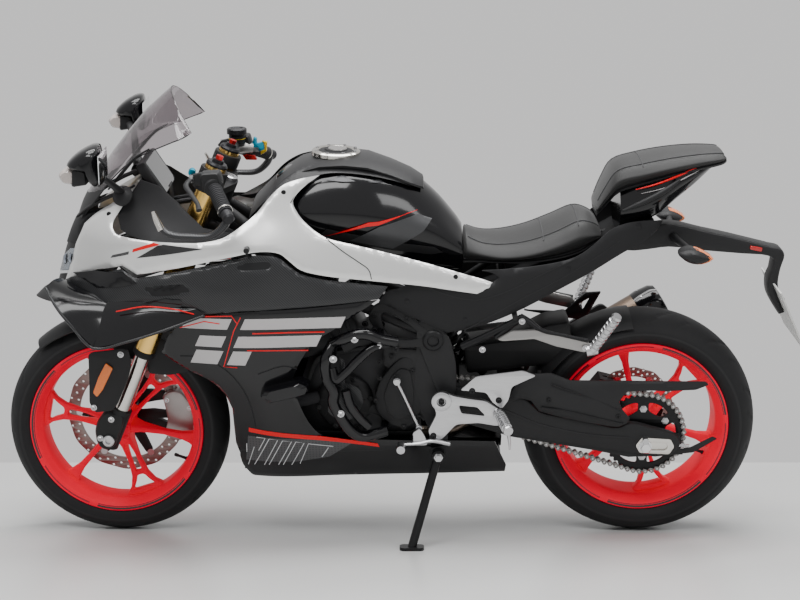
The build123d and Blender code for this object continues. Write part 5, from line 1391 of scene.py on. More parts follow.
@dataclass
class SidePanels:
    """Silver upper panels, dark panels under them and the side fairings, with their markings."""

    def build(self, shop: Workshop) -> None:
        """Builds both sides."""
        self.silver(shop)
        self.carbon(shop)
        self.fairing(shop)
        self.belly(shop)
        self.cockpit(shop)

    def silver(self, shop: Workshop) -> None:
        """Silver sweep from the nose to under the seat."""
        outline = [(-78, 760), (-60, 812), (-50, 850), (-34, 884)]
        outline += soft_line([(-26, 902), (0, 925), (40, 950), (74, 968)])
        outline += [(96, 989)]
        outline += soft_line([(92, 978), (62, 935), (42, 899), (48, 876), (72, 866), (134, 855)], 4)
        outline += soft_line([(200, 851), (259, 852), (310, 864), (346, 887), (394, 928), (430, 972),
                              (461, 999), (500, 1013)], 4)
        outline += [(547, 1022)]
        outline += soft_line([(520, 1003), (494, 978), (482, 956), (496, 922), (524, 891), (559, 866),
                              (620, 849), (690, 832), (821, 796), (900, 772), (942, 760)], 4)
        outline += [(984, 746)]
        outline += soft_line([(931, 722), (870, 731), (799, 742), (712, 751), (625, 760), (556, 768),
                              (498, 783), (470, 806), (447, 824), (399, 829), (331, 816), (215, 791),
                              (150, 779)], 4)
        outline += [(97, 771), (62, 794), (0, 785)]
        outline = sighted(outline, -215, UPPER_SIDE)
        panel = skin([outline], UPPER_SIDE, 3.5, 9.0, 7.0)
        shop.piece("silver_sides", panel.both(), SILVER, 50.0, stands_for=("silver_panels",))
        red = decal([(86, 826), (88, 834), (140, 853), (156, 850)], UPPER_SIDE, 0.9, wall=0.6, step=8.0)
        shop.piece("nose_red_slash", red.both(), INK_RED)
        shut = decal(ribbon(soft_line([(560, 860), (600, 828), (640, 800), (665, 780), (672, 757)], 4),
                            2.2), UPPER_SIDE, 0.6, wall=0.4, step=8.0)
        wedge = decal([(96, 812), (150, 846), (166, 850), (262, 842), (160, 824)], UPPER_SIDE, step=8.0)
        shop.piece("silver_shut_lines", (shut + wedge).both(), RIM_INK)
        bar = decal([(28, 806), (34, 814), (78, 828), (76, 820)], UPPER_SIDE, step=8.0)
        shop.piece("nose_grey_bar", bar.both(), INK_DARK)
        bolts = [lathe([(0, 6), (1.5, 6), (2.4, 4.5)], (x, UPPER_SIDE(x, z) + 0.5, z), LEFT, 16)
                 for x, z in ((880, 752), (455, 965), (20, 905))]
        shop.piece("silver_screws", combined(bolts).both(), BLACK_METAL)

    def carbon(self, shop: Workshop) -> None:
        """Dark woven panel with its vent slots."""
        outline = [(-104, 742), (-63, 770), (0, 780), (62, 790), (97, 766)]
        outline += soft_line([(150, 774), (215, 786), (331, 811), (399, 824), (445, 818), (468, 801),
                              (496, 779), (556, 763), (625, 755), (712, 746)], 4)
        outline += [(689, 713), (600, 702), (497, 690), (350, 682), (203, 667), (130, 672), (65, 687),
                    (-20, 708)]
        slot_a = rounded([(348, 797), (415, 806), (425, 797), (360, 790)], 4)
        slot_b = rounded([(120, 742), (206, 752), (228, 738), (140, 728)], 5)
        outline = sighted(outline, -230, CREASED_SIDE)
        panel = skin([outline, slot_a, slot_b], CREASED_SIDE, 3.5, 9.0, 6.0)
        shop.piece("woven_panels", panel.both(), CARBON, 50.0, stands_for=("carbon_panels",))
        backing = decal([(330, 785), (335, 812), (430, 812), (440, 785)], CREASED_SIDE, -7.0, wall=2.0)
        more = decal([(105, 722), (105, 758), (240, 758), (240, 722)], CREASED_SIDE, -7.0, wall=2.0)
        shop.piece("vent_backing", (backing + more).both(), MATTE)
        fins = [skin([[(x, 742), (x + 20, 752), (x + 26, 752), (x + 6, 742)]], CREASED_SIDE, 4.0, 9.0, 1.0,
                     1.0) for x in (140, 160, 180)]
        shop.piece("vent_fins", combined(fins).both(), GLOSS)

    def fairing(self, shop: Workshop) -> None:
        """Gloss side fairing with generic bars and stripes."""
        outline = soft_line([(210, 661), (350, 677), (497, 686), (600, 697)], 3)
        outline += [(686, 709)]
        outline += soft_line([(668, 696), (622, 664), (579, 633), (545, 612), (521, 590), (496, 552),
                              (480, 516), (478, 480), (488, 446), (512, 392), (541, 358), (570, 349),
                              (598, 346)], 3)
        outline += [(710, 325), (712, 309), (364, 309), (340, 309), (331, 335), (324, 425)]
        outline += soft_line([(308, 462), (285, 488), (256, 508), (224, 524), (190, 545), (152, 574)], 3)
        outline += [(172, 620)]
        panel = skin([sighted(outline, -225, LOWER_SIDE)], LOWER_SIDE, 3.5, 9.0, 6.0)
        shop.piece("gloss_fairings", panel.both(), GLOSS, 50.0, stands_for=("side_fairings",))
        bars = []
        for low, high, first, last in ((640, 668, 205, 318), (640, 668, 350, 596), (592, 622, 236, 302),
                                       (592, 622, 332, 536), (544, 582, 222, 290), (544, 582, 314, 360)):
            lean = (high - low) * 0.45
            bars.append(decal([(first, low), (first + lean, high), (last + lean, high), (last, low)],
                              LOWER_SIDE))
        shop.piece("grey_bars", combined(bars).both(), INK_GREY)
        reds = [ribbon([(380, 630), (470, 631), (556, 630)], 3.0),
                ribbon([(366, 585), (430, 584), (516, 582)], 2.6),
                ribbon([(352, 672), (334, 636), (306, 538), (340, 537)], 2.2),
                ribbon([(240, 672), (330, 676), (344, 655)], 2.4),
                ribbon([(200, 640), (262, 660), (300, 655)], 2.4)]
        red = combined(decal(line, LOWER_SIDE, 1.4) for line in reds)
        low = decal(sighted([(362, 368), (362, 357), (532, 335), (600, 328), (690, 316), (686, 325),
                             (543, 345)], -205, LOWER_SIDE), LOWER_SIDE, 0.9)
        shop.piece("fairing_red_lines", (red + low).both(), INK_RED)
        creases = [decal(ribbon(soft_line(line, 3), 3.0), LOWER_SIDE, 0.7)
                   for line in (((196, 560), (250, 560), (310, 528), (352, 470), (372, 400), (378, 330)),
                                ((390, 520), (452, 540), (486, 532)))]
        shop.piece("fairing_creases", combined(creases).both(), MATTE)
        slider = pod(rounded([(392, 464), (404, 484), (496, 507), (521, 494), (512, 472), (416, 448)], 9),
                     ((-206, 1.0), (-236, 0.98), (-250, 0.9), (-257, 0.7)), (455, 478))
        shop.piece("frame_sliders", slider.both(), GLOSS, 32.0)

    def belly(self, shop: Workshop) -> None:
        """Belly pan with slanted marks."""
        outline = [(331, 304), (331, 262)]
        outline += soft_line([(331, 262), (338, 238), (350, 222), (363, 209), (382, 206)], 3)[1:]
        outline += soft_line([(473, 204), (663, 210), (850, 214), (1012, 219)], 3)
        outline += [(1015, 237), (985, 301), (712, 305), (520, 305)]
        panel = skin([sighted(outline, -140, LOWER_SIDE)], LOWER_SIDE, 3.5, 9.0, 5.0)
        floor_rows = []
        for x in (338, 380, 480, 620, 760, 900, 1010):
            half = abs(LOWER_SIDE(x, 208)) - 4
            floor_rows.append([(x, -half, 209), (x, -half * 0.5, 203.5), (x, 0, 202.5),
                               (x, half * 0.5, 203.5), (x, half, 209), (x, half, 212), (x, 0, 206),
                               (x, -half, 212)])
        front = []
        for z, x in ((304, 330), (262, 331), (238, 338), (214, 360)):
            half = abs(LOWER_SIDE(x, z)) - 2
            front.append([(x, -half, z), (x - 8, -half * 0.6, z), (x - 12, 0, z), (x - 8, half * 0.6, z),
                          (x, half, z), (x + 4, half, z), (x - 6, 0, z), (x + 4, -half, z)])
        whole = panel.both() + loft(floor_rows) + loft(front)
        shop.piece("belly_shell", whole, GLOSS, 40.0, stands_for=("belly_pan",))
        marks = [decal(sighted(ribbon(line, 2.0), -168, LOWER_SIDE), LOWER_SIDE, wall=0.4)
                 for line in (((352, 286), (352, 309)), ((377, 326), (399, 323), (382, 290)),
                              ((371, 252), (409, 321), (431, 318), (396, 251)),
                              ((408, 251), (443, 316), (466, 314), (432, 251)),
                              ((444, 251), (477, 313), (498, 310), (466, 251)),
                              ((487, 254), (509, 308), (572, 301)), ((355, 252), (371, 300)),
                              ((543, 272), (560, 298)))]
        shop.piece("belly_marks", combined(marks).both(), INK_WHITE)
        dark = decal([(345, 246), (356, 330), (520, 322), (620, 306), (560, 262), (470, 246)], LOWER_SIDE,
                     0.5, wall=0.4)
        shop.piece("belly_patch", dark.both(), INK_DARK)

    def cockpit(self, shop: Workshop) -> None:
        """Black inner panels between the silver sides and the fork."""
        inner = Surface(((96, 985, -112), (42, 899, -140), (60, 866, -172), (134, 853, -204),
                         (262, 849, -216), (170, 880, -168), (240, 905, -150), (200, 930, -128),
                         (130, 960, -112), (330, 880, -196)))
        outline = [(96, 986), (58, 930), (42, 899), (52, 872), (76, 862), (134, 851), (262, 849),
                   (330, 873), (258, 880), (224, 902), (190, 930), (140, 968)]
        panel = skin([outline], inner, 3.0, 9.0, 3.0)
        shop.piece("cockpit_sides", panel.both(), MATTE)


@dataclass
class Nose:
    """Nose with its headlights, lip, screen, dash, mirrors and winglets.

    Attributes:
        levels: Heights at which the nose's plan is given.
        middles: x of its front edge at each level.
        ends: x of its side edge at each level.
        halves: Half width at each level.
        bow: Power that shapes the plan between middle and side.
    """

    levels: tuple[float, ...] = (680, 700, 772, 830, 866, 896, 925)
    middles: tuple[float, ...] = (-148, -142, -124, -104, -88, -74, -62)
    ends: tuple[float, ...] = (-96, -84, -60, -62, -58, -42, 6)
    halves: tuple[float, ...] = (96, 100, 106, 103, 100, 98, 92)
    bow: float = 2.1

    def build(self, shop: Workshop) -> None:
        """Builds the front of the bodywork."""
        self.shell(shop)
        self.lamps(shop)
        self.screen(shop)
        self.mirrors(shop)
        self.winglets(shop)
        self.dash(shop)

    def place(self, t: float, z: float) -> Point:
        """Returns a point of the nose at a height and a share of its half width."""
        rows = (self.middles, self.ends, self.halves)
        middle, end, half = (float(np.interp(z, self.levels, row)) for row in rows)
        return middle + (end - middle) * abs(t) ** self.bow, half * t, z

    def patch(self, spots: Sequence[Flat], lift: float, wall: float) -> Shape:
        """Cuts a patch of the nose out of its surface, as (share, height) points."""
        controls, outline = [], []
        for t in np.linspace(-1.05, 1.05, 15):
            for z in (680, 720, 760, 800, 840, 880, 925):
                x, y, height = self.place(float(t), z)
                controls.append((y, height, x))
        surface = Surface(controls)
        for t, z in spots:
            _, y, height = self.place(t, z)
            outline.append((y, height))
        flat = skin([outline], surface, wall, 8.0, 2.5, lift)
        return flat.bent(lambda y, x, z: (x, y, z))

    def shell(self, shop: Workshop) -> None:
        """Dark brow and mask round the lamps, the lip under them and the side intakes."""
        brow = [(t, float(np.interp(abs(t), (0, 0.4, 0.75, 1.0), (792, 806, 812, 800))))
                for t in np.linspace(-1.0, 1.0, 21)]
        top = [(t, float(np.interp(abs(t), (0, 0.5, 1.0), (868, 880, 897))))
               for t in np.linspace(1.0, -1.0, 17)]
        shop.piece("nose_brow", self.patch(brow + top, 2.0, 4.0), MATTE, 45.0,
                   stands_for=("nose_fairing", "headlights"))
        low = [(t, 684.0) for t in np.linspace(-1.0, 1.0, 17)]
        high = [(t, 812.0) for t in np.linspace(1.0, -1.0, 17)]
        shop.piece("nose_mask", self.patch(low + high, -1.0, 4.0), PLASTIC, 45.0)
        lip = []
        for t in np.linspace(-1, 1, 17):
            front = -205 + 62 * abs(t) ** 1.6
            lip.append([(front, 82 * t, 650 + 8 * abs(t)), (front + 22, 84 * t, 672),
                        (-120 - 10 * (1 - abs(t)), 96 * t, 700), (-60, 104 * t, 716), (0, 96 * t, 706),
                        (-40, 92 * t, 690), (-100, 88 * t, 676), (front + 8, 80 * t, 646 + 8 * abs(t))])
        shop.piece("nose_lip", loft(lip), PLASTIC, 40.0)
        intake = skin([[(-78, 750), (-20, 764), (60, 776), (96, 752), (60, 742), (-10, 728)]], CREASED_SIDE,
                      3.0, 8.0, 2.0, 4.0)
        shop.piece("side_intakes", intake.both(), GLOSS)

    def lamps(self, shop: Workshop) -> None:
        """Slim lamps with a bowl behind a clear lens."""
        eye = [(0.30, 724), (0.98, 752), (1.03, 790), (0.96, 806), (0.66, 796), (0.36, 768)]
        eye_right = rounded(eye, 0.0001, 1)
        eye_left = [(-t, z) for t, z in reversed(eye)]
        bowls = self.patch(eye_right, 0.8, 2.0) + self.patch(eye_left, 0.8, 2.0)
        shop.piece("lamp_bowls", bowls, REFLECTOR_BOWL, 40.0)
        lens = self.patch(eye_right, 4.5, 1.5) + self.patch(eye_left, 4.5, 1.5)
        shop.piece("lamp_lenses", lens, LENS, 40.0)
        beams = []
        for t, z in ((0.52, 765), (0.72, 772)):
            x, y, height = self.place(t, z)
            beams.append(lathe([(-3, 15), (2, 14), (6, 10), (8, 3)], (x, y, height), (-1, -0.15, 0), 24))
        shop.piece("lamp_projectors", combined(beams).both(), REFLECTOR_BOWL, 30.0)
        strip = self.patch([(0.28, 716), (0.98, 742), (0.99, 750), (0.29, 724)], 4.8, 1.5)
        shop.piece("lamp_brows", strip.both(), INK_WHITE, 40.0)

    def screen(self, shop: Workshop) -> None:
        """Bubble screen with a dark lower band, its edge seal, strips and braces."""
        middle = [(-84, 866), (-66, 915), (-43, 955), (8, 1033), (46, 1082), (93, 1137), (138, 1180),
                  (164, 1202)]
        edge = [(-58, -88, 882), (-14, -116, 938), (30, -138, 994), (84, -150, 1044), (136, -152, 1070),
                (184, -150, 1090), (212, -146, 1101), (228, -134, 1110)]
        centre = eased([(x, 0, z) for x, z in middle], 4)
        rim = eased(edge, 4)
        rows = 24
        outer, inner = [], []
        for mid, side in zip(centre, rim):
            line, back = [], []
            for k in range(rows + 1):
                t = 2 * k / rows - 1
                bow = abs(t) ** 2.2
                x = mid.x + (side.x - mid.x) * bow
                z = mid.z + (side.z - mid.z) * bow
                y = side.y * -t
                line.append((x, y, z))
                back.append((x + 2.4, y * 0.985, z - 0.8))
            outer.append(line)
            inner.append(back)
        rings = [line + back[::-1] for line, back in zip(outer, inner)]
        shop.piece("bubble_screen", loft(rings), SCREEN, 60.0, stands_for=("windscreen",))
        band = [[(x - 0.8, y, z) for x, y, z in line] + [(x + 3.4, y, z) for x, y, z in line[::-1]]
                for line in outer[:7]]
        shop.piece("screen_band", loft(band), PLASTIC, 60.0)
        seal = tube([(v.x + 1, v.y, v.z) for v in rim[5:-1:3]], 1.6, 8, 4)
        shop.piece("screen_edge", seal.both(), PLASTIC)
        strip = tube([(-70, -84, 884), (-36, -96, 912), (8, -106, 938), (46, -112, 954), (82, -116, 972)],
                     [5, 9, 10, 9, 6], 14, 5, flat=0.55)
        shop.piece("screen_strips", strip.both(), PLASTIC, 40.0)
        brace = tube([(20, -128, 966), (58, -140, 1012), (92, -146, 1050), (128, -149, 1074)],
                     [6, 11, 11, 4], 14, 5, flat=0.35)
        shop.piece("screen_braces", brace.both(), PLASTIC, 40.0)

    def mirrors(self, shop: Workshop) -> None:
        """Mirror pods with their signal lamps and stalks."""
        outline = soft_line([(-36, 1078), (-20, 1098), (4, 1114), (24, 1121), (37, 1118), (42, 1080),
                             (48, 1036), (36, 1022), (22, 1032), (12, 1062), (-16, 1066)], 3, True)
        body = pod(outline, ((-258, 0.45), (-264, 0.72), (-280, 0.93), (-312, 1.0), (-342, 0.95),
                             (-360, 0.78), (-369, 0.45)), (14, 1078))
        shop.piece("mirror_pods", body.both(), GLOSS, 40.0, stands_for=("mirrors",))
        glass_line = soft_line([(0, 1112), (30, 1116), (40, 1080), (42, 1040), (30, 1024), (12, 1032),
                                (4, 1070)], 3, True)
        glass = loft([[(x + 3.5 + abs(y + 314) * 0.02, y, z) for x, z in glass_line] for y in (-262, -366)])
        glass = glass.bent(lambda x, y, z: (46 + (x - 46) * 0.05, y, 1072 + (z - 1072) * 0.74))
        shop.piece("mirror_glass", glass.both(), MIRROR, 40.0)
        lamp = pod(rounded([(-56, 1054), (-44, 1067), (-18, 1070), (-10, 1044), (-20, 1030), (-46, 1034)],
                           7), ((-276, 0.7), (-284, 0.98), (-338, 0.98), (-348, 0.7)), (-32, 1050))
        shop.piece("mirror_signals", lamp.both(), SIGNAL, 40.0)
        box = pod(rounded([(-24, 1026), (-22, 1072), (12, 1066), (14, 1032)], 7),
                  ((-272, 0.8), (-280, 1.0), (-344, 1.0), (-352, 0.8)), (-6, 1050))
        shop.piece("mirror_hinges", box.both(), PLASTIC, 40.0)
        stalk = tube([(52, -128, 958), (40, -168, 985), (24, -220, 1020), (8, -268, 1050)],
                     [15, 12, 10, 11], 18, 5, flat=0.6)
        foot = lathe([(0, 26), (5, 26), (10, 20), (13, 13)], (56, -134, 950), (-0.25, -0.85, 0.45), 24)
        shop.piece("mirror_stalks", (stalk + foot).both(), PLASTIC, 40.0)

    def winglets(self, shop: Workshop) -> None:
        """Twin blades on each side of the nose."""
        blades = []
        for inner, outer in (
            (((-104, -112, 728), (-60, -150, 716), (-10, -182, 706), (40, -206, 692)),
             ((-124, -232, 744), (-92, -262, 700), (-52, -276, 656), (-4, -284, 610))),
            (((20, -204, 700), (90, -226, 704), (150, -236, 704), (214, -238, 690)),
             ((-6, -284, 606), (80, -288, 624), (170, -276, 650), (266, -244, 676))),
        ):
            front, back = eased(inner, 5), eased(outer, 5)
            rings = []
            for step in range(13):
                share = step / 12
                line = []
                for a, b in zip(front, back):
                    spot = a.lerp(b, share)
                    spot.z += 10 * math.sin(math.pi * share)
                    line.append(spot)
                count = len(line)
                upper = [(p.x, p.y, p.z + 3.0 * math.sin(math.pi * min(0.98, max(0.06, k / (count - 1))))
                          + 0.6) for k, p in enumerate(line)]
                lower = [(p.x, p.y + 1.5, p.z - 2.0) for p in line]
                rings.append(upper + lower[::-1])
            blades.append(loft(rings))
        shop.piece("winglet_blades", combined(blades).both(), GLOSS, 40.0, stands_for=("winglets",))
        tip = tube([(-124, -232, 744), (-92, -262, 702), (-52, -277, 657), (-4, -285, 608), (80, -289, 625),
                    (170, -277, 651), (262, -245, 677)], 3.4, 10, 5)
        shop.piece("winglet_tips", tip.both(), CARBON, 40.0)
        fin = skin([[(52, 684), (110, 704), (169, 722), (208, 716), (208, 660), (140, 664)]], CREASED_SIDE,
                   5.0, 9.0, 3.0, 5.0)
        shop.piece("winglet_fins", fin.both(), GLOSS, 40.0)
        line = tube([(50, -252, 690), (120, -262, 706), (190, -262, 700), (240, -254, 684)], 1.6, 8, 5)
        shop.piece("winglet_pinstripe", line.both(), INK_RED, 40.0)

    def dash(self, shop: Workshop) -> None:
        """Instrument screen in its hood."""
        hood = pod(rounded([(78, 1012), (102, 1024), (156, 940), (134, 926)], 8),
                   ((-86, 0.8), (-82, 1.0), (82, 1.0), (86, 0.8)), (118, 975))
        shop.piece("dash_hood", hood, PLASTIC, 32.0, stands_for=("dash",))
        glass = pod(rounded([(101, 1019), (104.5, 1021), (155, 944), (151, 941)], 1),
                    ((-72, 1.0), (72, 1.0)), (128, 980))
        shop.piece("dash_glass", glass, DIAL, 32.0)
        foot = slab([(132, 950), (154, 950), (160, 890), (136, 880)], 6, 0, 60, 4)
        shop.piece("dash_stay", foot, BLACK_METAL, 32.0)


def hull_rows(rows: Sequence[tuple]) -> list[list[Point]]:
    """Makes closed sections across the machine from heights and half widths.

    Args:
        rows: Station, floor, side, shoulder and crown height, then floor, side and shoulder half width.

    Returns:
        The sections.
    """
    sections = []
    for x, floor, side, shoulder, crown, floor_half, side_half, shoulder_half in rows:
        half = [(0, crown), (shoulder_half * 0.55, crown - (crown - shoulder) * 0.28),
                (shoulder_half, shoulder), (side_half * 0.93, side + (shoulder - side) * 0.42),
                (side_half, side), (floor_half + (side_half - floor_half) * 0.55,
                                    floor + (side - floor) * 0.4), (floor_half, floor)]
        ring = eased([(0, y, z) for y, z in half] + [(0, -y, z) for y, z in half[:0:-1]], 4, closed=True)
        sections.append([(x, v.y, v.z) for v in ring])
    return sections


def between(rows: Sequence[tuple], steps: int) -> list[tuple]:
    """Adds smooth stations between given ones."""
    table = np.array(rows, dtype=float)
    spots = np.arange(len(rows))
    fine = np.linspace(0, len(rows) - 1, (len(rows) - 1) * steps + 1)
    slopes = np.gradient(table, axis=0)
    result = []
    for value in fine:
        low = min(int(value), len(rows) - 2)
        t = value - spots[low]
        h00, h10 = 2 * t ** 3 - 3 * t ** 2 + 1, t ** 3 - 2 * t ** 2 + t
        h01, h11 = -2 * t ** 3 + 3 * t ** 2, t ** 3 - t ** 2
        result.append(tuple(h00 * table[low] + h10 * slopes[low] + h01 * table[low + 1] + h11
                            * slopes[low + 1]))
    return result


TANK_ROWS = ((426, 848, 895, 945, 972, 92, 122, 70), (460, 836, 900, 966, 996, 100, 140, 92),
             (520, 812, 902, 985, 1018, 112, 158, 110), (600, 790, 900, 992, 1025, 112, 160, 116),
             (680, 776, 890, 980, 1010, 108, 152, 108), (760, 762, 866, 952, 985, 96, 130, 86),
             (830, 752, 838, 902, 930, 86, 110, 70), (880, 746, 808, 850, 872, 80, 98, 60),
             (900, 745, 795, 828, 843, 76, 90, 54))
TANK_SIDE = Surface(tuple(
    (x, z, -(y + 1.0)) for x, floor, side, shoulder, crown, low, mid, top in TANK_ROWS
    for y, z in ((low, floor), (low + (mid - low) * 0.55, floor + (side - floor) * 0.4), (mid, side),
                 (mid * 0.93 + 2, side + (shoulder - side) * 0.42), (top, shoulder),
                 (top * 0.62, shoulder + (crown - shoulder) * 0.62))
))
SEAT_ROWS = ((903, 760, 790, 825, 838, 60, 84, 56), (950, 764, 786, 806, 819, 72, 102, 72),
             (1005, 766, 782, 804, 815, 80, 118, 84), (1070, 770, 792, 816, 828, 86, 130, 94),
             (1135, 780, 812, 840, 856, 88, 132, 98), (1190, 794, 834, 866, 878, 85, 124, 92),
             (1226, 812, 838, 862, 872, 80, 110, 82), (1250, 826, 838, 848, 852, 72, 96, 72))
PILLION_ROWS = ((1238, 882, 892, 900, 905, 46, 62, 44), (1262, 916, 936, 952, 960, 62, 82, 60),
                (1290, 950, 975, 994, 1003, 74, 94, 70), (1350, 972, 993, 1012, 1020, 82, 104, 78),
                (1420, 992, 1010, 1026, 1034, 84, 104, 76), (1490, 1008, 1022, 1035, 1041, 76, 92, 68),
                (1545, 1018, 1028, 1037, 1043, 62, 76, 56), (1560, 1024, 1030, 1036, 1040, 54, 66, 48))
COWL_ROWS = ((1296, 838, 894, 945, 962, 58, 92, 68), (1345, 862, 908, 968, 982, 60, 98, 76),
             (1395, 884, 935, 984, 998, 58, 99, 80), (1440, 922, 968, 1000, 1010, 52, 88, 76),
             (1485, 958, 990, 1012, 1019, 44, 74, 64), (1530, 998, 1010, 1024, 1029, 32, 52, 44),
             (1556, 1016, 1022, 1030, 1033, 22, 36, 28))


@dataclass
class Tank:
    """Fuel tank with its cover, filler cap and side markings."""

    cap: Flat = (578.0, 1026.0)

    def build(self, shop: Workshop) -> None:
        """Builds the tank group."""
        shop.piece("tank_shell", loft(hull_rows(between(TANK_ROWS, 5))), GLOSS, 60.0,
                   stands_for=("fuel_tank", "tank_cover"))
        self.cover(shop)
        self.marks(shop)
        self.filler(shop)

    def cover(self, shop: Workshop) -> None:
        """Dark satin cover over the front and top."""
        outline = soft_line([(300, 868), (356, 876), (392, 918), (438, 975), (480, 1004), (521, 1018)], 4)
        outline += [(560, 1010), (640, 1012), (720, 988), (770, 962)]
        outline += soft_line([(770, 962), (720, 982), (640, 1000), (560, 1003), (522, 992), (492, 968),
                              (470, 935), (442, 900), (404, 872), (340, 858)], 4)
        front = Surface(((300, 866, -196), (356, 876, -190), (340, 858, -200), (392, 918, -162),
                         (404, 872, -184), (438, 975, -118), (442, 900, -172), (470, 935, -166),
                         (480, 1004, -98), (492, 968, -142), (521, 1018, -80), (522, 992, -122),
                         (560, 1012, -98), (560, 1003, -116), (640, 1012, -90), (640, 1000, -112),
                         (720, 988, -90), (720, 982, -100), (770, 962, -84)))
        sides = skin([outline], front, 4.0, 9.0, 4.0)
        shop.piece("tank_cover_sides", sides.both(), COVER, 50.0)
        top_rows = ((424, 966, 104, 12), (452, 990, 104, 12), (490, 1014, 100, 12), (540, 1028, 100, 12),
                    (600, 1032, 102, 12), (660, 1026, 100, 12), (720, 1007, 92, 14), (770, 986, 84, 15),
                    (800, 968, 62, 12))
        front_rows = ((366, 902, 126, 10), (390, 930, 120, 12), (424, 966, 106, 14))
        for name, rows, count, back, deep in (("top", top_rows, 17, 2, 7), ("front", front_rows, 13, 4, 6)):
            rings = []
            for x, crown, half, drop in rows:
                line = [(x, half * t, crown - drop * abs(t) ** 2.2) for t in np.linspace(1, -1, count)]
                rings.append(line + [(x + back, half * t * 0.97, crown - deep - drop * abs(t) ** 2.2)
                                     for t in np.linspace(-1, 1, count)])
            shop.piece(f"tank_cover_{name}", loft(rings), COVER, 50.0)

    def marks(self, shop: Workshop) -> None:
        """Grey band, red stripe and perforated patch of the gloss side."""
        band_line = [(478, 958), (500, 988), (528, 1003), (640, 1001), (700, 996), (786, 962), (742, 972),
                     (640, 984), (536, 988), (508, 974)]
        band = decal(band_line, TANK_SIDE, 1.8, wall=0.8, step=8.0)
        shop.piece("tank_band", band.both(), GREY_BAND, 50.0)
        stripe = decal([(552, 850), (560, 852), (664, 888), (690, 889), (786, 908), (760, 904), (688, 880),
                        (660, 878)], TANK_SIDE, 1.8, wall=0.6, step=8.0)
        shop.piece("tank_red_stripe", stripe.both(), INK_RED, 50.0)
        patch = decal([(618, 838), (690, 876), (786, 899), (822, 884), (800, 856), (724, 812)], TANK_SIDE,
                      1.2, step=8.0)
        shop.piece("tank_patch", patch.both(), GREY_BAND, 50.0)
        knee = decal([(540, 850), (620, 834), (720, 808), (820, 790), (850, 796), (828, 812), (730, 830),
                      (630, 856), (560, 872)], TANK_SIDE, 0.9, wall=0.6, step=8.0)
        shop.piece("tank_knee_trim", knee.both(), PLASTIC, 50.0)

    def filler(self, shop: Workshop) -> None:
        """Filler cap with its ring, bolts and lock."""
        x, z = self.cap
        up = (0.03, 0.0, 1.0)
        shop.piece("filler_ring", lathe([(0, 62), (9, 62), (12, 58), (12, 47), (8, 44), (0, 44)], (x, 0, z),
                                        up, 64, closed=True), SLIDER, 35.0)
        shop.piece("filler_cap", lathe([(2, 45), (8, 45), (11, 42), (12, 30), (15, 28), (15, 0.5)],
                                       (x, 0, z), up, 56), MATTE, 30.0)
        lid = lathe([(15, 24), (17, 23), (18, 12), (17, 0.5)], (x + 4, 0, z), up, 40)
        shop.piece("filler_lock", lid, CALIPER, 30.0)
        bolts = []
        for step in range(8):
            spot = polar(math.radians(45 * step + 22.5), 52.5, (x, 0.0))
            bolts.append(lathe([(11, 4.6), (14.5, 4.2), (14.5, 2.2), (12.5, 2.0)], (*spot, z), up, 12))
        shop.piece("filler_bolts", combined(bolts), BOLT, 30.0)


TUCK = 0.045
SWELL = 5.0


@dataclass
class Seats:
    """Rider and pillion pads, crowned and pulled in between their seams."""

    def build(self, shop: Workshop) -> None:
        """Builds both pads with their pans and seams."""
        self.pad(shop, "rider_pad", SEAT_ROWS, "rider_seat")
        self.pad(shop, "pillion_pad", PILLION_ROWS, "pillion_seat")
        for name, rows, back, heights, out, side, top in (
            ("rider_pan", SEAT_ROWS, 0, (-5, 4, 10, 12), 2, 0.93, 0.9),
            ("pillion_pan", PILLION_ROWS, 3, (-6, 1, 5, 7), 1, 0.92, 0.88),
        ):
            pan = [(x + back, *(floor + height for height in heights), low + out, mid * side, mid * top)
                   for x, floor, _, _, _, low, mid, _ in rows]
            shop.piece(name, loft(hull_rows(between(pan, 3))), PLASTIC, 50.0)
        self.seams(shop)

    @staticmethod
    def swelled(rows: Sequence[tuple], steps: int) -> list[list[Point]]:
        """Pulls the sides in between the ends and crowns the top."""
        fine = between(rows, steps)
        count = len(fine)
        result = []
        for index, (x, floor, side, shoulder, crown, low, mid, top) in enumerate(fine):
            share = index / (count - 1)
            tuck = 1.0 - TUCK * math.sin(math.pi * share) ** 2
            swell = SWELL * math.sin(math.pi * share) ** 0.6
            result.append((x, floor, side, shoulder + swell * 0.5, crown + swell * 0.55, low * tuck,
                           mid * tuck, top * (1.0 - 0.03 * math.sin(math.pi * share))))
        return hull_rows(result)

    def pad(self, shop: Workshop, name: str, rows: Sequence[tuple], node: str) -> None:
        """Builds one padded cushion."""
        piece = shop.piece(name, loft(self.swelled(rows, 5)), SEAT, 70.0, subdivide=1, stands_for=(node,))

    def seams(self, shop: Workshop) -> None:
        """Welts and stitched lines over the pads."""
        welts = []
        for rows in (SEAT_ROWS, PILLION_ROWS):
            sections = self.swelled(rows, 4)
            for place in (7, -7):
                side = [section[place] for section in sections[1:-1]]
                welts.append(tube([(x, y, z + 0.5) for x, y, z in side], 1.7, 8, 1))
        for rows, places in ((SEAT_ROWS, (14, 20)), (PILLION_ROWS, (12,))):
            sections = self.swelled(rows, 4)
            for place in places:
                ring = sections[place]
                line = ring[-9:] + ring[:10]
                welts.append(tube([(x, y * 1.004, z + 0.4) for x, y, z in line], 1.3, 8, 1))
        shop.piece("seat_seams", combined(welts), STITCH, 40.0)


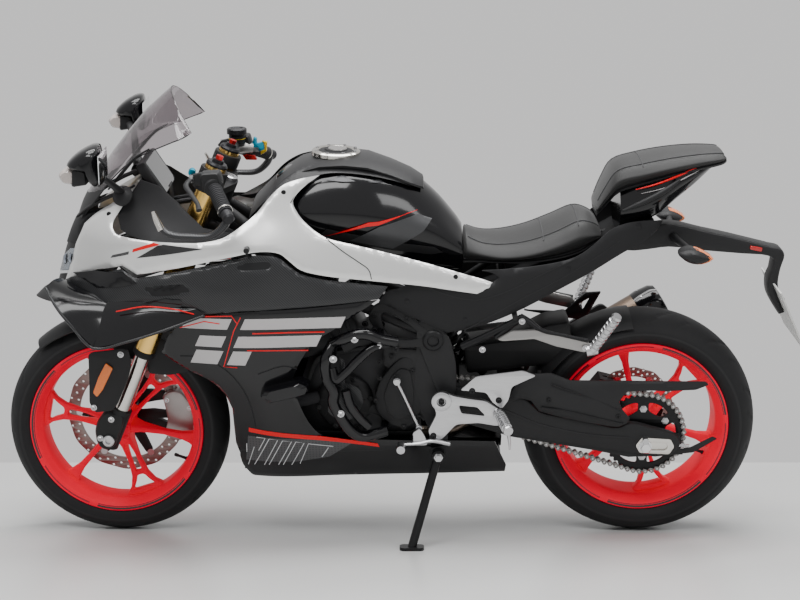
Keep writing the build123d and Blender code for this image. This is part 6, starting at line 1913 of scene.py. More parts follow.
@dataclass
class Tail:
    """Tail side panels, cowl, plate holder, lamps and signals."""

    def build(self, shop: Workshop) -> None:
        """Builds the tail group."""
        self.panels(shop)
        self.cowl(shop)
        self.holder(shop)

    def panels(self, shop: Workshop) -> None:
        """Matte panels from the frame to the tail."""
        outline = [(689, 682)]
        outline += soft_line([(700, 700), (716, 712), (737, 716), (766, 728), (799, 741), (870, 728),
                              (931, 716), (962, 726), (988, 745), (975, 756), (946, 764)], 3)
        outline += soft_line([(990, 766), (1053, 772), (1120, 782), (1179, 799), (1222, 830), (1262, 868),
                              (1300, 885), (1340, 892), (1391, 893)], 3)
        outline += soft_line([(1378, 868), (1344, 838), (1298, 812), (1215, 758), (1134, 712), (1053, 666),
                              (974, 630), (902, 608)], 3)
        outline += [(859, 602), (772, 642)]
        panel = skin([sighted(outline, -158, TAIL_SIDE)], TAIL_SIDE, 3.5, 10.0, 7.0)
        shop.piece("tail_sides", panel.both(), MATTE, 50.0, stands_for=("tail_panels",))
        cut = decal(ribbon(soft_line([(790, 735), (850, 708), (930, 690), (1010, 712), (1100, 758),
                                      (1190, 798)], 3), 2.6), TAIL_SIDE, 0.6, wall=0.4)
        seam = decal(ribbon(soft_line([(905, 612), (980, 654), (1060, 700), (1180, 764), (1290, 832)], 3),
                            2.6), TAIL_SIDE, 0.6, wall=0.4)
        shop.piece("tail_shut_lines", (cut + seam).both(), PLASTIC)
        under = loft([[(x, half * t, z - 16 + 8 * abs(t)) for t in np.linspace(-1, 1, 9)]
                      + [(x, half * t, z - 8 + 8 * abs(t)) for t in np.linspace(1, -1, 9)]
                      for x, z, half in ((905, 625, 150), (1053, 682, 148), (1215, 775, 134),
                                         (1300, 832, 112), (1380, 880, 92))])
        shop.piece("tail_undertray", under, PLASTIC, 50.0)
        screws = [lathe([(0, 6.5), (1.5, 6.5), (2.6, 4)], (x, TAIL_SIDE(x, z) + 0.5, z), LEFT, 14)
                  for x, z in ((760, 690), (905, 640), (1160, 770), (1340, 868))]
        shop.piece("tail_screws", combined(screws).both(), BLACK_METAL)

    def cowl(self, shop: Workshop) -> None:
        """Gloss tail cowl with its stripe and lamp."""
        shop.piece("cowl_shell", loft(hull_rows(between(COWL_ROWS, 5))), GLOSS, 60.0,
                   stands_for=("tail_cowl",))
        stripe = tube([(1330, -98.5, 958), (1380, -100.5, 972), (1430, -95, 990), (1480, -80, 1008),
                       (1526, -58, 1022)], [0.8, 2.2, 2.6, 2.4, 0.8], 10, 5)
        shop.piece("cowl_stripe", stripe.both(), INK_RED)
        stripe = tube([(1345, -99, 948), (1400, -100, 962), (1450, -90, 984), (1496, -74, 1004)],
                      [0.6, 1.4, 1.6, 0.8], 10, 5)
        shop.piece("cowl_pinstripe", stripe.both(), INK_GREY)
        lamp = loft([[(1470 + s * 20, -64 + 12 * s, 960 + 16 * s),
                      (1470 + s * 20, 64 - 12 * s, 960 + 16 * s),
                      (1462 + s * 20, 60 - 12 * s, 945 + 16 * s),
                      (1462 + s * 20, -60 + 12 * s, 945 + 16 * s)] for s in range(4)])
        shop.piece("tail_lamp", lamp, TAIL_RED, 40.0)
        grip = tube([(1300, -104, 905), (1350, -112, 930), (1400, -112, 958), (1440, -100, 984)],
                    [3, 7, 7, 3], 14, 5)
        shop.piece("grab_recess", grip.both(), PLASTIC)

    def holder(self, shop: Workshop) -> None:
        """Plate holder arm, plate, lamps and signals."""
        outline = soft_line([(1288, 790), (1330, 776), (1377, 779), (1433, 786), (1528, 776), (1623, 768),
                             (1690, 762), (1704, 752)], 3)
        outline += soft_line([(1700, 722), (1692, 700), (1694, 664), (1704, 640), (1726, 604)], 3)
        outline += [(1744, 611)]
        outline += soft_line([(1726, 650), (1719, 690), (1724, 730), (1732, 764), (1722, 781), (1690, 789),
                              (1600, 812), (1520, 830), (1454, 846), (1424, 848), (1382, 842), (1300, 836)],
                             3)
        arm = plate([outline], 0, 56, 9)
        shop.piece("holder_arm", arm, PLASTIC, 40.0, stands_for=("plate_holder",))
        ribs = [tube([(1440, y, 842), (1560, y, 818), (1690, y, 786)], 3.2, 10, 4) for y in (-20, 0, 20)]
        shop.piece("holder_ribs", combined(ribs), PLASTIC, 40.0)
        sheet = slab([(1703.5, 690), (1708, 691), (1778, 537), (1773, 535)], 0.8, 0, 218, 1)
        shop.piece("number_plate", sheet, PLATE, 40.0)
        bolts = [lathe([(-2, 4), (5, 4), (7, 2)], (1716, y, 665), (0.91, 0, 0.41), 12) for y in (-82, 82)]
        shop.piece("plate_bolts", combined(bolts), BOLT, 40.0)
        reflector = lathe([(0, 20), (5, 20), (8, 17)], (1712, 0, 722), (0.98, 0, -0.1), 28)
        shop.piece("rear_reflector", reflector, TAIL_RED, 40.0)
        small = slab([(1640, 792), (1672, 786), (1670, 776), (1640, 782)], 3, 0, 64, 1.5)
        shop.piece("plate_reflectors", small, TAIL_RED, 40.0)
        body = soft_line([(1424, 822), (1446, 834), (1474, 832), (1508, 810), (1482, 797), (1446, 802)], 3,
                         True)
        lamps = pod(body, ((-142, 0.3), (-148, 0.62), (-165, 0.86), (-195, 1.0), (-212, 0.92), (-222, 0.5)),
                    (1462, 817))
        shop.piece("signal_bodies", lamps.both(), PLASTIC, 50.0)
        glass = pod(body, ((-168, 0.9), (-184, 0.99), (-202, 0.99), (-214, 0.8)), (1464, 815))
        glass = glass.bent(lambda x, y, z: (x + 3.5, y, z - 1))
        shop.piece("signal_lenses", glass.both(), AMBER, 50.0)
        stalk = tube([(1440, -20, 815), (1452, -90, 816), (1462, -150, 817)], [12, 9, 8], 16, 4)
        shop.piece("signal_stalks", stalk.both(), PLASTIC, 50.0)


def screws(places: Sequence[Point], radius: float = 6.5, axis: Point = LEFT) -> Shape:
    """Makes hexagon screw heads with a washer at each place.

    Args:
        places: Seat of each head.
        radius: Radius of the head.
        axis: Direction that the heads point in.

    Returns:
        All heads as one shape.
    """
    heads = []
    for place in places:
        heads.append(lathe([(-1.0, radius * 1.35), (1.2, radius * 1.35), (1.6, radius * 1.1)], place, axis,
                           20))
        heads.append(lathe([(1.0, radius), (radius * 0.75, radius), (radius * 0.9, radius * 0.8),
                            (radius * 0.9, radius * 0.45), (radius * 0.35, radius * 0.42)], place, axis, 6))
    return combined(heads)


@dataclass
class Engine:
    """Engine block with covers, hoses, crash bars and exhaust."""

    def build(self, shop: Workshop) -> None:
        """Builds the engine group."""
        self.block(shop)
        self.covers(shop)
        self.bars(shop)
        self.cooling(shop)
        self.exhaust(shop)

    def block(self, shop: Workshop) -> None:
        """Crankcase, cylinder block with its ribs, sump and head."""
        case = slab([(470, 345), (500, 312), (790, 312), (802, 420), (800, 520), (720, 560), (530, 522)],
                    26, 0, 216, 14)
        cylinder = slab([(450, 500), (660, 540), (622, 624), (526, 640), (422, 560)], 18, 0, 196, 10)
        sump = slab([(510, 316), (548, 266), (762, 266), (782, 316)], 14, 0, 150, 10)
        ribs = [plate([[(470 + s * 24, 548 + s * 5), (476 + s * 24, 549 + s * 5),
                        (450 + s * 24, 600 + s * 8), (444 + s * 24, 599 + s * 8)]], 0, 204, 1.5)
                for s in range(7)]
        shop.piece("engine_block", case + cylinder + sump + combined(ribs), ENGINE, 40.0,
                   stands_for=("engine",))
        seams = plate([rounded([(466, 348), (498, 308), (792, 308), (806, 420), (804, 522), (722, 564),
                                (526, 526)], 28), rounded([(474, 352), (502, 318), (786, 318), (796, 420),
                                                           (794, 516), (718, 554), (534, 516)], 24)], 0,
                      226, 1.5)
        shop.piece("case_flanges", seams, CAST_BLACK, 40.0)

    def covers(self, shop: Workshop) -> None:
        """Round side covers, sprocket cover, bolts and the clutch arm."""
        round_covers = []
        for side, x, z, radius in ((-1, 600, 402, 74), (-1, 674, 352, 44), (1, 660, 412, 80),
                                   (1, 672, 352, 46)):
            round_covers.append(lathe([(0, radius), (10, radius), (16, radius - 3), (22, radius - 12),
                                       (24, radius * 0.55), (27, radius * 0.5), (28, 1)],
                                      (x, side * 106, z), (0, side, 0), 48))
        ribs = []
        for side, x, z, radius in ((-1, 600, 402, 66), (1, 660, 412, 72)):
            for step in range(9):
                angle = math.radians(40 * step + 12)
                near, far = polar(angle, radius * 0.5, (x, z)), polar(angle, radius * 0.92, (x, z))
                ribs.append(tube([(near[0], side * 131, near[1]), (far[0], side * 126, far[1])], 2.6, 8, 1))
        shop.piece("engine_covers", combined(round_covers + ribs), CAST_BLACK, 35.0)
        chain_cover = slab([(676, 424), (690, 470), (722, 512), (748, 535), (776, 530), (790, 470),
                            (800, 400), (786, 358), (752, 340), (716, 352), (684, 384)], 14, -134, 30, 6)
        inner = slab([(700, 430), (716, 478), (742, 506), (768, 500), (778, 440), (772, 380), (740, 366),
                      (712, 384)], 10, -151, 6, 2.5)
        shop.piece("sprocket_cover", chain_cover + inner, CAST_BLACK, 35.0)
        patch = slab([(566, 444), (604, 462), (640, 446), (650, 408), (628, 366), (590, 352), (556, 380)],
                     12, -136, 3, 1)
        shop.piece("woven_engine_patch", patch, CARBON, 35.0)
        places = [(x, -150, z) for x, z in ((691, 523), (690, 479), (681, 418), (720, 535), (774, 498),
                                            (734, 474), (752, 346), (790, 372))]
        rim = [polar(math.radians(v), 67, (600, 402)) for v in range(10, 370, 60)]
        places += [(x, -128, z) for x, z in rim]
        shop.piece("engine_screws", screws(places, 5.0), BLACK_METAL, 30.0)
        rim = [polar(math.radians(v), 73, (660, 412)) for v in range(20, 380, 45)]
        shop.piece("right_screws", screws([(x, 128, z) for x, z in rim], 5.0, ACROSS), BOLT, 30.0)
        rod = tube([(734, -178, 480), (754, -180, 438), (790, -182, 358)], 4.0, 12, 4)
        ends = combined(lathe([(-7, 8), (7, 8), (7, 3.5)], place, ACROSS, 16)
                        for place in ((734, -178, 480), (790, -182, 358)))
        shaft = lathe([(0, 9), (30, 9)], (734, -178, 480), ACROSS, 20)
        shop.piece("shift_rod", rod + ends + shaft, ALLOY, 30.0)

    def bars(self, shop: Workshop) -> None:
        """Black protective bars in front of the engine, with their plates and screws."""
        loops = [tube([(574, -196, 588), (602, -216, 606), (632, -222, 620), (657, -222, 622),
                       (690, -212, 606), (732, -196, 592)], 14, 20, 5),
                 tube([(574, -196, 588), (560, -214, 560), (557, -218, 513), (577, -218, 467),
                       (575, -214, 440), (592, -208, 400), (620, -200, 356), (648, -190, 338),
                       (708, -172, 345)], 14, 20, 5),
                 tube([(574, -214, 530), (584, -222, 502), (606, -224, 520), (640, -222, 556),
                       (672, -214, 582), (696, -204, 588)], 11, 18, 5),
                 tube([(606, -212, 470), (618, -212, 430), (642, -204, 392), (662, -192, 366)], 12, 18, 5)]
        feet = [tube([(x, y, z), (x + 4, -108, z + 2)], 10, 16, 1)
                for x, y, z in ((690, -210, 604), (574, -212, 560), (700, -174, 345), (580, -212, 440))]
        shop.piece("crash_bars", combined(loops + feet).both(), GLOSS, 40.0, stands_for=("engine_guards",))
        plates = slab([(588, 600), (650, 632), (706, 608), (724, 584), (690, 576), (640, 586), (604, 566)],
                      9, -205, 8, 2.5)
        shop.piece("bar_plates", plates.both(), CAST_BLACK, 35.0)
        spots = [(630, -232, 612), (690, -218, 604), (577, -232, 560), (690, -212, 588), (594, -222, 412)]
        shop.piece("bar_screws", screws(spots, 7.0).both(), BOLT, 30.0)
        strips = slab([(590, 548), (604, 540), (603, 482), (622, 430), (652, 380), (660, 362), (646, 358),
                       (614, 420), (592, 470)], 4, -186, 3, 1)
        shop.piece("woven_strips", strips.both(), CARBON, 35.0)

    def cooling(self, shop: Workshop) -> None:
        """Radiator core with its tanks, fan and hoses."""
        core = [(298, 672), (330, 674), (370, 438), (338, 436)]
        shop.piece("radiator_core", plate([core], 0, 300, 1), RAD, 40.0, stands_for=("radiator",))
        tanks = slab([(296, 680), (334, 682), (376, 430), (338, 428)], 8, -160, 24, 4)
        shop.piece("radiator_tanks", tanks.both(), CAST_BLACK, 40.0)
        hose = tube([(330, -160, 668), (380, -158, 664), (430, -140, 640), (470, -118, 600)], 15, 20, 6)
        low = tube([(366, -150, 446), (420, -166, 430), (480, -160, 420), (530, -132, 420)], 15, 20, 6)
        shop.piece("coolant_hoses", hose + low, GRIP, 40.0)
        clips = [lathe([(-6, 17.5), (6, 17.5)], place, axis, 24)
                 for place, axis in (((386, -157, 662), (1, 0, -0.25)), ((470, -162, 421), (1, 0, -0.1)))]
        shop.piece("hose_clips", combined(clips), ALLOY, 40.0)

    def exhaust(self, shop: Workshop) -> None:
        """Header pipes, muffler with its cap, outlet, bands and rivets, and the heat shield."""
        pipe = tube([(440, -40, 532), (404, -44, 500), (386, -40, 420), (392, -30, 320), (430, -10, 258),
                     (500, 10, 240), (620, 30, 236)], 17, 24, 6)
        other = tube([(440, 40, 532), (404, 44, 500), (386, 48, 420), (392, 50, 320), (430, 48, 262),
                      (500, 46, 241), (620, 50, 238), (760, 56, 244), (866, 64, 244), (960, 120, 280),
                      (1064, 186, 332)], 17, 24, 6)
        shop.piece("header_pipes", pipe + other, PIPE, 40.0, stands_for=("exhaust",))
        start, end = Vector((1060, 185, 330)), Vector((1460, 225, 560))
        run, length = way(start, end)
        shell = lathe([(0, 26), (16, 34), (60, 50), (110, 54), (length - 70, 55), (length - 46, 55)], start,
                      run, 44)
        shop.piece("muffler_sleeve", shell, BRONZE, 40.0, stands_for=("muffler",))
        cap = lathe([(length - 66, 56), (length - 50, 57.5), (length - 12, 54), (length + 2, 46),
                     (length + 4, 40), (length - 2, 31), (length - 30, 30)], start, run, 44)
        shop.piece("muffler_cap", cap, GLOSS, 35.0)
        outlet = lathe([(length - 40, 27), (length + 1, 27), (length + 1, 23), (length - 40, 23)], start,
                       run, 36, closed=True)
        band = lathe([(118, 55.8), (136, 55.8)], start, run, 44)
        band2 = lathe([(26, 40), (38, 45)], start, run, 36)
        shop.piece("muffler_bands", outlet + band + band2, PIPE, 35.0)
        rivets = []
        across = run.orthogonal().normalized()
        for step in range(10):
            turned = Matrix.Rotation(math.radians(36 * step), 3, run) @ across
            rivets.append(lathe([(-1, 3), (1.6, 2.6), (2.2, 1)],
                                tuple(start + run * (length - 44) + turned * 56), tuple(turned), 10))
        shop.piece("muffler_rivets", combined(rivets), BOLT, 35.0)
        outline = rounded([(1120, 430), (1300, 545), (1330, 520), (1150, 400)], 14)
        shield = plate([outline], 252, 4, 1.5) + plate([outline], 246, 10, 1.5)
        shop.piece("heat_shield", shield, PLASTIC, 35.0)


@dataclass
class Chassis:
    """Frame dressing, swingarm, shock, chain guard and hugger."""

    def build(self, shop: Workshop) -> None:
        """Builds the chassis group."""
        self.frame(shop)
        self.arm(shop)
        self.guard(shop)
        self.hugger(shop)
        self.shock(shop)

    def frame(self, shop: Workshop) -> None:
        """Gussets, pivot cover and screws laid over the frame."""
        tri_outer = [(672, 668), (700, 684), (760, 650), (826, 596), (846, 574), (826, 552), (792, 562),
                     (732, 560), (690, 590), (660, 640)]
        tri = plate([rounded(tri_outer, 10), rounded([(694, 652), (712, 656), (770, 618), (800, 588),
                                                      (762, 582), (720, 584), (698, 616)], 8)], -148, 18, 4)
        shop.piece("frame_gussets", tri.both(), CAST_BLACK, 35.0)
        hub = lathe([(0, 27), (6, 27), (9, 23), (9, 15), (4, 13), (4, 0.5)], (825, -152, 581), LEFT, 40)
        shop.piece("frame_hubs", hub.both(), BLACK_METAL, 35.0)
        spots = [(654, -150, 623), (678, -158, 611), (677, -158, 650), (732, -158, 560), (760, -158, 640),
                 (846, -150, 430)]
        shop.piece("frame_screws", screws(spots, 6.0).both(), BLACK_METAL, 30.0)
        side = slab([(782, 632), (830, 624), (868, 586), (884, 520), (886, 450), (870, 420), (838, 440),
                     (806, 520), (784, 580)], 18, -150, 10, 3)
        shop.piece("pivot_covers", side.both(), PLASTIC, 35.0)
        cover = skin([[(700, 560), (760, 552), (852, 548), (876, 474), (866, 400), (840, 372), (800, 360),
                       (780, 420), (740, 478), (700, 510)]],
                     Surface(((700, 560, -142), (760, 550, -146), (852, 548, -150), (876, 474, -150),
                              (840, 372, -148), (800, 360, -146), (740, 478, -142), (800, 460, -152))), 3,
                     9, 4)
        shop.piece("heel_covers", cover.both(), PLASTIC, 40.0)

    def arm(self, shop: Workshop) -> None:
        """Swingarm skin, axle plate with its nut and adjuster."""
        outline = soft_line([(1022, 417), (1057, 417), (1080, 400), (1098, 382), (1160, 366), (1240, 350),
                             (1298, 338), (1331, 349), (1390, 336), (1451, 316), (1462, 298), (1459, 280)],
                            3)
        outline += soft_line([(1439, 260), (1380, 262), (1300, 274), (1200, 290), (1100, 305), (1028, 318),
                              (960, 336), (900, 352), (860, 364)], 3)
        outline += [(812, 398), (812, 448), (900, 448), (970, 436)]
        skinned = plate([outline], -123.5, 27, 6)
        shop.piece("arm_left", skinned, CAST_BLACK, 40.0)
        right = plate([outline], 123.5, 27, 6)
        shop.piece("arm_right", right, CAST_BLACK, 40.0)
        groove = plate([ribbon(soft_line([(900, 420), (1010, 386), (1100, 348), (1240, 318), (1330, 312)],
                                         4), 5)], -137.6, 2.0, 0.6)
        shop.piece("arm_groove", groove, PLASTIC, 40.0)
        hexagon = rounded([(1346, 292), (1362, 314), (1436, 309), (1446, 288), (1433, 267), (1357, 271)], 5)
        slot = rounded([(1366, 300), (1424, 297), (1430, 288), (1424, 279), (1368, 279)], 4)
        axle_plate = plate([hexagon, slot], -138.5, 7, 1.5) + plate([hexagon], -136, 4, 1)
        shop.piece("axle_plates", axle_plate.both(), SLIDER, 35.0)
        screw = tube([(1444, -128, 288), (1486, -128, 285)], 4.4, 12, 1)
        head = lathe([(0, 8), (8, 8), (8, 1)], (1464, -128, 286.5), (1, 0, -0.06), 6)
        shop.piece("chain_adjusters", (screw + head).both(), BOLT, 30.0)
        washer = lathe([(0, 17), (3, 17), (3, 10.5)], (1371, -142, 289), LEFT, 32)
        nut = lathe([(3, 14.5), (13, 14.5), (15, 12.5), (15, 10.4)], (1371, -142, 289), LEFT, 6)
        shop.piece("axle_nuts", (washer + nut).both(), CHROME, 25.0)

    def guard(self, shop: Workshop) -> None:
        """Creased chain cover with its lower shield."""
        outer = [(1018, 405), (1030, 444), (1052, 476), (1064, 484), (1126, 486), (1174, 468), (1250, 465),
                 (1380, 462), (1522, 460), (1530, 452), (1497, 439), (1417, 436), (1386, 438), (1321, 437),
                 (1300, 412), (1310, 389), (1330, 364), (1322, 350), (1300, 340), (1240, 351), (1160, 366),
                 (1098, 384), (1076, 414), (1050, 420)]
        levels = ((1169, 445, -150), (1305, 390, -147), (1163, 390, -150), (1100, 450, -150),
                  (1052, 476, -140), (1018, 405, -140), (1126, 486, -138), (1250, 465, -137),
                  (1400, 462, -134), (1522, 460, -132), (1417, 436, -136), (1321, 437, -140),
                  (1322, 350, -140), (1160, 366, -142), (1098, 384, -142), (1240, 420, -152),
                  (1230, 380, -150))
        cover = skin([rounded(outer, 4)], Surface(levels), 4.0, 9.0, 6.0)
        shop.piece("chain_cover", cover, PLASTIC, 28.0, stands_for=("chain_guard",))
        crease = [tube([(1126, -150.5, 462), (1169, -152.0, 446), (1240, -150, 420), (1305, -148, 390)],
                       2.0, 8, 4), tube([(1100, -150, 398), (1163, -151.0, 391), (1240, -150, 372),
                                         (1312, -143, 352)], 2.0, 8, 4)]
        shop.piece("chain_cover_edges", combined(crease), MATTE, 28.0)
        shop.piece("chain_cover_screws", screws([(1120, -151, 420), (1298, -146, 374)], 5.5), BLACK_METAL,
                   30.0)
        fin = slab([(1290, 272), (1400, 250), (1500, 262), (1560, 300), (1548, 306), (1492, 276),
                    (1400, 264), (1300, 280)], 4, -116, 4, 1)
        shop.piece("chain_fin", fin, PLASTIC, 35.0)

    def hugger(self, shop: Workshop) -> None:
        """Mudguard over the front of the rear tyre."""
        rings = []
        for degrees in range(96, 186, 6):
            angle = math.radians(degrees)
            rise = 322 + 2 * math.sin(math.radians((degrees - 96) * 2))
            ring = []
            for t in np.linspace(-1, 1, 13):
                radius = rise - 30 * abs(t) ** 2.6
                ring.append((1370.6 + radius * math.cos(angle), 78 * t,
                             305.7 - 12 + radius * math.sin(angle)))
            inner = [(x + 3 * math.cos(angle + math.pi), y * 0.96, z + 3 * math.sin(angle + math.pi))
                     for x, y, z in ring[::-1]]
            rings.append(ring + inner)
        shop.piece("rear_hugger", loft(rings), PLASTIC, 50.0)
        stays = [tube([(1100, side * 76, 470), (1090, side * 100, 440), (1085, side * 118, 400)], 8, 14, 3,
                      flat=0.6) for side in (-1, 1)]
        shop.piece("hugger_stays", combined(stays), PLASTIC, 50.0)

    def shock(self, shop: Workshop) -> None:
        """Coil spring over its damper."""
        foot, head = Vector((955, 0, 446)), Vector((850, 0, 584))
        run = (head - foot).normalized()
        side = run.orthogonal().normalized()
        other = run.cross(side)
        length = (head - foot).length - 40
        coil = []
        turns, sides = 7, 16
        for step in range(turns * sides + 1):
            angle = 2 * math.pi * step / sides
            centre = foot + run * (20 + length * step / (turns * sides))
            coil.append(tuple(centre + side * 27 * math.cos(angle) + other * 27 * math.sin(angle)))
        shop.piece("shock_spring", tube(coil, 5.2, 10, 1), BLACK_METAL, 60.0)
        body = lathe([(-14, 12), (12, 16), (20, 30), (26, 31), (28, 16), (length * 0.5, 15),
                      (length * 0.55, 9), (length + 14, 9), (length + 16, 31), (length + 26, 30),
                      (length + 34, 15), (length + 50, 12)], foot, run, 32)
        shop.piece("shock_body", body, BLACK_METAL, 40.0, stands_for=("shock",))


@dataclass
class Controls:
    """Footrests, heel guards, pedals, pillion pegs and the side stand."""

    def build(self, shop: Workshop) -> None:
        """Builds the foot controls."""
        self.brackets(shop)
        self.pedals(shop)
        self.pillion(shop)
        self.stand(shop)

    def brackets(self, shop: Workshop) -> None:
        """Machined brackets with heel guards and pegs."""
        outline = rounded([(846, 460), (878, 446), (924, 438), (957, 434), (1006, 402), (1022, 372),
                           (984, 366), (940, 374), (884, 370), (848, 330), (826, 322), (812, 352),
                           (834, 398), (820, 436)], 9)
        window = rounded([(890, 421), (936, 416), (956, 394), (897, 401)], 5)
        bracket = plate([outline, window], -186, 12, 2.5)
        shop.piece("foot_brackets", bracket.both(), ALLOY, 35.0, stands_for=("footrests",))
        pivot = lathe([(0, 25), (8, 25), (10, 22), (10, 12), (6, 10), (6, 0.5)], (846, -191, 434), LEFT, 36)
        shop.piece("foot_pivots", pivot.both(), ALLOY, 35.0)
        guard = slab([(892, 462), (931, 499), (1049, 515), (1084, 501), (1022, 471), (1015, 436),
                      (998, 412), (974, 430), (958, 456)], 8, -190, 6, 2)
        shop.piece("heel_guards", guard.both(), ALLOY, 35.0)
        spots = [(923, -193, 461), (990, -193, 436), (826, -193, 340), (846, -200, 434)]
        shop.piece("foot_screws", screws(spots, 6.0).both(), BLACK_METAL, 30.0)
        pegs = []
        for side in (-1, 1):
            start, end = Vector((988, side * 186, 401)), Vector((1010, side * 272, 386))
            run, length = way(start, end)
            profile = [(0, 9), (6, 14)]
            for ring in range(7):
                base = 12 + ring * (length - 22) / 7
                profile += [(base, 14), (base + 5, 14), (base + 6, 11.5), (base + 9, 11.5)]
            profile += [(length - 4, 14), (length, 12), (length, 0.5)]
            pegs.append(lathe(profile, start, run, 20))
            pegs.append(tube([end - run * 8, (1013, side * 262, 360), (1015, side * 262, 334)], [5, 4, 2.5],
                             10, 3))
        shop.piece("foot_pegs", combined(pegs), ALLOY, 35.0)

    def pedals(self, shop: Workshop) -> None:
        """Shift lever on the left, brake pedal on the right."""
        lever = tube([(868, -199, 322), (820, -199, 330), (792, -200, 324), (750, -202, 322)], [9, 8, 8, 7],
                     16, 5, flat=0.6)
        link = slab([(776, 316), (774, 352), (792, 364), (806, 340), (812, 318)], 7, -197, 7, 2)
        toe = lathe([(-4, 8), (2, 10.5), (10, 9), (18, 10.5), (26, 9), (34, 10.5), (36, 1)],
                    (744, -204, 321), LEFT, 20)
        shop.piece("shift_lever", lever + link + toe, ALLOY, 35.0, stands_for=("pedals",))
        brake = tube([(868, 199, 322), (820, 199, 326), (780, 202, 322), (744, 206, 326)], [9, 8, 8, 7], 16,
                     5, flat=0.6)
        pad = lathe([(-8, 8), (0, 12), (26, 12), (28, 1)], (742, 208, 328), ACROSS, 20)
        shop.piece("brake_pedal", brake + pad, ALLOY, 35.0)
        master = tube([(870, 168, 470), (870, 168, 400)], [13, 13], 20, 2)
        rod = tube([(870, 168, 400), (864, 176, 350), (860, 190, 326)], 5, 12, 3)
        shop.piece("brake_master", master + rod, CAST_BLACK, 35.0)

    def pillion(self, shop: Workshop) -> None:
        """Pillion brackets and folded pegs."""
        arm = slab([(984, 590), (1020, 612), (1078, 616), (1120, 610), (1207, 590), (1222, 574),
                    (1206, 556), (1133, 572), (1078, 592), (999, 586)], 6, -171, 12, 3)
        shop.piece("pillion_brackets", arm.both(), CALIPER, 35.0, stands_for=("pillion_pegs",))
        struts = tube([(898, -140, 558), (982, -150, 602), (1048, -158, 642)], 10, 16, 4)
        struts += tube([(1042, -160, 646), (1066, -166, 634), (1096, -172, 614), (1150, -174, 601),
                        (1212, -174, 587)], [11, 10, 7, 5, 6], 14, 4, flat=0.8)
        struts += tube([(982, -160, 588), (1012, -158, 612), (1042, -158, 636)], 6, 12, 3)
        shop.piece("pillion_struts", struts.both(), BLACK_METAL, 35.0)
        triangle = plate([rounded([(1076, 556), (1187, 551), (1244, 605), (1287, 608), (1244, 526),
                                   (1156, 538)], 5), rounded([(1226, 572), (1256, 590), (1238, 556)], 4)],
                         158, 8, 2)
        shop.piece("exhaust_hanger", triangle, BLACK_METAL, 35.0)
        box = slab([(905, 528), (1050, 548), (1118, 585), (1180, 596), (1190, 520), (1160, 480),
                    (1059, 470), (914, 452)], 12, 0, 118, 10)
        shop.piece("inner_housing", box, CAST_BLACK, 35.0)
        pegs = []
        for side in (-1, 1):
            start, end = Vector((1222, side * 176, 562)), Vector((1276, side * 232, 672))
            run, length = way(start, end)
            profile = [(-8, 9), (4, 14)]
            for ring in range(8):
                base = 10 + ring * (length - 20) / 8
                profile += [(base, 13.5), (base + 7, 13.5), (base + 8, 11), (base + 12, 11)]
            profile += [(length - 6, 13.5), (length, 11), (length, 0.5)]
            pegs.append(lathe(profile, start, run, 18))
            pegs.append(lathe([(-14, 15), (14, 15), (14, 6)], (1222, side * 176, 564), (0.9, 0, 0.2), 20))
        shop.piece("pillion_peg_pads", combined(pegs), ALLOY, 35.0)
        spots = [(1046, -180, 640), (948, -180, 566), (1206, -180, 570)]
        shop.piece("pillion_screws", screws(spots, 6.0).both(), BOLT, 30.0)

    def stand(self, shop: Workshop) -> None:
        """Bolt head at the stand's hinge."""
        bolt = lathe([(0, 12), (3, 12), (3, 9), (10, 9), (10, 1)], (840, -166, 270), LEFT, 6)
        shop.piece("stand_bolt", bolt, BOLT, 30.0)


LEG_LEAN = math.atan(0.373 / 0.928)
LEG_AXIS = (math.sin(LEG_LEAN), 0.0, math.cos(LEG_LEAN))
LEGS = (-100, 100)


def on_leg(rise: float, side: float, ahead: float = 0.0) -> Point:
    """Returns a point along a fork leg.

    Args:
        rise: Distance above the wheel axle along the leg.
        side: Place across the machine.
        ahead: Distance behind the leg line, at right angles to it.

    Returns:
        The point.
    """
    sine, cosine = math.sin(LEG_LEAN), math.cos(LEG_LEAN)
    return rise * sine + ahead * cosine, side, FRONT_AXLE[2] + rise * cosine - ahead * sine


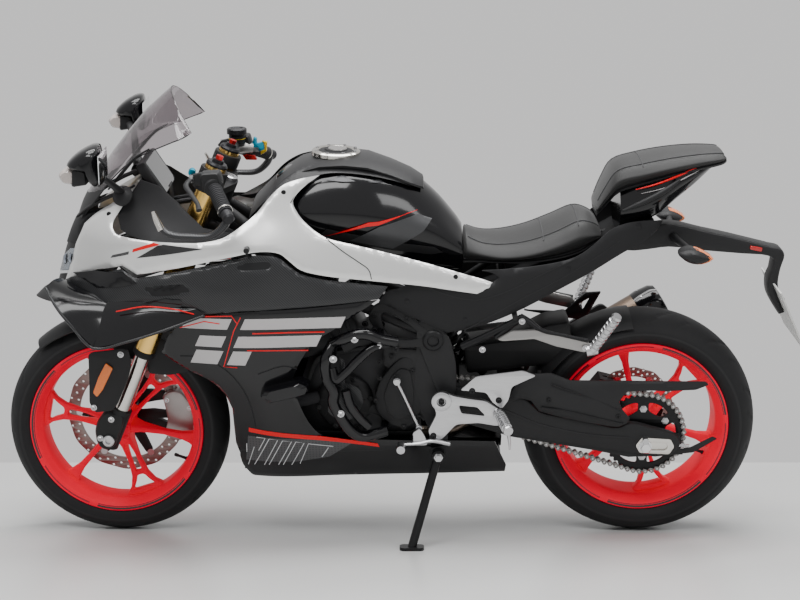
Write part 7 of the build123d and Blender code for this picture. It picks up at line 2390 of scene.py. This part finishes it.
@dataclass
class Fork:
    """Fork legs, castings, clamps, fender and brake."""

    def build(self, shop: Workshop) -> None:
        """Builds the fork group."""
        self.legs(shop)
        self.castings(shop)
        self.fender(shop)
        self.brake(shop)

    def legs(self, shop: Workshop) -> None:
        """Dust seals, gold bands, caps and adjusters of the fork legs."""
        seals = [lathe([(238, 21), (244, 28.6), (252, 29), (258, 28)], on_leg(0, leg), LEG_AXIS, 36)
                 for leg in LEGS]
        shop.piece("fork_seals", combined(seals), MATTE, 30.0, Mount.FRONT_END)
        bands = [lathe([(440, 27.4), (446, 27.4)], on_leg(0, leg), LEG_AXIS, 36) for leg in LEGS]
        shop.piece("fork_bands", combined(bands), GOLD, 30.0, Mount.FRONT_END)
        caps = [lathe([(779, 27.6), (783, 27.6), (788, 24), (788, 15), (796, 14), (798, 1)], on_leg(0, leg),
                      LEG_AXIS, 32) for leg in LEGS]
        shop.piece("fork_caps", combined(caps), BAR, 30.0, Mount.FRONT_END)
        adjusters = [lathe([(796, 10), (806, 10), (808, 1)], on_leg(0, leg), LEG_AXIS, 6) for leg in LEGS]
        shop.piece("fork_adjusters", combined(adjusters), RED_ALLOY, 30.0, Mount.FRONT_END)

    def castings(self, shop: Workshop) -> None:
        """Axle castings, guard plates, reflectors and screws."""
        casting = rounded([(-34, 286), (-38, 318), (-30, 346), (-8, 374), (44, 364), (36, 330), (26, 308),
                           (14, 276), (-4, 264), (-24, 270)], 10)
        shop.piece("fork_castings", pod(casting, ((-74, 0.9), (-82, 1.0), (-118, 1.0), (-126, 0.88)),
                                        (2, 318)).both(), CAST_BLACK, 35.0, Mount.FRONT_END)
        guard = rounded([(-44, 526), (-34, 534), (46, 545), (62, 540), (66, 500), (56, 462), (28, 398),
                         (14, 378), (-31, 372), (-46, 398), (-44, 460)], 7)
        shop.piece("fork_guards", plate([guard], -131, 5, 2).both(), PLASTIC, 35.0, Mount.FRONT_END)
        reflector = rounded([(2, 508), (20, 494), (-8, 436), (-24, 416), (-34, 428), (-18, 470)], 4)
        shop.piece("fork_reflectors", plate([reflector], -136.5, 6, 1.5).both(), AMBER, 35.0, Mount.FRONT_END)
        spots = [(-22, -127, 300), (8, -127, 352), (40, -134, 530), (-34, -134, 386)]
        shop.piece("fork_screws", screws(spots, 6.0).both(), BOLT, 30.0, Mount.FRONT_END)
        end = lathe([(0, 15), (6, 15), (8, 12), (8, 8), (2, 7.5), (2, 0.5)], (0, -127, 294.5), LEFT, 32)
        shop.piece("axle_caps", end.both(), ALLOY, 30.0, Mount.FRONT_END)

    def fender(self, shop: Workshop) -> None:
        """Front mudguard with side skirts."""
        rings = []
        for degrees in np.linspace(36, 132, 25):
            angle = math.radians(float(degrees))
            ends = min(float(degrees) - 36, 132 - float(degrees)) / 14
            half = 64 * min(1.0, 0.72 + 0.28 * ends)
            ring = []
            for t in np.linspace(-1, 1, 15):
                radius = 310.5 - 20 * abs(t) ** 2.4
                ring.append((radius * math.cos(angle), half * t, 293 + radius * math.sin(angle)))
            inner = [(x - 3 * math.cos(angle), y * 0.97, z - 3 * math.sin(angle)) for x, y, z in ring[::-1]]
            rings.append(ring + inner)
        shop.piece("fender_arch", loft(rings), PLASTIC, 50.0, Mount.FRONT_END, stands_for=("front_fender",))
        skirt = [rounded([(40, 560), (92, 572), (140, 548), (158, 530), (200, 482), (197, 462), (150, 456),
                          (100, 462), (90, 500), (30, 500), (-10, 540), (-6, 574)], 8)]
        surface = Surface(((40, 560, -70), (-6, 574, -68), (92, 572, -68), (158, 530, -68), (200, 482, -64),
                           (100, 462, -84), (90, 500, -82), (30, 500, -80), (-10, 540, -72),
                           (150, 456, -76)))
        shop.piece("fender_skirts", skin(skirt, surface, 3.0, 8.0, 3.0).both(), PLASTIC, 40.0,
                   Mount.FRONT_END)

    def brake(self, shop: Workshop) -> None:
        """Radial caliper with its lugs, screws and hose."""
        block = rounded([(104, 356), (130, 370), (156, 366), (180, 336), (190, 300), (188, 262), (176, 238),
                         (150, 230), (124, 232), (110, 250), (118, 290), (112, 322)], 9)
        bridge = rounded([(136, 370), (156, 366), (180, 336), (190, 300), (188, 262), (176, 238),
                          (160, 231), (165, 262), (166, 300), (160, 332)], 4)
        body = plate([block], 48.5, 23, 5) + plate([block], 83.5, 23, 5) + plate([bridge], 66, 54, 4)
        shop.piece("caliper_body", body, CALIPER, 35.0, Mount.FRONT_END, stands_for=("front_caliper",))
        pistons = [lathe([(0, 17), (4, 17), (6, 14), (6, 1)], (x, 93, z), ACROSS, 28)
                   for x, z in ((150, 330), (160, 284))]
        shop.piece("caliper_pistons", combined(pistons), MATTE, 35.0, Mount.FRONT_END)
        lug = slab([(30, 350), (60, 356), (112, 352), (116, 330), (70, 322), (30, 312)], 8, 90, 16, 4)
        lug += slab([(20, 290), (60, 286), (112, 262), (112, 240), (70, 250), (24, 270)], 8, 90, 16, 4)
        shop.piece("caliper_lugs", lug, CAST_BLACK, 35.0, Mount.FRONT_END)
        spots = [(116, 38, 344), (120, 38, 250), (178, 38, 322)]
        shop.piece("caliper_screws", screws(spots, 5.5) + screws([(x, 94, z) for x, _, z in spots], 5.5,
                                                                 ACROSS), BOLT, 30.0, Mount.FRONT_END)
        hose = tube([(150, 84, 366), (148, 98, 400), (152, 112, 450), (158, 110, 520), (188, 96, 560)], 4.2,
                    12, 8)
        shop.piece("brake_hose", hose, GRIP, 40.0, Mount.FRONT_END)


@dataclass
class Handlebars:
    """Clip-ons with grips, levers, switch pods, guards and the fluid cup."""

    root: Point = (295.0, -215.0, 1007.0)
    tip: Point = (355.0, -345.0, 956.0)

    def build(self, shop: Workshop) -> None:
        """Builds both sides and the reservoir."""
        self.grips(shop)
        self.levers(shop)
        self.guards(shop)
        self.cup(shop)
        self.clamp(shop)

    def along(self, share: float, lift: float = 0.0, ahead: float = 0.0) -> Point:
        """Returns a point beside the left bar at a share of its length."""
        start, end = Vector(self.root), Vector(self.tip)
        spot = start.lerp(end, share)
        return (spot.x - ahead, spot.y, spot.z + lift)

    def direction(self) -> Point:
        """Returns the direction of the left bar."""
        return tuple((Vector(self.tip) - Vector(self.root)).normalized())

    def grips(self, shop: Workshop) -> None:
        """Ringed rubber grips with end weights and switch pods."""
        length = (Vector(self.tip) - Vector(self.root)).length
        start = length - 118
        profile = [(start, 12), (start, 19), (start + 4, 19.5), (start + 7, 17)]
        for ring in range(14):
            base = start + 9 + ring * 7.5
            profile += [(base, 16.2), (base + 1.2, 17.8), (base + 4.6, 17.8), (base + 5.8, 16.2)]
        profile += [(length - 1, 16.5), (length, 12)]
        shop.piece("grip_rubbers", lathe(profile, self.root, self.direction(), 32).both(), GRIP, 30.0,
                   Mount.FRONT_END, stands_for=("grips",))
        weights = lathe([(length, 9), (length + 2, 14), (length + 24, 14), (length + 29, 11),
                         (length + 29, 1)], self.root, self.direction(), 28)
        shop.piece("bar_weights", weights.both(), BAR, 30.0, Mount.FRONT_END)
        pods = lathe([(2, 18), (6, 24), (22, 25), (40, 24), (44, 18)], self.root, self.direction(), 28)
        box = pod(rounded([(276, 1030), (322, 1034), (330, 1002), (318, 984), (280, 988)], 8),
                  ((-212, 0.85), (-218, 1.0), (-248, 1.0), (-254, 0.85)), (302, 1008))
        shop.piece("switch_pods", (pods + box).both(), PLASTIC, 35.0, Mount.FRONT_END)
        knobs = [lathe([(0, 6), (5, 6), (6, 4.5)], self.along(0.14, 18, 14), (-0.6, 0, 0.8), 16),
                 lathe([(0, 5), (5, 5), (6, 3.5)], self.along(0.26, 20, 10), (-0.4, 0, 0.9), 16)]
        shop.piece("switch_knobs", combined(knobs).both(), YELLOW, 30.0, Mount.FRONT_END)

    def levers(self, shop: Workshop) -> None:
        """Clutch and brake levers with perches and clamp screws."""
        perch = lathe([(-10, 17), (10, 17)], self.along(0.05), self.direction(), 28)
        perch += slab([(270, 1024), (300, 1028), (302, 998), (262, 992), (240, 1002), (246, 1018)], 7, -214,
                      16, 3)
        shop.piece("lever_perches", perch.both(), CAST_BLACK, 35.0, Mount.FRONT_END)
        blade = tube([self.along(0.02, 4, 46), self.along(0.2, 2, 66), self.along(0.5, 4, 64),
                      self.along(0.8, 6, 60), self.along(1.02, 8, 64)], [7.5, 7, 6, 5.5, 7.5], 16, 5,
                     flat=0.62)
        shop.piece("lever_blades", blade.both(), CAST_BLACK, 35.0, Mount.FRONT_END)
        pivots = lathe([(-9, 7), (9, 7), (9, 3)], self.along(0.03, 4, 46), (0.2, 0.2, 1), 14)
        shop.piece("lever_pivots", pivots.both(), BOLT, 30.0, Mount.FRONT_END)
        adjust = lathe([(0, 9), (12, 9), (14, 7), (14, 5), (22, 5)], self.along(-0.12, 6, 40),
                       (-0.1, 0.95, 0.2), 18)
        shop.piece("cable_adjuster", adjust, CYAN, 30.0, Mount.FRONT_END)

    def guards(self, shop: Workshop) -> None:
        """Woven lever guards with metal tips at the bar ends."""
        line = [(362, -345, 952), (352, -346, 930), (322, -350, 904), (272, -350, 900), (220, -345, 904),
                (198, -340, 918)]
        guard = tube(line, [13, 14, 12, 11, 11, 10], 16, 6, flat=0.7)
        shop.piece("lever_guards", guard.both(), CARBON, 40.0, Mount.FRONT_END)
        tip = tube([(202, -348, 914), (190, -342, 936), (181, -336, 956)], [11, 9.5, 6], 16, 4, flat=0.6)
        shop.piece("guard_tips", tip.both(), SLIDER, 40.0, Mount.FRONT_END)
        rings = combined(lathe([(0, 18.5), (4, 18.5)], self.along(share), self.direction(), 32)
                         for share in (0.21, 0.93))
        shop.piece("grip_rings", rings.both(), SLIDER, 40.0, Mount.FRONT_END)
        tubes = tube([(286, -196, 1010), self.root, self.tip], 11, 20, 2)
        shop.piece("bar_tubes", tubes.both(), BAR, 40.0, Mount.FRONT_END, stands_for=("handlebars",))

    def cup(self, shop: Workshop) -> None:
        """Brake fluid cup and pump on the right bar, with the coloured adjusters beside them."""
        x, y, z = 292.0, 206.0, 1004.0
        ribs = [(0, 20)]
        for ring in range(4):
            base = 3 + ring * 7
            ribs += [(base, 22), (base + 4, 22), (base + 5, 20.5), (base + 7, 20.5)]
        shop.piece("fluid_cup", lathe(ribs + [(31, 20.5), (31, 1)], (x, y, z + 2), UP, 36), BAR, 30.0,
                   Mount.FRONT_END)
        shop.piece("fluid_cap", lathe([(31, 23), (33, 27), (45, 27), (48, 24), (48, 17), (46, 15), (46, 1)],
                                      (x, y, z + 2), UP, 20), BAR, 24.0, Mount.FRONT_END)
        collar = lathe([(19, 22.8), (20.5, 22.9), (21, 22)], (x, y, z + 2), UP, 36)
        shop.piece("fluid_collar", collar, YELLOW, 30.0, Mount.FRONT_END)
        pump = tube([(262, 196, 1000), (300, 214, 1000), (330, 226, 996)], [14, 17, 13], 22, 4)
        shop.piece("brake_pump", pump, CALIPER, 35.0, Mount.FRONT_END)
        clips = ((RED_ALLOY, "red", ((296, 1016), (292, 990), (312, 962), (342, 962), (336, 974),
                                     (314, 978), (304, 1002))),
                 (CYAN, "cyan", ((328, 1000), (334, 1026), (342, 1022), (342, 1008), (362, 1013),
                                 (366, 990), (346, 986))),
                 (YELLOW, "yellow", ((356, 1016), (370, 1012), (368, 986), (352, 976), (352, 986),
                                     (360, 994))), (CALIPER, "grey", ((316, 1000), (350, 998), (348, 984),
                                                                      (322, 986))))
        for finish, name, outline in clips:
            shop.piece(f"{name}_adjuster", slab(outline, 2.5, 232, 12, 1.5), finish, 35.0, Mount.FRONT_END)
        feed = tube([(x, y, z + 2), (292, 196, 1004), (280, 200, 998)], 5, 12, 4)
        shop.piece("fluid_feed", feed, GRIP, 35.0, Mount.FRONT_END)

    def clamp(self, shop: Workshop) -> None:
        """Clip-on clamps with the stem nut and the key lock."""
        rings = []
        for side in (-1, 1):
            rings.append(lathe([(736, 27.5), (736, 35), (739, 36), (766, 36), (769, 35), (769, 27.5)],
                               on_leg(0, side * 100), LEG_AXIS, 36))
            rings.append(tube([on_leg(752, side * 130), on_leg(752, side * 150, 4),
                               (288, side * 190, 1010)], [17, 15, 13], 20, 4))
        shop.piece("clip_ons", combined(rings), CAST_BLACK, 35.0, Mount.FRONT_END)
        nut = lathe([(0, 20), (9, 20), (11, 17), (11, 9), (7, 8), (7, 1)], on_leg(732, 0, 34), LEG_AXIS, 32)
        shop.piece("stem_nut", nut, ALLOY, 30.0, Mount.FRONT_END)
        lock = lathe([(0, 17), (10, 17), (12, 14), (12, 1)], on_leg(732, 0, -16), LEG_AXIS, 28)
        shop.piece("key_lock", lock, MATTE, 30.0, Mount.FRONT_END)


ASSEMBLIES: tuple = (FinalDrive(), SidePanels(), Nose(), Tank(), Seats(), Tail(), Engine(), Chassis(),
                     Controls(), Fork(), Handlebars())
KEPT_NODES: dict[str, Finish] = {
    "front_axle": BOLT, "rear_axle": BOLT, "fork_feet": CAST_BLACK, "fork_sliders": SLIDER,
    "fork_tubes": GOLD, "fork_clamps": BLACK_METAL, "frame": CAST_BLACK, "swingarm": CAST_BLACK,
    "side_stand": BLACK_METAL,
}


@dataclass(frozen=True)
class CameraView:
    """Place and lens of the camera, fitted to the photograph."""

    place: Point = (0.0053, -3.918, 1.045)
    lens_px: float = 1531.0
    centre_u: float = 402.0
    horizon_v: float = 137.2
    sensor: float = 36.0
    width: int = 800
    height: int = 600

    def build(self) -> None:
        """Creates the camera and makes it the scene's camera."""
        data = bpy.data.cameras.new("camera")
        data.sensor_width = self.sensor
        data.lens = self.lens_px * self.sensor / self.width
        data.shift_x = (self.width / 2 - self.centre_u) / self.width
        data.shift_y = -(self.height / 2 - self.horizon_v) / self.width
        camera = bpy.data.objects.new("camera", data)
        bpy.context.scene.collection.objects.link(camera)
        camera.location = self.place
        camera.rotation_euler = (math.radians(90.0), 0.0, 0.0)
        bpy.context.scene.camera = camera


@dataclass(frozen=True)
class Lamp:
    """One soft area lamp, aimed at a point."""

    name: str
    place: Point
    target: Point
    size: Flat
    power: float
    colour: Colour = (1.0, 1.0, 1.0)

    def build(self) -> None:
        """Creates the lamp."""
        data = bpy.data.lights.new(self.name, "AREA")
        data.shape = "RECTANGLE"
        data.size, data.size_y = self.size
        data.energy = self.power
        data.color = self.colour
        lamp = bpy.data.objects.new(self.name, data)
        bpy.context.scene.collection.objects.link(lamp)
        lamp.location = self.place
        aim = Vector(self.target) - Vector(self.place)
        lamp.rotation_euler = aim.to_track_quat("-Z", "Y").to_euler()


class Studio:
    """Floor, world, lamps and camera."""

    FLOOR_HALF = 9.0
    FLOOR_END = 1.0
    SOFT_COLOUR = (0.90, 0.92, 0.95)
    SOFT_STRENGTH = 0.30
    SEEN_COLOUR = (0.775, 0.770, 0.768)
    LAMPS = (
        Lamp("key", (-1.2, -3.4, 4.6), (0.0, 0.0, 0.45), (3.6, 1.2), 150.0),
        Lamp("top", (0.2, -0.6, 4.2), (0.0, 0.0, 0.3), (4.2, 1.4), 190.0),
        Lamp("fill", (3.4, -3.0, 3.2), (0.1, 0.0, 0.5), (2.0, 1.0), 40.0),
        Lamp("rim", (-0.2, 0.6, 3.6), (0.0, 0.1, 0.5), (4.4, 0.6), 90.0),
    )

    def build(self, view: CameraView) -> None:
        """Builds the whole studio."""
        view.build()
        for lamp in self.LAMPS:
            lamp.build()
        self.world()
        self.floor()

    def world(self) -> None:
        """Soft grey light, with a paler grey for camera, transmission and glossy rays."""
        world = bpy.data.worlds.new("studio")
        world.use_nodes = True
        bpy.context.scene.world = world
        nodes, links = world.node_tree.nodes, world.node_tree.links
        nodes.clear()
        output = nodes.new("ShaderNodeOutputWorld")
        mix = nodes.new("ShaderNodeMixShader")
        for place, colour, strength in ((1, self.SOFT_COLOUR, self.SOFT_STRENGTH),
                                        (2, self.SEEN_COLOUR, 1.0)):
            backing = nodes.new("ShaderNodeBackground")
            backing.inputs[0].default_value = (*colour, 1)
            backing.inputs[1].default_value = strength
            links.new(backing.outputs[0], mix.inputs[place])
        rays = nodes.new("ShaderNodeLightPath")
        shown = rays.outputs["Is Camera Ray"]
        for kind in ("Is Transmission Ray", "Is Glossy Ray"):
            either = nodes.new("ShaderNodeMath")
            either.operation = "MAXIMUM"
            links.new(shown, either.inputs[0])
            links.new(rays.outputs[kind], either.inputs[1])
            shown = either.outputs[0]
        links.new(shown, mix.inputs[0])
        links.new(mix.outputs[0], output.inputs[0])

    def floor(self) -> None:
        """Pale floor that ends where the photographed wall stands."""
        half = self.FLOOR_HALF
        corners = ((-half, -half, 0.0), (half, -half, 0.0), (half, self.FLOOR_END, 0.0),
                   (-half, self.FLOOR_END, 0.0))
        mesh = bpy.data.meshes.new("floor")
        mesh.from_pydata(corners, [], [(0, 1, 2, 3)])
        mesh.materials.append(FLOOR.material())
        sheet = bpy.data.objects.new("floor", mesh)
        bpy.context.scene.collection.objects.link(sheet)


WHEELS = (
    Wheel("front", Mount.FRONT_WHEEL, FRONT_AXLE, 293.0, 110.0, 35.0, 88.0, (36.0, 104.0), 49.0, 26.0),
    Wheel("rear", Mount.REAR_WHEEL, REAR_AXLE, 306.0, 150.0, 44.0, 116.0, (46.0, 128.0), 43.0, 30.0),
)
DISCS = (
    BrakeDisc("front_disc", Mount.FRONT_WHEEL, FRONT_AXLE, 66.0, 160.0, 34.0, 52.0),
    BrakeDisc("rear_disc", Mount.REAR_WHEEL, REAR_AXLE, 84.0, 110.0, 26.0, 64.0),
)


def main() -> None:
    """Builds the whole visual model."""
    logging.basicConfig(level=logging.INFO, format="%(name)s: %(message)s")
    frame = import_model()
    shop = Workshop(frame)
    for part in (*WHEELS, *DISCS, *ASSEMBLIES):
        part.build(shop)
    for name, finish in KEPT_NODES.items():
        shop.finish_node(name, finish)
    Studio().build(CameraView())
    LOG.info("%d pieces", shop.count)


if __name__ == "__main__":
    main()
